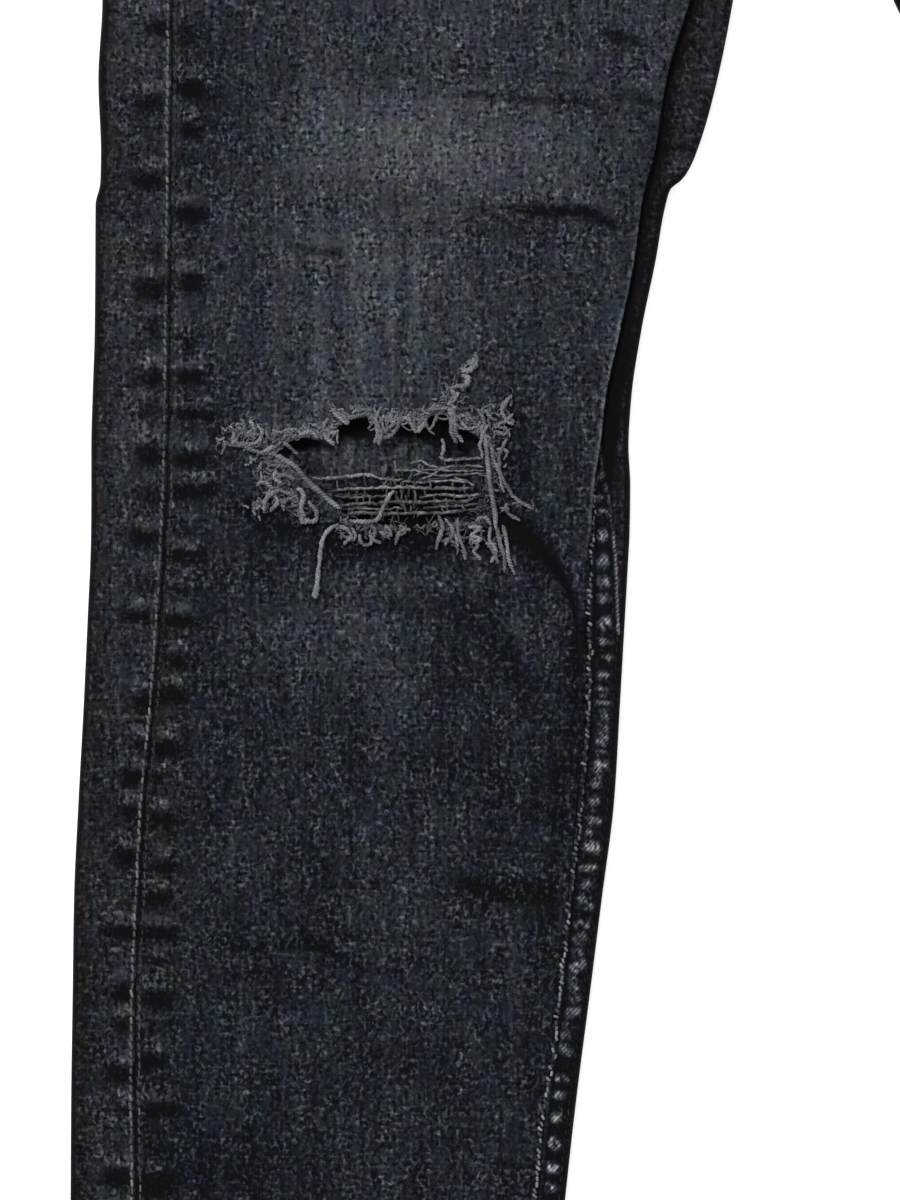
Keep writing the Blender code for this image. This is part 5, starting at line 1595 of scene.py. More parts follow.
def side_grey(x, y, leg):
    """Wear of the back panel's strip beside the outseam."""
    g = 44.5 - 6.0 * ease((-280.0 - y) / 60.0) + 4.0 * line_spot(y, -322.0, 34.0)
    g = g - 2.5 * ease((-440.0 - y) / 80.0)
    g = g + 4.0 * ease((y + 260.0) / 100.0) * spot(x, y, -238.0, -175.0, 14.0, 40.0)
    return g


def back_panel(leg, node, high=YOKE, low=-780.0, whole=True):
    if not whole:
        ys = steps((WAIST, YOKE, 2.4))
        fine = False
    elif leg.mirror:
        ys = steps((YOKE, 0.0, 5.0), (0.0, -10.0, 2.5), (-10.0, -300.0, 4.6),
                   (-300.0, -757.0, 3.0), (-757.0, -780.0, 1.6))
        fine = False
    else:
        ys = steps((YOKE, 0.0, 6.0), (0.0, -10.0, 2.5), (-10.0, -118.0, 5.0),
                   (-118.0, -584.0, 1.22 * FINE), (-584.0, -757.0, 3.6),
                   (-757.0, -780.0, 1.6))
        fine = True
    if fine:
        a = fractions([0.32, 0.40, 0.55, 0.75, 0.9, 1.0, 1.1, 1.2] + [1.32] * 13 + [1.0], None)
        c = np.array([0.09, 0.2, 0.31] + list(np.linspace(0.36, 0.66, 12)) + [0.76, 0.88, 1.0])
        e = np.concatenate([[0.035, 0.075], np.linspace(0.12, 1.0, 21)])
    else:
        a = fractions([1.0, 1.4, 2.2] + [3.6] * 6 + [1.4], None)
        c = np.linspace(0.08, 1.0, 12)
        e = np.linspace(0.06, 1.0, 12)
    x, yy, z, bend, (na, no, nc), a_tone, e_tone = back_profile(leg, ys, a, c, e, whole)
    shift = np.zeros_like(yy)
    if whole:
        shift[0] = -SEAM / 2
    else:
        shift[-1] = SEAM / 2
    hem = ease((HEM_TOP + 1.5 - yy) / 1.5) if whole else np.zeros_like(yy)
    u = np.concatenate([np.zeros((len(ys), 1)), np.cumsum(np.hypot(
        np.diff(x, axis=1), np.diff(z, axis=1)), axis=1)], 1)
    wide = float(u[:, -1].max()) / 1000
    u = leg.at("outseam", ys)[:, None] - u
    # grey by part: side strip, fold, underside, inner fold, strip beside the inseam; wear, with painted shade
    # on the folds' rolls, beside the front panel's folded edge and under it
    grey = np.full_like(x, 40.0) + 3.0 * field(u, yy, 30.0, leg.seed + 41)
    cols = np.arange(x.shape[1])[None]
    side = side_grey(x, yy, leg)
    strip = x - leg.at("fold_out", yy)
    plain = 1.0 - ease((strip - 4.5) / 2.5)
    side = side - 5.0 * plain
    side[:, :na] += a_tone * (1 - 0.8 * plain[:, :na])
    grey = np.where(cols < na, side, grey)
    # painted shade on the outer fold's roll, and a darker column where the roll begins
    rim = np.isin(cols, np.arange(na, na + 6))
    grey = np.where(rim, 17.0, grey)
    grey[:, na - 1] = 30.0
    first = na + no + nc
    d = x - leg.at("front_edge", yy)
    if whole:
        vis = leg.at("fold_in", yy) - leg.at("front_edge", yy)
        brownish = ease((yy + 226.0) / 14.0)
        deep = ease((-262.0 - yy) / 24.0)
        # painted shadow of the front panel's folded edge on the strip, darkest beside the edge
        shade = (brownish * (12.0 + 27.0 * ease((d - 1.6) / 5.2))
                 + (1.0 - brownish) * (1.0 - deep) * (10.0 + 19.0 * ease((d - 1.6) / 4.0))
                 + deep * (3.0 + 25.0 * ease((d - 4.3) / 2.9)))
        on = leg.strip_on(yy) * ease((leg.strip_edge(yy) + 0.3 - x) / 0.5)
        shade = np.where(yy < -318.0, shade * (1 - on) + on * 17.0, shade)
        shade[:, first + 8:] += e_tone
        if not leg.mirror:
            for cx, cy, sa, sb, turn, step in STRIP_TONE:
                shade = shade + step * spot(x, yy, cx, cy, sa, sb, turn)
        else:
            shade = shade + 8.0
        folded = np.clip(-yy / 10.0, 0, 1)
        grey = np.where(cols >= first + 4, folded * shade + (1 - folded) * grey, grey)
        # painted shade on the inner fold's roll, and on the cloth hidden under the front panel
        tucked = folded > 0.5
        grey = np.where((cols >= first + 3) & (cols < first + 8) & tucked,
                        np.minimum(grey, 15.0 + 14.0 * brownish), grey)
        hidden = (cols >= first + 8) & (d < -0.8) & tucked
        grey = np.where(hidden, 14.0, grey)
    blue = np.where(cols < na, 0.78 - 0.48 * plain, 0.8)
    if whole:
        on = leg.strip_on(yy) * ease((leg.strip_edge(yy) + 0.3 - x) / 0.5)
        blue = np.where(cols >= first + 4, 0.52 + 0.23 * on, blue)
        rose = np.where(cols >= first + 3, (0.42 + 0.30 * line_spot(yy, -262.0, 34.0)) * (1.0 - on),
                        0.0)
        u = np.where(cols >= first + 5, x + 350.0, u)
    grain = np.where(cols < na, 1.0 - 0.25 * plain, 0.8)
    grain[:, :na] *= np.clip(1.0 + 0.016 * a_tone, 0.45, 1.45)
    twill = np.full_like(x, 0.03)
    if not whole:
        rose = 0.0
    if whole:
        far = (cols >= first + 4)
        # the speckle fades where the painted shadow is deep
        grain = np.where(far, (0.62 + 0.1 * on + 0.2 * brownish)
                         * (0.25 + 0.75 * ease((grey - 6.0) / 20.0)), grain)
        twill = np.where(far, 0.03 + 1.0 * on * ease((grey - 36.0) / 50.0), twill)
    grain = np.where(rim, 0.3, grain)
    inner_grey = np.full_like(x, INNER_GREY)
    # painted shadow on the cloth seen through the hole, under its top edge and under the threads; the speckle
    # fades with it
    if whole and not leg.mirror:
        for cx, cy, sa, sb, step in BEHIND_TONE:
            inner_grey = inner_grey + step * TONE * spot(x, yy, cx, cy, sa, sb, power=2.6)
    mid = np.stack([x, yy + bend + shift, z], 2)
    attrs = {"grey": np.maximum(grey, 4.0) * TONE, "blue": blue, "grain": grain, "twill": twill,
             "rose": rose}
    seen = ease((inner_grey - 0.02) / 0.15)
    inside = {"grey": np.maximum(inner_grey, 0.02), "blue": 0.8, "grain": 0.1 + 1.6 * seen,
              "twill": 0.10 * seen}
    obj = cloth(node + "_cloth", mid, np.stack([u + 640.0 * leg.mirror, yy], 2), attrs, CLOTH_MATS, flip=True,
                mirror=leg.mirror, inn=CLOTH / 2 + HEM_TURN * hem, inner_attrs=inside)
    length = (YOKE + 780.0) / 1000 if whole else (WAIST - YOKE) / 1000
    length = float(np.abs(mid[0, :, 1] - mid[-1, :, 1]).max()) / 1000
    return place_on(obj, node), (wide, length), grid_area(mid)


# Darker and lighter places round the rip, of the strip beside the inseam and of the cloth behind the rip:
# wear, with painted shadow under the rip's edges, along a crease of the strip and on the cloth seen through
# the hole.
RIP_TONE = (
    (-174.5, -340.0, 9.5, 3.0, -24.0),
    (-136.0, -345.0, 6.5, 6.0, -28.0),
    (-101.5, -341.0, 7.0, 4.6, -14.0),
    (-160.0, -349.5, 10.0, 2.4, -14.0),
    (-207.5, -309.0, 4.0, 2.6, -20.0),
    (-103.0, -318.0, 4.5, 12.0, -9.0),
    (-184.5, -323.5, 9.0, 8.0, 20.0),
    (-190.0, -318.0, 8.0, 3.0, 10.0),
    (-118.0, -346.0, 14.0, 3.4, -16.0),
    (-160.0, -345.0, 26.0, 3.4, -9.0),
    (-109.0, -303.0, 9.0, 13.0, -9.0),
    (-194.0, -336.0, 10.0, 5.0, -13.0),
    (-222.0, -361.0, 9.0, 9.0, 6.0),
    (-165.0, -298.0, 14.0, 3.0, 9.0),
    (-113.0, -294.0, 8.0, 7.0, 8.0),
    (-178.0, -304.0, 8.0, 2.6, 8.0),
    (-163.0, -346.5, 9.0, 4.0, -6.0),
    (-143.0, -347.0, 14.0, 5.0, -6.0),
    (-121.0, -347.0, 8.0, 6.0, -8.0),
    (-192.0, -333.5, 8.0, 4.0, -8.0),
    (-108.0, -305.0, 7.0, 8.0, -7.0),
    (-82.5, -423.0, 5.0, 15.0, 6.0),
    (-125.0, -346.5, 6.0, 5.0, -5.0),
    (-209.5, -303.6, 6.5, 1.8, -10.0),
    (-191.8, -336.5, 9.0, 3.2, -7.0),
    (-101.5, -305.0, 9.0, 6.0, -5.0),
    (-164.5, -347.5, 7.0, 5.0, -7.0),
    (-206.5, -347.0, 7.0, 7.0, 6.0),
    (-94.0, -570.0, 7.0, 8.0, -5.0),
)
STRIP_TONE = (
    (-37.5, -181.0, 5.5, 5.0, 20.0, 5.0),
    (-46.5, -209.2, 9.0, 1.3, 5.0, -24.0),
    (-40.0, -176.0, 6.0, 14.0, -14.0, -4.0),
    (-47.5, -216.0, 5.5, 4.2, 20.0, 8.0),
    (-49.5, -165.0, 3.0, 8.0, 0.0, -10.0),
    (-35.5, -196.0, 6.0, 6.0, 10.0, 4.0),
    (-31.0, -172.0, 4.0, 8.0, -12.0, 6.0),
)
BEHIND_TONE = (
    (-179.0, -312.5, 9.5, 3.2, -56.0),
    (-158.5, -307.0, 8.0, 5.0, -60.0),
    (-139.5, -307.0, 8.0, 3.8, -60.0),
    (-130.0, -305.6, 6.5, 5.4, -56.0),
    (-119.8, -312.4, 10.0, 6.8, -64.0),
    (-150.0, -302.0, 40.0, 4.2, -60.0),
    (-136.0, -331.0, 24.0, 9.0, -30.0),
    (-158.0, -333.5, 12.0, 6.0, -24.0),
    (-150.0, -341.5, 30.0, 4.4, -46.0),
    (-114.0, -325.0, 3.0, 14.0, -26.0),
    (-176.0, -320.5, 5.4, 4.4, -28.0),
    (-164.0, -319.0, 9.0, 7.0, 12.0),
    (-123.0, -335.0, 6.0, 6.0, -12.0),
)


# ---------------------------------------------------------------- the rip


def rip_outline():
    """The hole's edge as a closed ring of points, slightly ragged."""
    top = [(RIP_X + u, RIP_Y + a) for u, a, b in RIP]
    low = [(RIP_X + u, RIP_Y + b) for u, a, b in reversed(RIP)]
    ring = np.array(top + low)
    ring = np.vstack([ring, ring[:1]])
    seg = np.hypot(*np.diff(ring, axis=0).T)
    s = np.concatenate([[0], np.cumsum(seg)])
    t = np.linspace(0, s[-1], 260, endpoint=False)
    p = np.stack([np.interp(t, s, ring[:, 0]), np.interp(t, s, ring[:, 1])], 1)
    for _ in range(2):
        p = (np.roll(p, 1, 0) + 2 * p + np.roll(p, -1, 0)) / 4
    ragged = 0.42 * field(t, t * 0, 2.1, 77) + 0.35 * field(t, t * 0, 5.3, 78)
    d = np.roll(p, -1, 0) - np.roll(p, 1, 0)
    n = np.stack([-d[:, 1], d[:, 0]], 1) / np.hypot(*d.T)[:, None]
    return p + n * ragged[:, None]


RING = rip_outline()


def hole_area():
    a, b = RING, np.roll(RING, -1, 0)
    return abs(float(np.sum(a[:, 0] * b[:, 1] - b[:, 0] * a[:, 1]))) / 2e6


def in_ring(x, y):
    inside = np.zeros(x.shape, bool)
    a, b = RING, np.roll(RING, -1, 0)
    for (x0, y0), (x1, y1) in zip(a, b):
        cross = (y0 > y) != (y1 > y)
        with np.errstate(divide="ignore", invalid="ignore"):
            at = (x1 - x0) * (y - y0) / (y1 - y0) + x0
        inside ^= cross & (x < at)
    return inside


def to_ring(x, y):
    """Distance to the hole's edge and the nearest point on it."""
    shape = x.shape
    p = np.stack([x.reshape(-1), y.reshape(-1)], 1)
    a, b = RING, np.roll(RING, -1, 0)
    best = np.full(len(p), 1e9)
    near = np.zeros_like(p)
    for p0, p1 in zip(a, b):
        v = p1 - p0
        t = np.clip(((p - p0) @ v) / max(v @ v, 1e-9), 0, 1)
        q = p0 + t[:, None] * v
        d = np.hypot(*(p - q).T)
        m = d < best
        best[m], near[m] = d[m], q[m]
    return best.reshape(shape), near.reshape(shape + (2,))


def rip(x, y, z, grey):
    """Cuts the hole into the front panel's grid, and lifts, frays and tones its edge."""
    zone = (np.abs(x - RIP_X) < 60.0) & (np.abs(y - RIP_Y) < 40.0)
    r = np.where(zone.any(1))[0]
    c = np.where(zone.any(0))[0]
    rs, cs = slice(r[0], r[-1] + 1), slice(c[0], c[-1] + 1)
    xs, ys = x[rs, cs], y[rs, cs]
    inside = in_ring(xs, ys)
    dist, near = to_ring(xs, ys)
    full = np.zeros(x.shape, bool)
    full[rs, cs] = inside
    count = (full[:-1, :-1].astype(int) + full[:-1, 1:] + full[1:, 1:] + full[1:, :-1])
    keep = count < 2
    # points of kept cells that lie inside, and points outside close to the edge, move onto it
    kept = np.zeros(x.shape, bool)
    gone = np.zeros(x.shape, bool)
    for dr in (0, 1):
        for dc in (0, 1):
            kept[dr:x.shape[0] - 1 + dr, dc:x.shape[1] - 1 + dc] |= keep
            gone[dr:x.shape[0] - 1 + dr, dc:x.shape[1] - 1 + dc] |= ~keep
    border = (kept & gone)[rs, cs]
    x, y, z, grey = x.copy(), y.copy(), z.copy(), grey.copy()
    nx, ny = xs.copy(), ys.copy()
    nx[border], ny[border] = near[..., 0][border], near[..., 1][border]
    x[rs, cs], y[rs, cs] = nx, ny
    d = np.where(inside, 0.0, dist)
    above = ease((ys - RIP_Y + 2.0) / 8.0)
    lift = np.exp(-(d / 2.4) ** 2)
    curl = 0.9 + 0.5 * field(xs, ys, 6.0, 91)
    z[rs, cs] += lift * (0.75 * above + 0.30 * (1 - above)) * curl
    z[rs, cs] += 0.25 * np.exp(-(d / 7.0) ** 2) * field(xs, ys, 4.0, 92)
    pale = np.exp(-(d / 1.3) ** 2) * (26.0 + 14.0 * field(xs, ys, 1.6, 93))
    pale = pale + above * np.exp(-(d / 3.6) ** 2) * (14.0 + 26.0 * field(xs, ys, 2.0, 94))
    grey[rs, cs] += pale
    # shadowed dip under the lower edge and under the flap at its left
    low = np.exp(-((ys - (RIP_Y - 22.5)) / 2.6) ** 2) * ease((xs + 172.0) / 6.0) * ease(
        (-104.0 - xs) / 6.0)
    grey[rs, cs] -= 9.0 * low
    z[rs, cs] -= 0.25 * low
    return x, y, z, grey, keep


# ---------------------------------------------------------------- waistband, fly, pockets


def waistband():
    fold_r = (BAND_FRONT - BAND_BACK) / 2
    fold_x = BAND_FOLD - BAND_THICK / 2 - fold_r
    path = [(20.0, BAND_FRONT, 0), (6.0, BAND_FRONT, 0), (-10.0, BAND_FRONT, 0),
            (-175.0, BAND_FRONT, 0)]
    for k in range(9):
        a = math.radians(90.0 + 22.5 * k)
        path.append((-fold_x + fold_r * math.cos(a), BAND_BACK + fold_r + fold_r * math.sin(a),
                     0 if k < 4 else 1))
    path += [(-160.0, BAND_BACK, 1), (160.0, BAND_BACK, 1)]
    for k in range(9):
        a = math.radians(-90.0 + 22.5 * k)
        path.append((fold_x + fold_r * math.cos(a), BAND_BACK + fold_r + fold_r * math.sin(a),
                     1 if k < 5 else 0))
    path += [(175.0, BAND_FRONT, 0), (58.0, BAND_FRONT, 0), (46.0, BAND_FRONT + 0.5, 0),
             (34.0, BAND_LAP - 0.5, 0), (25.0, BAND_LAP, 0), (8.0, BAND_LAP, 0),
             (-8.0, BAND_LAP, 0)]
    pts = [path[0]]
    for p in path[1:]:
        q = pts[-1]
        gap = math.hypot(p[0] - q[0], p[1] - q[1])
        n = max(1, int(gap / 4.5))
        for k in range(1, n + 1):
            f = k / n
            pts.append((q[0] + (p[0] - q[0]) * f, q[1] + (p[1] - q[1]) * f, p[2]))
    px, pz, ps = (np.array(v, float) for v in zip(*pts))
    high = np.array([0.0, 0.6, 2.0, 3.4, 4.4, 5.6, 9.0, 13.0, 17.0, 21.0, 25.0, 29.0, 32.4, 33.6,
                     34.6, 36.0, 37.4, 38.0])
    f = 1.0 - (px / BAND_FOLD) ** 2
    bottom = WAIST + SEAM + np.where(ps == 0, FRONT_DIP, BACK_RISE) * f
    x = np.broadcast_to(px, (high.size, px.size))
    y = bottom[None] + high[::-1, None]
    h = np.broadcast_to(high[::-1, None], x.shape)
    u = np.concatenate([[0], np.cumsum(np.hypot(np.diff(px), np.diff(pz)))])
    uu = np.broadcast_to(u, x.shape)
    z = np.broadcast_to(pz, x.shape)
    mid = np.stack([x, y, z], 2)
    n = grid_normals(mid, True)
    wave = 0.16 * field(uu, h, 26.0, 801) + 0.10 * field(uu, h, 7.0, 802)
    rows = -0.22 * (line_spot(h, 4.4, 0.8) + line_spot(h, 33.6, 0.8))
    pucker = 0.16 * field(uu, h * 0, 6.0, 803) * (line_spot(h, 2.4, 2.2) + line_spot(h, 35.6, 2.2))
    mid = mid + n * (np.where(ps == 0, 1.0, 0.5)[None] * (wave + rows + pucker))[..., None]
    grey = 43.0 + 4.0 * field(uu, h, 30.0, 804) + 3.0 * field(uu, h, 8.0, 805)
    grey = grey + 13.0 * (line_spot(h, 0.3, 0.9) + line_spot(h, 37.7, 0.9)) * (
        0.7 + 0.5 * field(uu, h * 0, 4.0, 806)) - 7.0 * (line_spot(h, 4.4, 0.9)
                                                          + line_spot(h, 33.6, 0.9))
    attrs = {"grey": grey * TONE, "blue": 0.9, "grain": 1.0, "twill": 0.35}
    obj = cloth("waistband_cloth", mid, np.stack([uu + 900.0, h], 2), attrs, CLOTH_MATS, flip=True,
                out=BAND_THICK / 2, inn=BAND_THICK / 2)
    place_on(obj, "waistband")
    return obj, (u[-1] / 1000, BAND_HIGH / 1000), grid_area(mid)


def fly():
    heights = (WAIST, 160.0, 112.0, 93.0, 80.0, 73.0)
    left = curve(heights[::-1], (-3.5, -4.0, -4.0, -4.0, -4.0, -4.0))
    right = curve(heights[::-1], (8.0, 20.0, 30.0, 35.5, 37.0, 37.0))
    ys = steps((WAIST, 112.0, 3.2), (112.0, 73.0, 1.5))
    t = np.concatenate([[0.0, 0.02, 0.06], np.linspace(0.12, 0.88, 14), [0.94, 0.98, 1.0]])
    y = ys[:, None]
    a, b = left(y), right(y)
    x = a + (b - a) * t[None]
    yy = np.broadcast_to(y, x.shape)
    low = 5.3 + CLOTH / 2 + STACK + 0.5
    z = low + 0.10 * field(x, yy, 14.0, 811) - 0.16 * line_spot(b - x, 3.4, 0.7) \
        - 0.16 * line_spot(b - x, 9.4, 0.7)
    z = np.broadcast_to(z, x.shape)
    shown = yy + FRONT_DIP * ease((yy - 100.0) / (WAIST - 100.0))
    grey = 44.0 + 5.0 * field(x, yy, 16.0, 812) + 14.0 * line_spot(x - a, 0.2, 1.0) \
        - 6.0 * (line_spot(b - x, 3.4, 0.9) + line_spot(b - x, 9.4, 0.9))
    mid = np.stack([x, shown, z], 2)
    attrs = {"grey": grey * TONE, "blue": 1.0, "grain": 1.0, "twill": 0.25}
    obj = cloth("fly_cloth", mid, np.stack([x + 500.0, yy], 2), attrs, CLOTH_MATS,
                out=0.5, inn=0.5)
    place_on(obj, "fly")
    return obj, (0.041, 0.151), grid_area(mid)


def facing(leg, node):
    ys = steps((WAIST, 141.0, 2.6))
    y = ys[:, None]
    a = leg.at("outseam", y) + SEAM / 2
    f = np.clip((WAIST - y) / (POCKET_DEEP + FACING_MARGIN), 0, 1)
    b = a + (POCKET_WIDE + FACING_MARGIN) * np.sqrt(np.maximum(0.0, 1 - f * f))
    b = np.maximum(b, a + 4.0)
    t = np.linspace(0, 1, 30)
    x = a + (b - a) * t[None]
    yy = np.broadcast_to(y, x.shape)
    z = leg.front_base(x, yy) - CLOTH - STACK
    shown = yy + leg.bend(x, yy, "front")
    grey = 38.0 + 3.0 * field(x, yy, 20.0, leg.seed + 51)
    mid = np.stack([x, shown, z], 2)
    attrs = {"grey": grey * TONE, "blue": 1.0, "grain": 1.0, "twill": 0.3}
    obj = cloth(node + "_cloth", mid, np.stack([x + 700.0 + 150.0 * leg.mirror, yy], 2), attrs, CLOTH_MATS,
                mirror=leg.mirror)
    place_on(obj, node)
    return obj, (0.112, 0.083), grid_area(mid)


def back_pocket(leg, node):
    cx = -92.0
    v = np.linspace(0, 1, 34)[:, None]
    t = np.linspace(0, 1, 40)[None]
    tl, tr = np.array([cx - 75.0, 158.0]), np.array([cx + 75.0, 150.0])
    bl, br = np.array([cx - 66.0, 34.0]), np.array([cx + 68.0, 28.0])
    point = np.array([cx + 2.0, 6.0])
    split = (point[0] - bl[0]) / (br[0] - bl[0])
    lowx = bl[0] + (br[0] - bl[0]) * t
    lowy = np.where(t < split, bl[1] + (point[1] - bl[1]) * t / split,
                    point[1] + (br[1] - point[1]) * (t - split) / (1 - split))
    topx, topy = tl[0] + (tr[0] - tl[0]) * t, tl[1] + (tr[1] - tl[1]) * t
    x = topx + (lowx - topx) * v
    y = topy + (lowy - topy) * v
    z = np.full_like(x, PATCH_THICK / 2)
    edge = np.minimum(np.minimum(t, 1 - t) * 142.0, (1 - v) * 130.0)
    grey = 40.0 + 5.0 * field(x, y, 22.0, leg.seed + 61) + 14.0 * line_spot(edge, 0.3, 1.0) \
        + 8.0 * line_spot(v * 130.0, 0.3, 1.2) - 7.0 * line_spot(edge, 3.0, 0.9)
    mid = np.stack([x, y, z], 2)
    attrs = {"grey": grey * TONE, "blue": 0.9, "grain": 1.0, "twill": 0.3}
    obj = cloth(node + "_cloth", mid, np.stack([x + 300.0 + 640.0 * leg.mirror, y], 2), attrs, (DENIM, INSIDE),
                flip=True, mirror=leg.mirror, out=PATCH_THICK / 2, inn=PATCH_THICK / 2)
    place_on(obj, node)
    return obj, (0.150, 0.152), grid_area(mid)


def band_bottom(x, side):
    f = 1.0 - (x / BAND_FOLD) ** 2
    return WAIST + SEAM + (FRONT_DIP if side == "front" else BACK_RISE) * f


LOOPS = ((-112.0, "front"), (112.0, "front"), (-128.0, "back"), (128.0, "back"), (0.0, "back"))


def belt_loop(n, cx, side):
    bottom = band_bottom(cx, side) - 6.0
    top = bottom + BAND_HIGH + 9.0
    low = BAND_FRONT + BAND_THICK / 2 + STACK if side == "front" else 0.0
    t = np.array([-1.0, -0.93, -0.8, -0.6, -0.35, -0.1, 0.1, 0.35, 0.6, 0.8, 0.93, 1.0])[None]
    y = np.concatenate([[top, top - 0.4, top - 1.0], np.linspace(top - 2.0, bottom + 2.0, 34),
                        [bottom + 1.0, bottom + 0.4, bottom]])[:, None]
    ends = np.minimum(top - y, y - bottom)
    x = cx + 5.5 * t * (1 - 0.06 * np.exp(-ends / 0.8))
    yy = np.broadcast_to(y, x.shape)
    z = low + PATCH_THICK / 2 + np.zeros_like(x)
    if side == "front":
        z = z + 0.10 * np.cos(t * 2.4) * ease(ends / 5.0) - 0.10 * line_spot(np.abs(t), 0.62, 0.12)
    else:
        z = z - 0.0
    grey = 45.0 + 6.0 * field(x, yy, 7.0, 820 + n) + 13.0 * line_spot(np.abs(t), 1.0, 0.12) \
        - 9.0 * line_spot(np.abs(t), 0.62, 0.12)
    mid = np.stack([x, yy, z], 2)
    attrs = {"grey": grey * TONE, "blue": 0.9, "grain": 1.0, "twill": 0.3}
    node = "belt_loop_%d" % n
    obj = cloth(node + "_cloth", mid, np.stack([x + 40.0 * n, yy], 2), attrs, (DENIM, DENIM),
                out=PATCH_THICK / 2, inn=PATCH_THICK / 2)
    place_on(obj, node)
    return obj, (0.011, (top - bottom) / 1000), grid_area(mid)


def button():
    bx, by = 6.0, float(band_bottom(6.0, "front")) + BAND_HIGH / 2
    base = BAND_LAP + BAND_THICK / 2 + SEAM
    # a pressed shank button: rolled rim, a ring of small dents, a domed middle
    profile = [(0.0, 0.0), (3.0, 0.0), (3.0, 0.75), (7.9, 0.85), (8.4, 1.05), (8.6, 1.4),
               (8.5, 1.8), (8.15, 2.2), (7.7, 2.5), (7.1, 2.68), (6.5, 2.62), (6.1, 2.42),
               (5.6, 2.26), (5.0, 2.22), (4.4, 2.28), (3.6, 2.4), (2.6, 2.52), (1.4, 2.6),
               (0.0, 2.62)]
    sides = 72
    r = np.array([p[0] for p in profile])[:, None]
    h = np.array([p[1] for p in profile])[:, None]
    a = (np.arange(sides) * 2 * math.pi / sides)[None]
    dent = 0.10 * np.exp(-((r - 5.2) / 0.7) ** 2) * (0.5 + 0.5 * np.cos(a * 18))
    x = r * np.cos(a)
    y = r * np.sin(a)
    z = h - np.where(h > 2.0, dent, 0.0)
    v = np.stack([bx + x, by + y, np.broadcast_to(base + z, x.shape)], 2)
    k = len(profile)
    verts = [v[0, 0] * 0 + np.array([bx, by, base])]
    body = v[1:-1].reshape(-1, 3)
    verts = np.vstack([verts[0][None], body, np.array([[bx, by, base + profile[-1][1]]])])
    i = 1 + np.arange((k - 2) * sides).reshape(k - 2, sides)
    j = np.roll(i, -1, 1)
    quads = np.stack([i[:-1], j[:-1], j[1:], i[1:]], 2).reshape(-1, 4)
    first = np.stack([np.zeros(sides, int), j[0], i[0]], 1)
    last = np.stack([np.full(sides, len(verts) - 1), i[-1], j[-1]], 1)
    obj = mesh_object("button_metal", metres(verts), [quads, first, last], [METAL], sharp=50)
    return place_on(obj, "button")


# ---------------------------------------------------------------- stitches


def top_point(leg, x, y, side):
    """Points on the visible upper surface, and its normals."""
    def height(a, b):
        return leg.front_base(a, b) + leg.skin(a, b, side)[0]
    z = height(x, y)
    e = 0.6
    gx = (height(x + e, y) - height(x - e, y)) / (2 * e)
    gy = (height(x, y + e) - height(x, y - e)) / (2 * e)
    n = np.stack([-gx, -gy, np.ones_like(x)], -1)
    n /= np.linalg.norm(n, axis=-1, keepdims=True)
    p = np.stack([x, y + leg.bend(x, y, "front"), z], -1) + n * CLOTH / 2
    return p, n


def strip_point(leg, x, y):
    def height(a, b):
        return (leg.at("lift", b) + CLOTH / 2 + 2 * leg.at("roll_in", b)
                + leg.strip_skin(a, b)[0])
    e = 0.4
    gx = (height(x + e, y) - height(x - e, y)) / (2 * e)
    n = np.stack([-gx, np.zeros_like(x), np.ones_like(x)], -1)
    n /= np.linalg.norm(n, axis=-1, keepdims=True)
    return np.stack([x, y, height(x, y)], -1) + n * CLOTH / 2, n


def row_of(bundle, leg, y0, y1, pitch, where, side, length, radius, grey, slant, rich, seed,
           spread=8.0):
    rng = np.random.default_rng(seed)
    n = int(abs(y1 - y0) / pitch)
    y = y0 + (y1 - y0) * (np.arange(n) + 0.5) / n + rng.uniform(-0.25, 0.25, n)
    x = where(y) + rng.normal(0, 0.06, n)
    point = (lambda a, b: top_point(leg, a, b, side)) if side != "strip" else (
        lambda a, b: strip_point(leg, a, b))
    p, nrm = point(x, y)
    q, _ = point(where(y - 1.0), y - 1.0)
    g = np.asarray(grey(y) if callable(grey) else grey, float) + rng.normal(0, spread, n)
    bundle.stitches(p + nrm * radius * 0.25, q - p, nrm, length * rng.uniform(0.85, 1.1, n),
                    radius * rng.uniform(0.88, 1.12, n), np.clip(g, 12, 150) * TONE,
                    slant + rng.normal(0, 4.0, n), rich)


def outline_row(bundle, pts, normal, pitch, length, radius, grey, seed, height=0.0):
    """Stitches along a line of points, all with one normal."""
    rng = np.random.default_rng(seed)
    pts = np.asarray(pts, float)
    s = np.concatenate([[0], np.cumsum(np.linalg.norm(np.diff(pts, axis=0), axis=1))])
    n = max(2, int(s[-1] / pitch))
    t = (np.arange(n) + 0.5) * s[-1] / n
    p = np.stack([np.interp(t, s, pts[:, k]) for k in range(3)], 1)
    q = np.stack([np.interp(np.minimum(t + 0.6, s[-1]), s, pts[:, k]) for k in range(3)], 1)
    w = np.stack([np.interp(np.maximum(t - 0.6, 0), s, pts[:, k]) for k in range(3)], 1)
    up = np.broadcast_to(np.asarray(normal, float), p.shape)
    p = p + up * (height + radius * 0.25)
    bundle.stitches(p, q - w, up, length * rng.uniform(0.88, 1.08, n),
                    np.full(n, radius), np.clip(grey + rng.normal(0, 7, n), 12, 150) * TONE,
                    8.0, False)


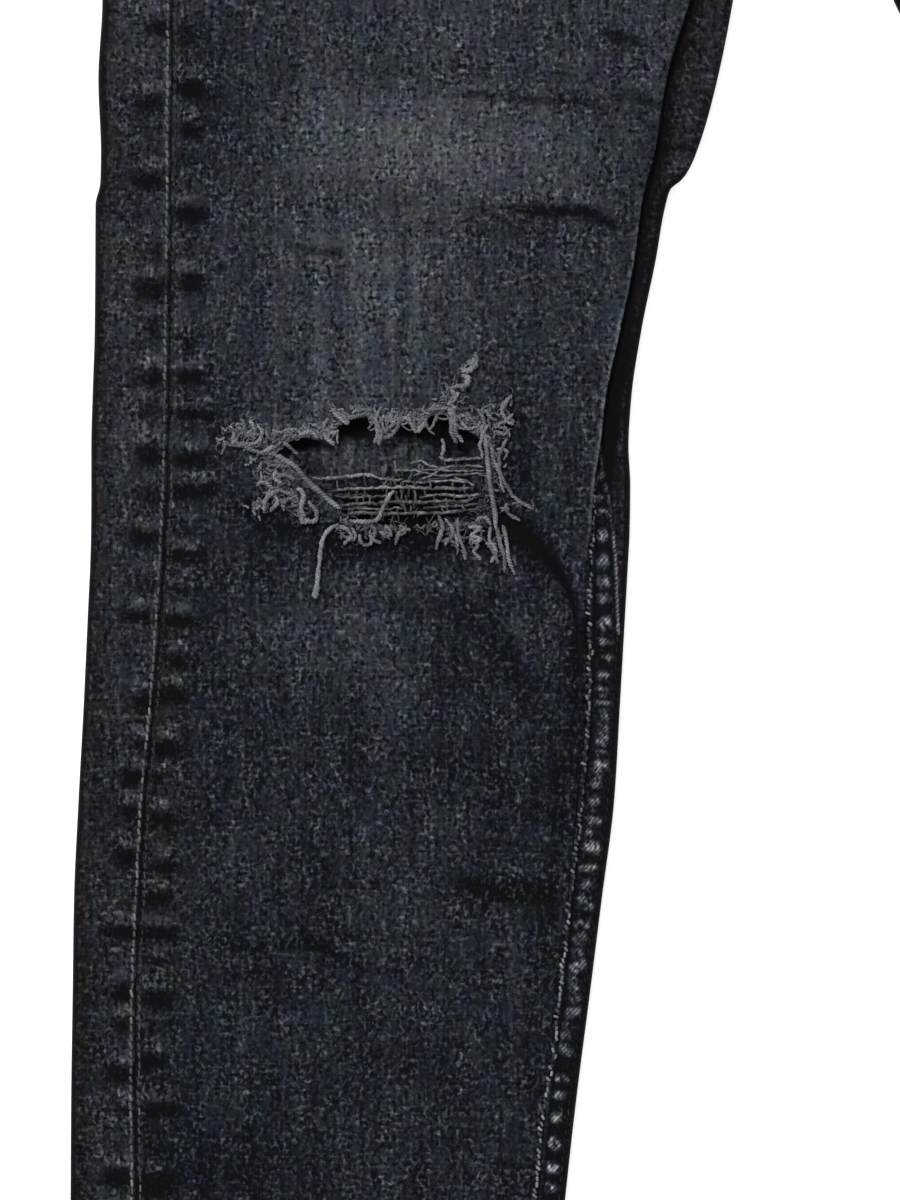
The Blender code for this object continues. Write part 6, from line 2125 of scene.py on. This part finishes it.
def leg_stitches(leg):
    out = {}
    hand = "left" if leg.mirror else "right"
    seam = lambda y: leg.at("outseam", y)
    # topstitching on both sides of the outseam: the row on the back panel is worn pale
    b = Bundle()
    if leg.mirror:
        row_of(b, leg, 146, -774, 3.7, lambda y: seam(y) - 1.55, "back", 2.7, 0.38, 88, 10,
               False, 11)
        row_of(b, leg, 146, -774, 3.7, lambda y: seam(y) + 1.6, "front", 2.6, 0.36, 62, 8,
               False, 12)
    else:
        def pale(y):
            return (76 + 16 * ease((y + 238.0) / 12.0) + 16 * ease((-375.0 - y) / 20.0)
                    + 10 * field(y * 0, y, 9.0, 63))

        def dim(y):
            return (44 + 34 * ease((-495.0 - y) / 20.0) + 22 * line_spot(y, -330.0, 22.0)
                    + 26 * line_spot(y, -462.0, 12.0) + 14 * ease((y + 205.0) / 12.0)
                    + 10 * field(y * 0, y, 7.0, 64))
        row_of(b, leg, 146, -120, 3.7, lambda y: seam(y) - 1.55, "back", 2.7, 0.38, 90, 10,
               False, 13)
        row_of(b, leg, 146, -120, 3.7, lambda y: seam(y) + 1.6, "front", 2.6, 0.34, 60, 8,
               False, 14)
        row_of(b, leg, -120, -585, 3.0, lambda y: seam(y) - 1.4, "back", 2.75, 0.50, pale, 9,
               True, 15, 15.0)
        row_of(b, leg, -120, -585, 3.3, lambda y: seam(y) + 1.5, "front", 2.5, 0.34, dim, 8,
               True, 16, 8.0)
        row_of(b, leg, -585, -774, 3.7, lambda y: seam(y) - 1.55, "back", 2.7, 0.38, 92, 10,
               False, 17)
        row_of(b, leg, -585, -774, 3.7, lambda y: seam(y) + 1.6, "front", 2.6, 0.38, 78, 8,
               False, 18)
    out["outseam"] = b.build("outseam_stitches_" + hand, THREAD, leg.mirror)

    # the felled inseam: a pale row on the lap's edge and a finer one near the strip's far edge
    b = Bundle()
    edge = lambda y: leg.at("front_edge", y)
    far = lambda y: leg.strip_edge(y)
    start = -324.0 if not leg.mirror else -348.0
    rich = not leg.mirror
    stop = -585.0 if rich else -774.0
    shake = np.random.default_rng(77 + leg.seed)
    row_of(b, leg, start, stop, 1.95, lambda y: edge(y) + 0.4
           + rich * (0.8 * line_spot(y, -445.0, 24.0) - 1.3 * ease((-528.0 - y) / 24.0))
           + shake.normal(0, 0.26, np.size(y)),
           "strip", 2.0, 0.52, lambda y: 98 + 6 * ease((y + 420.0) / 30.0)
           - 24 * line_spot(y, -436.0, 34.0) + 12 * ease((-478.0 - y) / 20.0)
           + 16 * field(y * 0, y, 2.6, 71) + shake.choice([0, 0, -22, 16, -44], np.size(y)),
           26, rich, 21, 14.0)
    row_of(b, leg, start - 6, stop, 3.3, lambda y: far(y) - 1.9, "strip", 2.4, 0.26, 34, 8,
           rich, 22, 6.0)
    if rich:
        row_of(b, leg, -585.0, -774, 3.2, lambda y: edge(y) + 0.55, "strip", 2.5, 0.42, 92, 22,
               False, 23)
        row_of(b, leg, -585.0, -774, 3.4, lambda y: far(y) - 1.9, "strip", 2.4, 0.28, 40, 8,
               False, 24)
    out["inseam"] = b.build("inseam_stitches_" + hand, THREAD, leg.mirror)

    # hem and pocket opening
    b = Bundle()
    xs = np.linspace(float(leg.at("outseam", -761.0)) + 1.0,
                     float(leg.at("front_edge", -761.0)) - 1.0, 90)
    for a, bb, side in ((xs[0], xs[-1], "front"),):
        ys = np.full_like(xs, -761.5)
        p, n = top_point(leg, xs, ys, side)
        outline_row(b, p, (0, 0, 1), 3.3, 2.4, 0.38, 82, 31)
    xs = np.linspace(float(leg.at("fold_out", -761.0)) + 3.0,
                     float(leg.at("outseam", -761.0)) - 0.6, 20)
    p, n = top_point(leg, xs, np.full_like(xs, -761.5), "back")
    outline_row(b, p, (0, 0, 1), 3.3, 2.4, 0.38, 82, 32)
    f = np.radians(np.linspace(2.0, 88.0, 70))
    for off, g in ((2.2, 92), (8.2, 84)):
        yy = WAIST - (POCKET_DEEP + off) * np.sin(f)
        xx = leg.at("outseam", yy) + SEAM / 2 + (POCKET_WIDE + off) * np.cos(f)
        ok = yy > WAIST - POCKET_DEEP - 1.0
        p, n = top_point(leg, xx, yy, "front")
        outline_row(b, p[yy < WAIST - 1.5], (0, 0, 1), 3.3, 2.4, 0.38, g, 33)
    out["trim"] = b.build("trim_stitches_" + hand, THREAD, leg.mirror)
    return [out[k] for k in ("outseam", "inseam", "trim")]


def waist_stitches():
    b = Bundle()
    for side, z, up in (("front", BAND_FRONT + BAND_THICK / 2, (0, 0, 1)),):
        for h in (3.6, 34.4):
            for x0, x1 in ((-206.0, -10.0), (206.0, 54.0)):
                xs = np.linspace(x0, x1, 60)
                y = WAIST + SEAM + FRONT_DIP * (1 - (xs / BAND_FOLD) ** 2) + h
                outline_row(b, np.stack([xs, y, np.full_like(xs, z)], 1), up, 3.4, 2.5, 0.38,
                            88, 41)
            xs = np.linspace(22.0, -6.0, 12)
            y = WAIST + SEAM + FRONT_DIP * (1 - (xs / BAND_FOLD) ** 2) + h
            outline_row(b, np.stack([xs, y, np.full_like(xs, BAND_LAP + BAND_THICK / 2)], 1),
                        up, 3.4, 2.5, 0.38, 88, 42)
    z = 5.3 + CLOTH / 2 + STACK + 1.0
    # the fly's curved rows, and its edge
    right = curve((73.0, 80.0, 93.0, 112.0, 160.0, WAIST), (8.0, 20.0, 30.0, 35.5, 37.0, 37.0))
    for inset in (3.4, 9.4):
        ys = np.linspace(WAIST - 1.0, 73.0 + inset, 60)
        xs = right(ys) - inset
        shown = ys + FRONT_DIP * ease((ys - 100.0) / (WAIST - 100.0))
        outline_row(b, np.stack([xs, shown, np.full_like(xs, z)], 1), (0, 0, 1), 3.4, 2.5, 0.38,
                    90, 43)
    ys = np.linspace(WAIST - 1.0, 78.0, 60)
    shown = ys + FRONT_DIP * ease((ys - 100.0) / (WAIST - 100.0))
    outline_row(b, np.stack([np.full_like(ys, -1.4), shown, np.full_like(ys, z)], 1), (0, 0, 1),
                3.4, 2.5, 0.38, 90, 44)
    # two rows beside the centre seam, from the fly's foot to the crotch
    ys = np.linspace(71.0, 4.0, 60)
    for x0 in (-1.5, -7.4):
        p, _ = top_point(RIGHT, np.full_like(ys, x0), ys, "front")
        outline_row(b, p, (0, 0, 1), 3.4, 2.5, 0.38, 84, 46)
    # a bar tack at the foot of the fly
    rng = np.random.default_rng(45)
    for k in range(16):
        p = np.array([[3.0 + 0.05 * k, 77.0 + 0.55 * k, z + 0.05]])
        b.stitches(p, np.array([[1.0, 0.1 * rng.normal(), 0]]), np.array([[0.0, 0, 1]]), 3.4, 0.3,
                   90 * TONE, 0.0, False)
    # bar tacks of the front belt loops
    for cx, side in LOOPS[:2]:
        for end in (-4.6, BAND_HIGH + 1.6):
            yb = float(band_bottom(cx, side)) + end
            for k in range(12):
                p = np.array([[cx - 4.2 + 8.4 * k / 11, yb, BAND_FRONT + BAND_THICK / 2 + STACK
                               + PATCH_THICK + 0.1]])
                b.stitches(p, np.array([[0.12 * rng.normal(), 1.0, 0]]),
                           np.array([[0.0, 0, 1]]), 2.2, 0.3, 92 * TONE, 0.0, False)
    # buttonhole, worked round with thread, under and past the button
    cy = float(band_bottom(6.0, "front")) + BAND_HIGH / 2
    for k in range(40):
        a = 2 * math.pi * k / 40
        px = 1.0 + 9.5 * math.copysign(abs(math.cos(a)) ** 0.6, math.cos(a))
        py = cy + 2.0 * math.sin(a)
        b.stitches(np.array([[px, py, BAND_LAP + BAND_THICK / 2 + 0.1]]),
                   np.array([[math.cos(a), math.sin(a), 0]]), np.array([[0.0, 0, 1]]), 2.2, 0.28,
                   88 * TONE, 0.0, False)
    return b.build("waist_stitches", THREAD)


# ---------------------------------------------------------------- frayed yarns of the rip


def smooth_path(points, wobble, seed, pitch=0.55):
    """A flowing line through the points with small crimps, evenly stepped."""
    p = np.asarray(points, float)
    s = np.concatenate([[0], np.cumsum(np.hypot(*np.diff(p, axis=0).T))])
    n = max(4, int(s[-1] / pitch))
    t = np.linspace(0, s[-1], n + 1)
    if len(p) > 2:
        m = np.gradient(p, s, axis=0)
        k = np.clip(np.searchsorted(s, t, side="right") - 1, 0, len(p) - 2)
        h = (s[k + 1] - s[k])[:, None]
        u = ((t - s[k]) / (s[k + 1] - s[k]))[:, None]
        q = (p[k] * (1 + 2 * u) * (1 - u) ** 2 + m[k] * h * u * (1 - u) ** 2
             + p[k + 1] * u * u * (3 - 2 * u) + m[k + 1] * h * u * u * (u - 1))
    else:
        q = np.stack([np.interp(t, s, p[:, 0]), np.interp(t, s, p[:, 1])], 1)
    d = np.gradient(q, axis=0)
    d /= np.maximum(np.hypot(*d.T)[:, None], 1e-9)
    side = np.stack([-d[:, 1], d[:, 0]], 1)
    crimp = wobble * (field(t, t * 0, 1.5, seed) + 0.5 * field(t, t * 0, 0.8, seed + 1))
    return q + side * crimp[:, None], t


def cloth_top(x, y):
    """Upper surface of the right leg's front near the rip, carried on over the hole, and whether each point
    lies in the hole."""
    x, y = np.asarray(x, float), np.asarray(y, float)
    z = RIGHT.front_base(x, y) + RIGHT.skin(x, y, "front")[0] + CLOTH / 2
    d, _ = to_ring(x, y)
    inside = in_ring(x, y)
    d = np.where(inside, 0.0, d)
    z = z + np.exp(-(d / 2.4) ** 2) * 0.55
    return z, inside


def curl(b, rng, start, heading, length, radius, lift, grey, bend=0.45, curly=0.9, taper=0.4,
         sides=5, key=0, stay=False):
    """One short broken yarn that lies on the cloth from start; with stay it keeps out of the
    hole."""
    m = max(5, int(length / 0.45))
    t = np.linspace(0, length, m)
    for attempt in range(6):
        a = heading + rng.normal(0, bend) * t + curly * field(t, t * 0 + key, 1.7,
                                                              3000 + key % 97)
        q = np.asarray(start) + np.column_stack([np.cumsum(np.cos(a)),
                                                 np.cumsum(np.sin(a))]) * (length / m)
        if not stay or not in_ring(q[:, 0], q[:, 1] + 0.5).any():
            break
        heading = rng.uniform(0.0, math.pi)
    else:
        return
    top, _ = cloth_top(q[:, 0], q[:, 1])
    z = top + lift + 0.35 * radius * np.sin(t * rng.uniform(0.8, 1.8) + rng.uniform(0, 6))
    r = radius * (1.0 - taper * t / length) * (0.9 + 0.16 * field(t, t * 0, 0.9, 40 + key % 89))
    if radius > 0.36:
        b.yarn(np.column_stack([q, z]), r * 1.12, grey * TONE, 2, 1.9, rng.uniform(0, 6.28), 5)
    else:
        b.tube(np.column_stack([q, z]), r, grey * TONE, sides)



FELT_COLS = ("x", "y", "wide", "high", "many", "darkest", "lightest")
FELT = (
    (-186.5, -324.5, 7.6, 7.0, 96, 68, 100),
    (-194.5, -308.6, 8.6, 4.4, 72, 74, 110),
    (-182.0, -333.0, 6.6, 3.6, 30, 60, 92),
    (-112.0, -303.2, 7.6, 5.2, 50, 58, 90),
    (-127.0, -299.5, 9.0, 2.4, 24, 68, 100),
)


def fray():
    b = Bundle()
    rng = np.random.default_rng(2207)
    # weft threads across the hole
    for k, (radius, lift, wobble, way) in enumerate(WEFT):
        q, t = smooth_path(way, wobble * 1.2, 900 + 7 * k, 0.45)
        s = t / t[-1]
        z = 2.45 + lift * 1.6 + 0.35 * field(t, t * 0, 9.0, 950 + k)
        r = radius * 1.18 * (0.84 + 0.30 * field(t, t * 0, 1.5, 930 + k))
        r = r * (0.45 + 0.55 * ease(np.minimum(s, 1 - s) * 14.0))
        g = 102 + 24 * field(t, t * 0, 4.5, 970 + k) + 28 * field(t, t * 0, 1.1, 980 + k)
        g = g - 20 * ease((-329.0 - q[:, 1]) / 5.0)
        g = g + 26 * spot(q[:, 0], q[:, 1], -158.0, -321.0, 15.0, 6.0) - 12 * spot(
            q[:, 0], q[:, 1], -178.0, -320.0, 7.0, 6.0)
        g = np.clip(g, 36, 136) * TONE
        b.yarn(np.column_stack([q, z]), np.maximum(r, 0.14) * 1.24, g, 2, 1.5, k * 0.9, 5)
        # a thinner ply that runs beside it for a while
        if k % 2 == 0 and t[-1] > 12:
            lo = int(len(q) * rng.uniform(0.0, 0.4))
            hi = int(lo + len(q) * rng.uniform(0.3, 0.55))
            part = q[lo:hi] + np.column_stack([
                0.3 * field(t[lo:hi], t[lo:hi] * 0, 2.0, 1500 + k),
                rng.choice([-0.75, 0.75]) + 0.3 * field(t[lo:hi], t[lo:hi] * 0, 3.0, 1510 + k)])
            if len(part) > 6:
                b.tube(np.column_stack([part, z[lo:hi] - 0.2]), 0.26, rng.uniform(58, 80) * TONE, 5)
    # stubs of warp still caught in them
    for k in range(64):
        x = rng.uniform(-168.0, -116.0) if k < 34 else rng.normal(-146.0, 9.0)
        y = rng.uniform(-336.0, -318.5)
        if (x + 168.0) * 0.75 < (-y - 325.0):
            continue
        length = rng.uniform(1.6, 4.2)
        m = 9
        t = np.linspace(0, 1, m)
        lean = rng.normal(0, 0.8)
        q = np.column_stack([x + lean * t + 0.3 * field(t * 4, t * 0, 1.4, 1600 + k),
                             y - length * t])
        b.tube(np.column_stack([q, 2.2 + 0.6 * np.sin(t * 3.1)]), rng.uniform(0.26, 0.42),
               rng.uniform(56, 104) * TONE, 5)
    # loose and frayed ends
    for k, (radius, lift, wobble, way) in enumerate(LOOSE):
        q, t = smooth_path(way, wobble * 1.15, 1100 + 7 * k, 0.42)
        s = t / t[-1]
        top, inside = cloth_top(q[:, 0], q[:, 1])
        z = top + lift * (0.45 + 0.65 * np.sin(np.pi * np.clip(s * 1.08, 0, 1))) \
            + 0.30 * field(t, t * 0, 3.0, 1150 + k)
        r = (0.12 + radius) * 1.36 * (0.86 + 0.22 * field(t, t * 0, 1.6, 1130 + k))
        r = r * (0.50 + 0.50 * ease(np.minimum(s + 0.03, 1.03 - s) * 9.0))
        g = (106 + 18 * field(t, t * 0, 4.0, 1170 + k) + rng.normal(0, 6)) * TONE
        b.yarn(np.column_stack([q, z]), np.maximum(r, 0.12) * 1.1, g, 2,
               2.2 + 0.5 * rng.random(), rng.uniform(0, 6.28), 6)
    main = b.build("rip_yarns", YARN)

    # the fluffy roll of broken yarn along the hole's edge
    b = Bundle()
    ring = RING
    step = np.hypot(*(np.roll(ring, -1, 0) - ring).T)
    s_ring = np.concatenate([[0], np.cumsum(step)])
    total = s_ring[-1]

    def ring_point(s):
        s = s % total
        return np.array([np.interp(s, s_ring, np.append(ring[:, k], ring[0, k]))
                         for k in (0, 1)])

    centre = np.array([RIP_X, RIP_Y])
    count = 250
    for k in range(count):
        s = total * (k + rng.uniform(0, 1)) / count
        p = ring_point(s)
        d = ring_point(s + 0.5) - p
        out = np.array([-d[1], d[0]]) / max(np.hypot(*d), 1e-9)
        if (p - centre) @ out < 0:
            out = -out
        if p[1] > RIP_Y + 4.0:
            # over the top edge, lying back on the cloth
            start = p + out * rng.uniform(0.4, 3.0)
            heading = rng.uniform(-0.4, math.pi + 0.4)
            length = rng.uniform(1.6, 3.8)
            curl(b, rng, start, heading, length, rng.uniform(0.36, 0.64), rng.uniform(0.0, 0.7),
                 rng.uniform(80, 126), 0.5, 1.0, key=k, stay=True)
        elif p[1] < RIP_Y - 12.0:
            if -145.0 < p[0] < -131.5 and rng.random() < 0.85:
                continue
            start = p + np.array([0.0, rng.uniform(-0.2, 1.0)])
            curl(b, rng, start, -math.pi / 2 + rng.normal(0, 0.5), rng.uniform(2.0, 4.6),
                 rng.uniform(0.32, 0.58), rng.uniform(0.0, 0.6), rng.uniform(58, 108), 0.4, 0.9,
                 key=k)
        elif rng.random() < 0.55:
            start = p + out * rng.uniform(0.0, 1.4)
            curl(b, rng, start, rng.uniform(0, 6.28), rng.uniform(1.4, 3.2),
                 rng.uniform(0.24, 0.38), rng.uniform(0.0, 0.6), rng.uniform(66, 106), key=k)
    # the tongues that hang into the hole from its top edge
    for x0, x1, y0, down, many in HANGING:
        for k in range(many):
            f = (k + 0.5) / many
            start = (x0 + (x1 - x0) * f + rng.normal(0, 0.35), y0 + rng.uniform(-0.4, 1.4))
            curl(b, rng, start, -math.pi / 2 + rng.normal(0, 0.28), down * rng.uniform(0.7, 1.15),
                 rng.uniform(0.44, 0.66), rng.uniform(0.4, 1.2), rng.uniform(86, 126), 0.16, 0.7,
                 key=400 + k)
    # tufts: curls crowded round a place
    for n, (cx, cy, sx, sy, many, long) in enumerate(TUFTS):
        for k in range(int(many * 0.72)):
            start = (cx + rng.normal(0, sx * 0.45), cy + rng.normal(0, sy * 0.45))
            curl(b, rng, start, rng.uniform(0, 6.28), long * rng.uniform(0.7, 1.4),
                 rng.uniform(0.36, 0.68), rng.uniform(0.1, 1.0),
                 rng.uniform(76, 128) - 16 * (cy < -336.0), 0.6, 0.8, key=600 + 31 * n + k,
                 stay=True)
    # felted broken yarn that lies flat under the loops
    for n, (cx, cy, sx, sy, many, low, high) in enumerate(FELT):
        for k in range(many):
            start = (cx + sx * rng.uniform(-1, 1), cy + sy * rng.uniform(-1, 1))
            if ((start[0] - cx) / sx) ** 2 + ((start[1] - cy) / sy) ** 2 > 1.0:
                continue
            curl(b, rng, start, rng.uniform(0, 6.28), rng.uniform(1.4, 3.4),
                 rng.uniform(0.20, 0.35), rng.uniform(-0.05, 0.25), rng.uniform(low, high), 0.6,
                 1.0, key=2400 + 131 * n + k, stay=True)
    curls = b.build("rip_curls", YARN)

    # fuzz: hair-fine fibres
    b = Bundle()
    for k in range(460):
        if k % 3:
            p = ring_point(total * rng.random()) + rng.normal(0, 1.1, 2)
            if p[1] > RIP_Y:
                p[1] += 1.6
        else:
            cx, cy, sx, sy, many, long = TUFTS[rng.integers(len(TUFTS))]
            p = np.array([cx + rng.normal(0, sx * 0.6), cy + rng.normal(0, sy * 0.6)])
        length = rng.uniform(1.5, 5.0)
        m = 7
        t = np.linspace(0, length, m)
        a = rng.uniform(0, 6.28) + rng.normal(0, 0.5) * t
        q = p + np.column_stack([np.cumsum(np.cos(a)), np.cumsum(np.sin(a))]) * length / m
        top, inside = cloth_top(q[:, 0], q[:, 1])
        if inside.any() and q[:, 1].max() > RIP_Y + 8.0:
            continue
        z = top + rng.uniform(0.2, 1.6) + 0.3 * np.sin(t + rng.uniform(0, 6))
        b.tube(np.column_stack([q, z]), rng.uniform(0.07, 0.13), rng.uniform(70, 118) * TONE, 3)
    fuzz = b.build("rip_fuzz", YARN)
    return [main, curls, fuzz]


# Where yarn hangs into the hole from its top edge: from x, to x, from y, length, how many.
HANGING = (
    (-170.8, -165.4, -307.4, 5.0, 8),
    (-152.2, -142.8, -303.6, 7.6, 13),
    (-139.4, -133.8, -303.8, 6.0, 8),
    (-125.8, -123.6, -303.4, 9.0, 4),
    (-115.4, -112.8, -306.0, 6.0, 4),
)

TUFT_COLS = ("x", "y", "wide", "high", "many", "long")
TUFTS = (
    (-200.5, -308.5, 5.0, 2.6, 26, 3.2),
    (-194.0, -311.5, 5.0, 2.6, 26, 3.0),
    (-204.5, -312.0, 2.6, 3.0, 14, 2.8),
    (-186.5, -309.0, 6.0, 2.0, 22, 2.6),
    (-178.5, -309.5, 5.0, 2.0, 20, 2.6),
    (-172.5, -308.0, 3.0, 3.4, 20, 3.0),
    (-166.0, -302.5, 5.0, 2.2, 22, 2.6),
    (-158.5, -300.5, 4.5, 1.6, 18, 2.4),
    (-153.0, -305.0, 2.8, 3.6, 20, 3.2),
    (-143.0, -304.5, 3.4, 2.6, 16, 3.0),
    (-135.0, -301.0, 4.4, 1.8, 16, 2.6),
    (-127.0, -305.5, 3.4, 4.4, 22, 3.2),
    (-120.5, -304.5, 3.6, 3.0, 16, 2.8),
    (-113.5, -303.0, 3.4, 4.6, 18, 2.8),
    (-107.5, -300.5, 3.0, 4.0, 18, 2.6),
    (-107.0, -308.5, 2.4, 3.4, 12, 2.4),
    (-125.5, -292.5, 2.8, 2.8, 16, 2.2),
    (-121.0, -286.5, 1.8, 2.8, 12, 1.8),
    (-127.5, -298.0, 2.2, 2.6, 14, 2.2),
    (-194.0, -320.0, 5.5, 3.0, 16, 2.6),
    (-189.5, -325.5, 4.4, 2.6, 18, 2.8),
    (-193.5, -335.0, 3.0, 3.2, 22, 3.0),
    (-186.0, -332.5, 3.6, 2.6, 18, 2.6),
    (-179.0, -337.5, 2.6, 3.4, 20, 2.8),
    (-163.0, -344.0, 2.8, 2.6, 14, 2.8),
    (-153.0, -344.5, 5.0, 2.0, 14, 2.6),
    (-148.0, -344.5, 2.4, 2.2, 6, 2.6),
    (-125.0, -344.0, 3.0, 4.0, 14, 3.0),
    (-117.0, -345.5, 3.0, 4.4, 18, 3.0),
    (-109.0, -347.5, 2.6, 5.0, 18, 3.0),
    (-109.5, -324.5, 1.8, 6.0, 14, 2.6),
    (-106.0, -334.0, 1.8, 4.0, 10, 2.4),
    (-118.2, -284.6, 1.5, 2.6, 14, 2.6),
    (-120.0, -299.0, 7.0, 3.0, 9, 2.8),
    (-111.0, -308.0, 4.0, 5.0, 8, 3.0),
    (-186.0, -326.0, 6.0, 4.5, 20, 2.8),
    (-181.5, -333.0, 4.0, 3.6, 14, 2.8),
    (-126.0, -346.0, 5.0, 5.0, 14, 3.2),
)


# ---------------------------------------------------------------- build everything
sheets = []
for leg, hand in ((RIGHT, "right"), (LEFT, "left")):
    front, front_flat, front_area = front_panel(leg, "front_leg_" + hand)
    back, back_flat, back_area = back_panel(leg, "back_leg_" + hand)
    yoke, yoke_flat, yoke_area = back_panel(leg, "yoke_" + hand, whole=False)
    face, face_flat, face_area = facing(leg, "pocket_facing_" + hand)
    patch, patch_flat, patch_area = back_pocket(leg, "back_pocket_" + hand)
    outseam, inseam, trim = leg_stitches(leg)
    for o in (outseam, inseam, trim):
        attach(o, "root")
    extra = []
    if hand == "right":
        extra = fray()
        for o in extra:
            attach(o, "root")
    sheets += [(front, front_flat, front_area, [trim] + extra, back),
               (back, back_flat, back_area, [outseam, inseam], None),
               (yoke, yoke_flat, yoke_area, [], None),
               (face, face_flat, face_area, [], yoke),
               (patch, patch_flat, patch_area, [], None)]

band, band_flat, band_area = waistband()
placket, placket_flat, placket_area = fly()
waist_rows = waist_stitches()
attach(waist_rows, "root")
sheets += [(band, band_flat, band_area, [waist_rows], None),
           (placket, placket_flat, placket_area, [], None)]
for n, (cx, side) in enumerate(LOOPS, 1):
    loop, loop_flat, loop_area = belt_loop(n, cx, side)
    sheets.append((loop, loop_flat, loop_area, [], band))
metal_button = button()

for obj, (a, b), area, extra, under in sheets:
    a, b = max(a, 0.0101), max(b, 0.0101)
    area = min(area, a * b)
SHEETS = {o.name: ((round(a, 4), round(b, 4)), round(area, 5)) for o, (a, b), area, _, _ in sheets}
print("SHEETS", json.dumps(SHEETS))
for o in bpy.data.objects:
    if o.type == "MESH" and "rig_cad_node" not in o:
        print("TRIS", o.name, sum(len(p.vertices) - 2 for p in o.data.polygons))

# ---------------------------------------------------------------- floor, light, camera
floor_mesh = bpy.data.meshes.new("floor")
floor_mesh.from_pydata([(-60, -60, 0), (60, -60, 0), (60, 60, 0), (-60, 60, 0)], [],
                       [(0, 1, 2, 3)])
floor = bpy.data.objects.new("floor", floor_mesh)
bpy.context.scene.collection.objects.link(floor)
floor.location.z = -0.0002
n = Net("floor_white")
d = n.node("ShaderNodeBsdfDiffuse")
d.inputs["Color"].default_value = (0.8, 0.8, 0.8, 1)
e = n.node("ShaderNodeEmission")
e.inputs["Color"].default_value = (1, 1, 1, 1)
e.inputs["Strength"].default_value = 0.62
s = n.node("ShaderNodeAddShader")
n.put(s.inputs[0], d.outputs[0])
n.put(s.inputs[1], e.outputs[0])
o = n.node("ShaderNodeOutputMaterial")
n.put(o.inputs[0], s.outputs[0])
floor.data.materials.append(n.mat)

world = bpy.data.worlds.new("soft_white")
world.use_nodes = True
world.node_tree.nodes["Background"].inputs[0].default_value = (0.97, 0.985, 1.0, 1)
world.node_tree.nodes["Background"].inputs[1].default_value = 0.62
bpy.context.scene.world = world


def sun(name, azimuth, elevation, power, spread):
    lamp = bpy.data.lights.new(name, "SUN")
    lamp.energy = power
    lamp.angle = math.radians(spread)
    o = bpy.data.objects.new(name, lamp)
    a, e = math.radians(azimuth), math.radians(elevation)
    to = Vector((math.cos(a) * math.cos(e), math.sin(a) * math.cos(e), math.sin(e)))
    o.rotation_mode = "QUATERNION"
    o.rotation_quaternion = to.to_track_quat("Z", "Y")
    bpy.context.scene.collection.objects.link(o)
    return o


# soft key from the upper left
sun("key", 122.0, 44.0, 2.25, 14.0)

camera_data = bpy.data.cameras.new("camera")
camera_data.lens = 100.0
camera_data.sensor_width = 36.0
camera_data.sensor_fit = "AUTO"
camera = bpy.data.objects.new("camera", camera_data)
camera.location = (-0.13075, -0.12015, 0.4200 / 0.36 + 0.0035)
camera_data.clip_start, camera_data.clip_end = 0.05, 100.0
bpy.context.scene.collection.objects.link(camera)
bpy.context.scene.camera = camera
bpy.context.scene.view_settings.view_transform = "Standard"
bpy.context.scene.view_settings.look = "None"
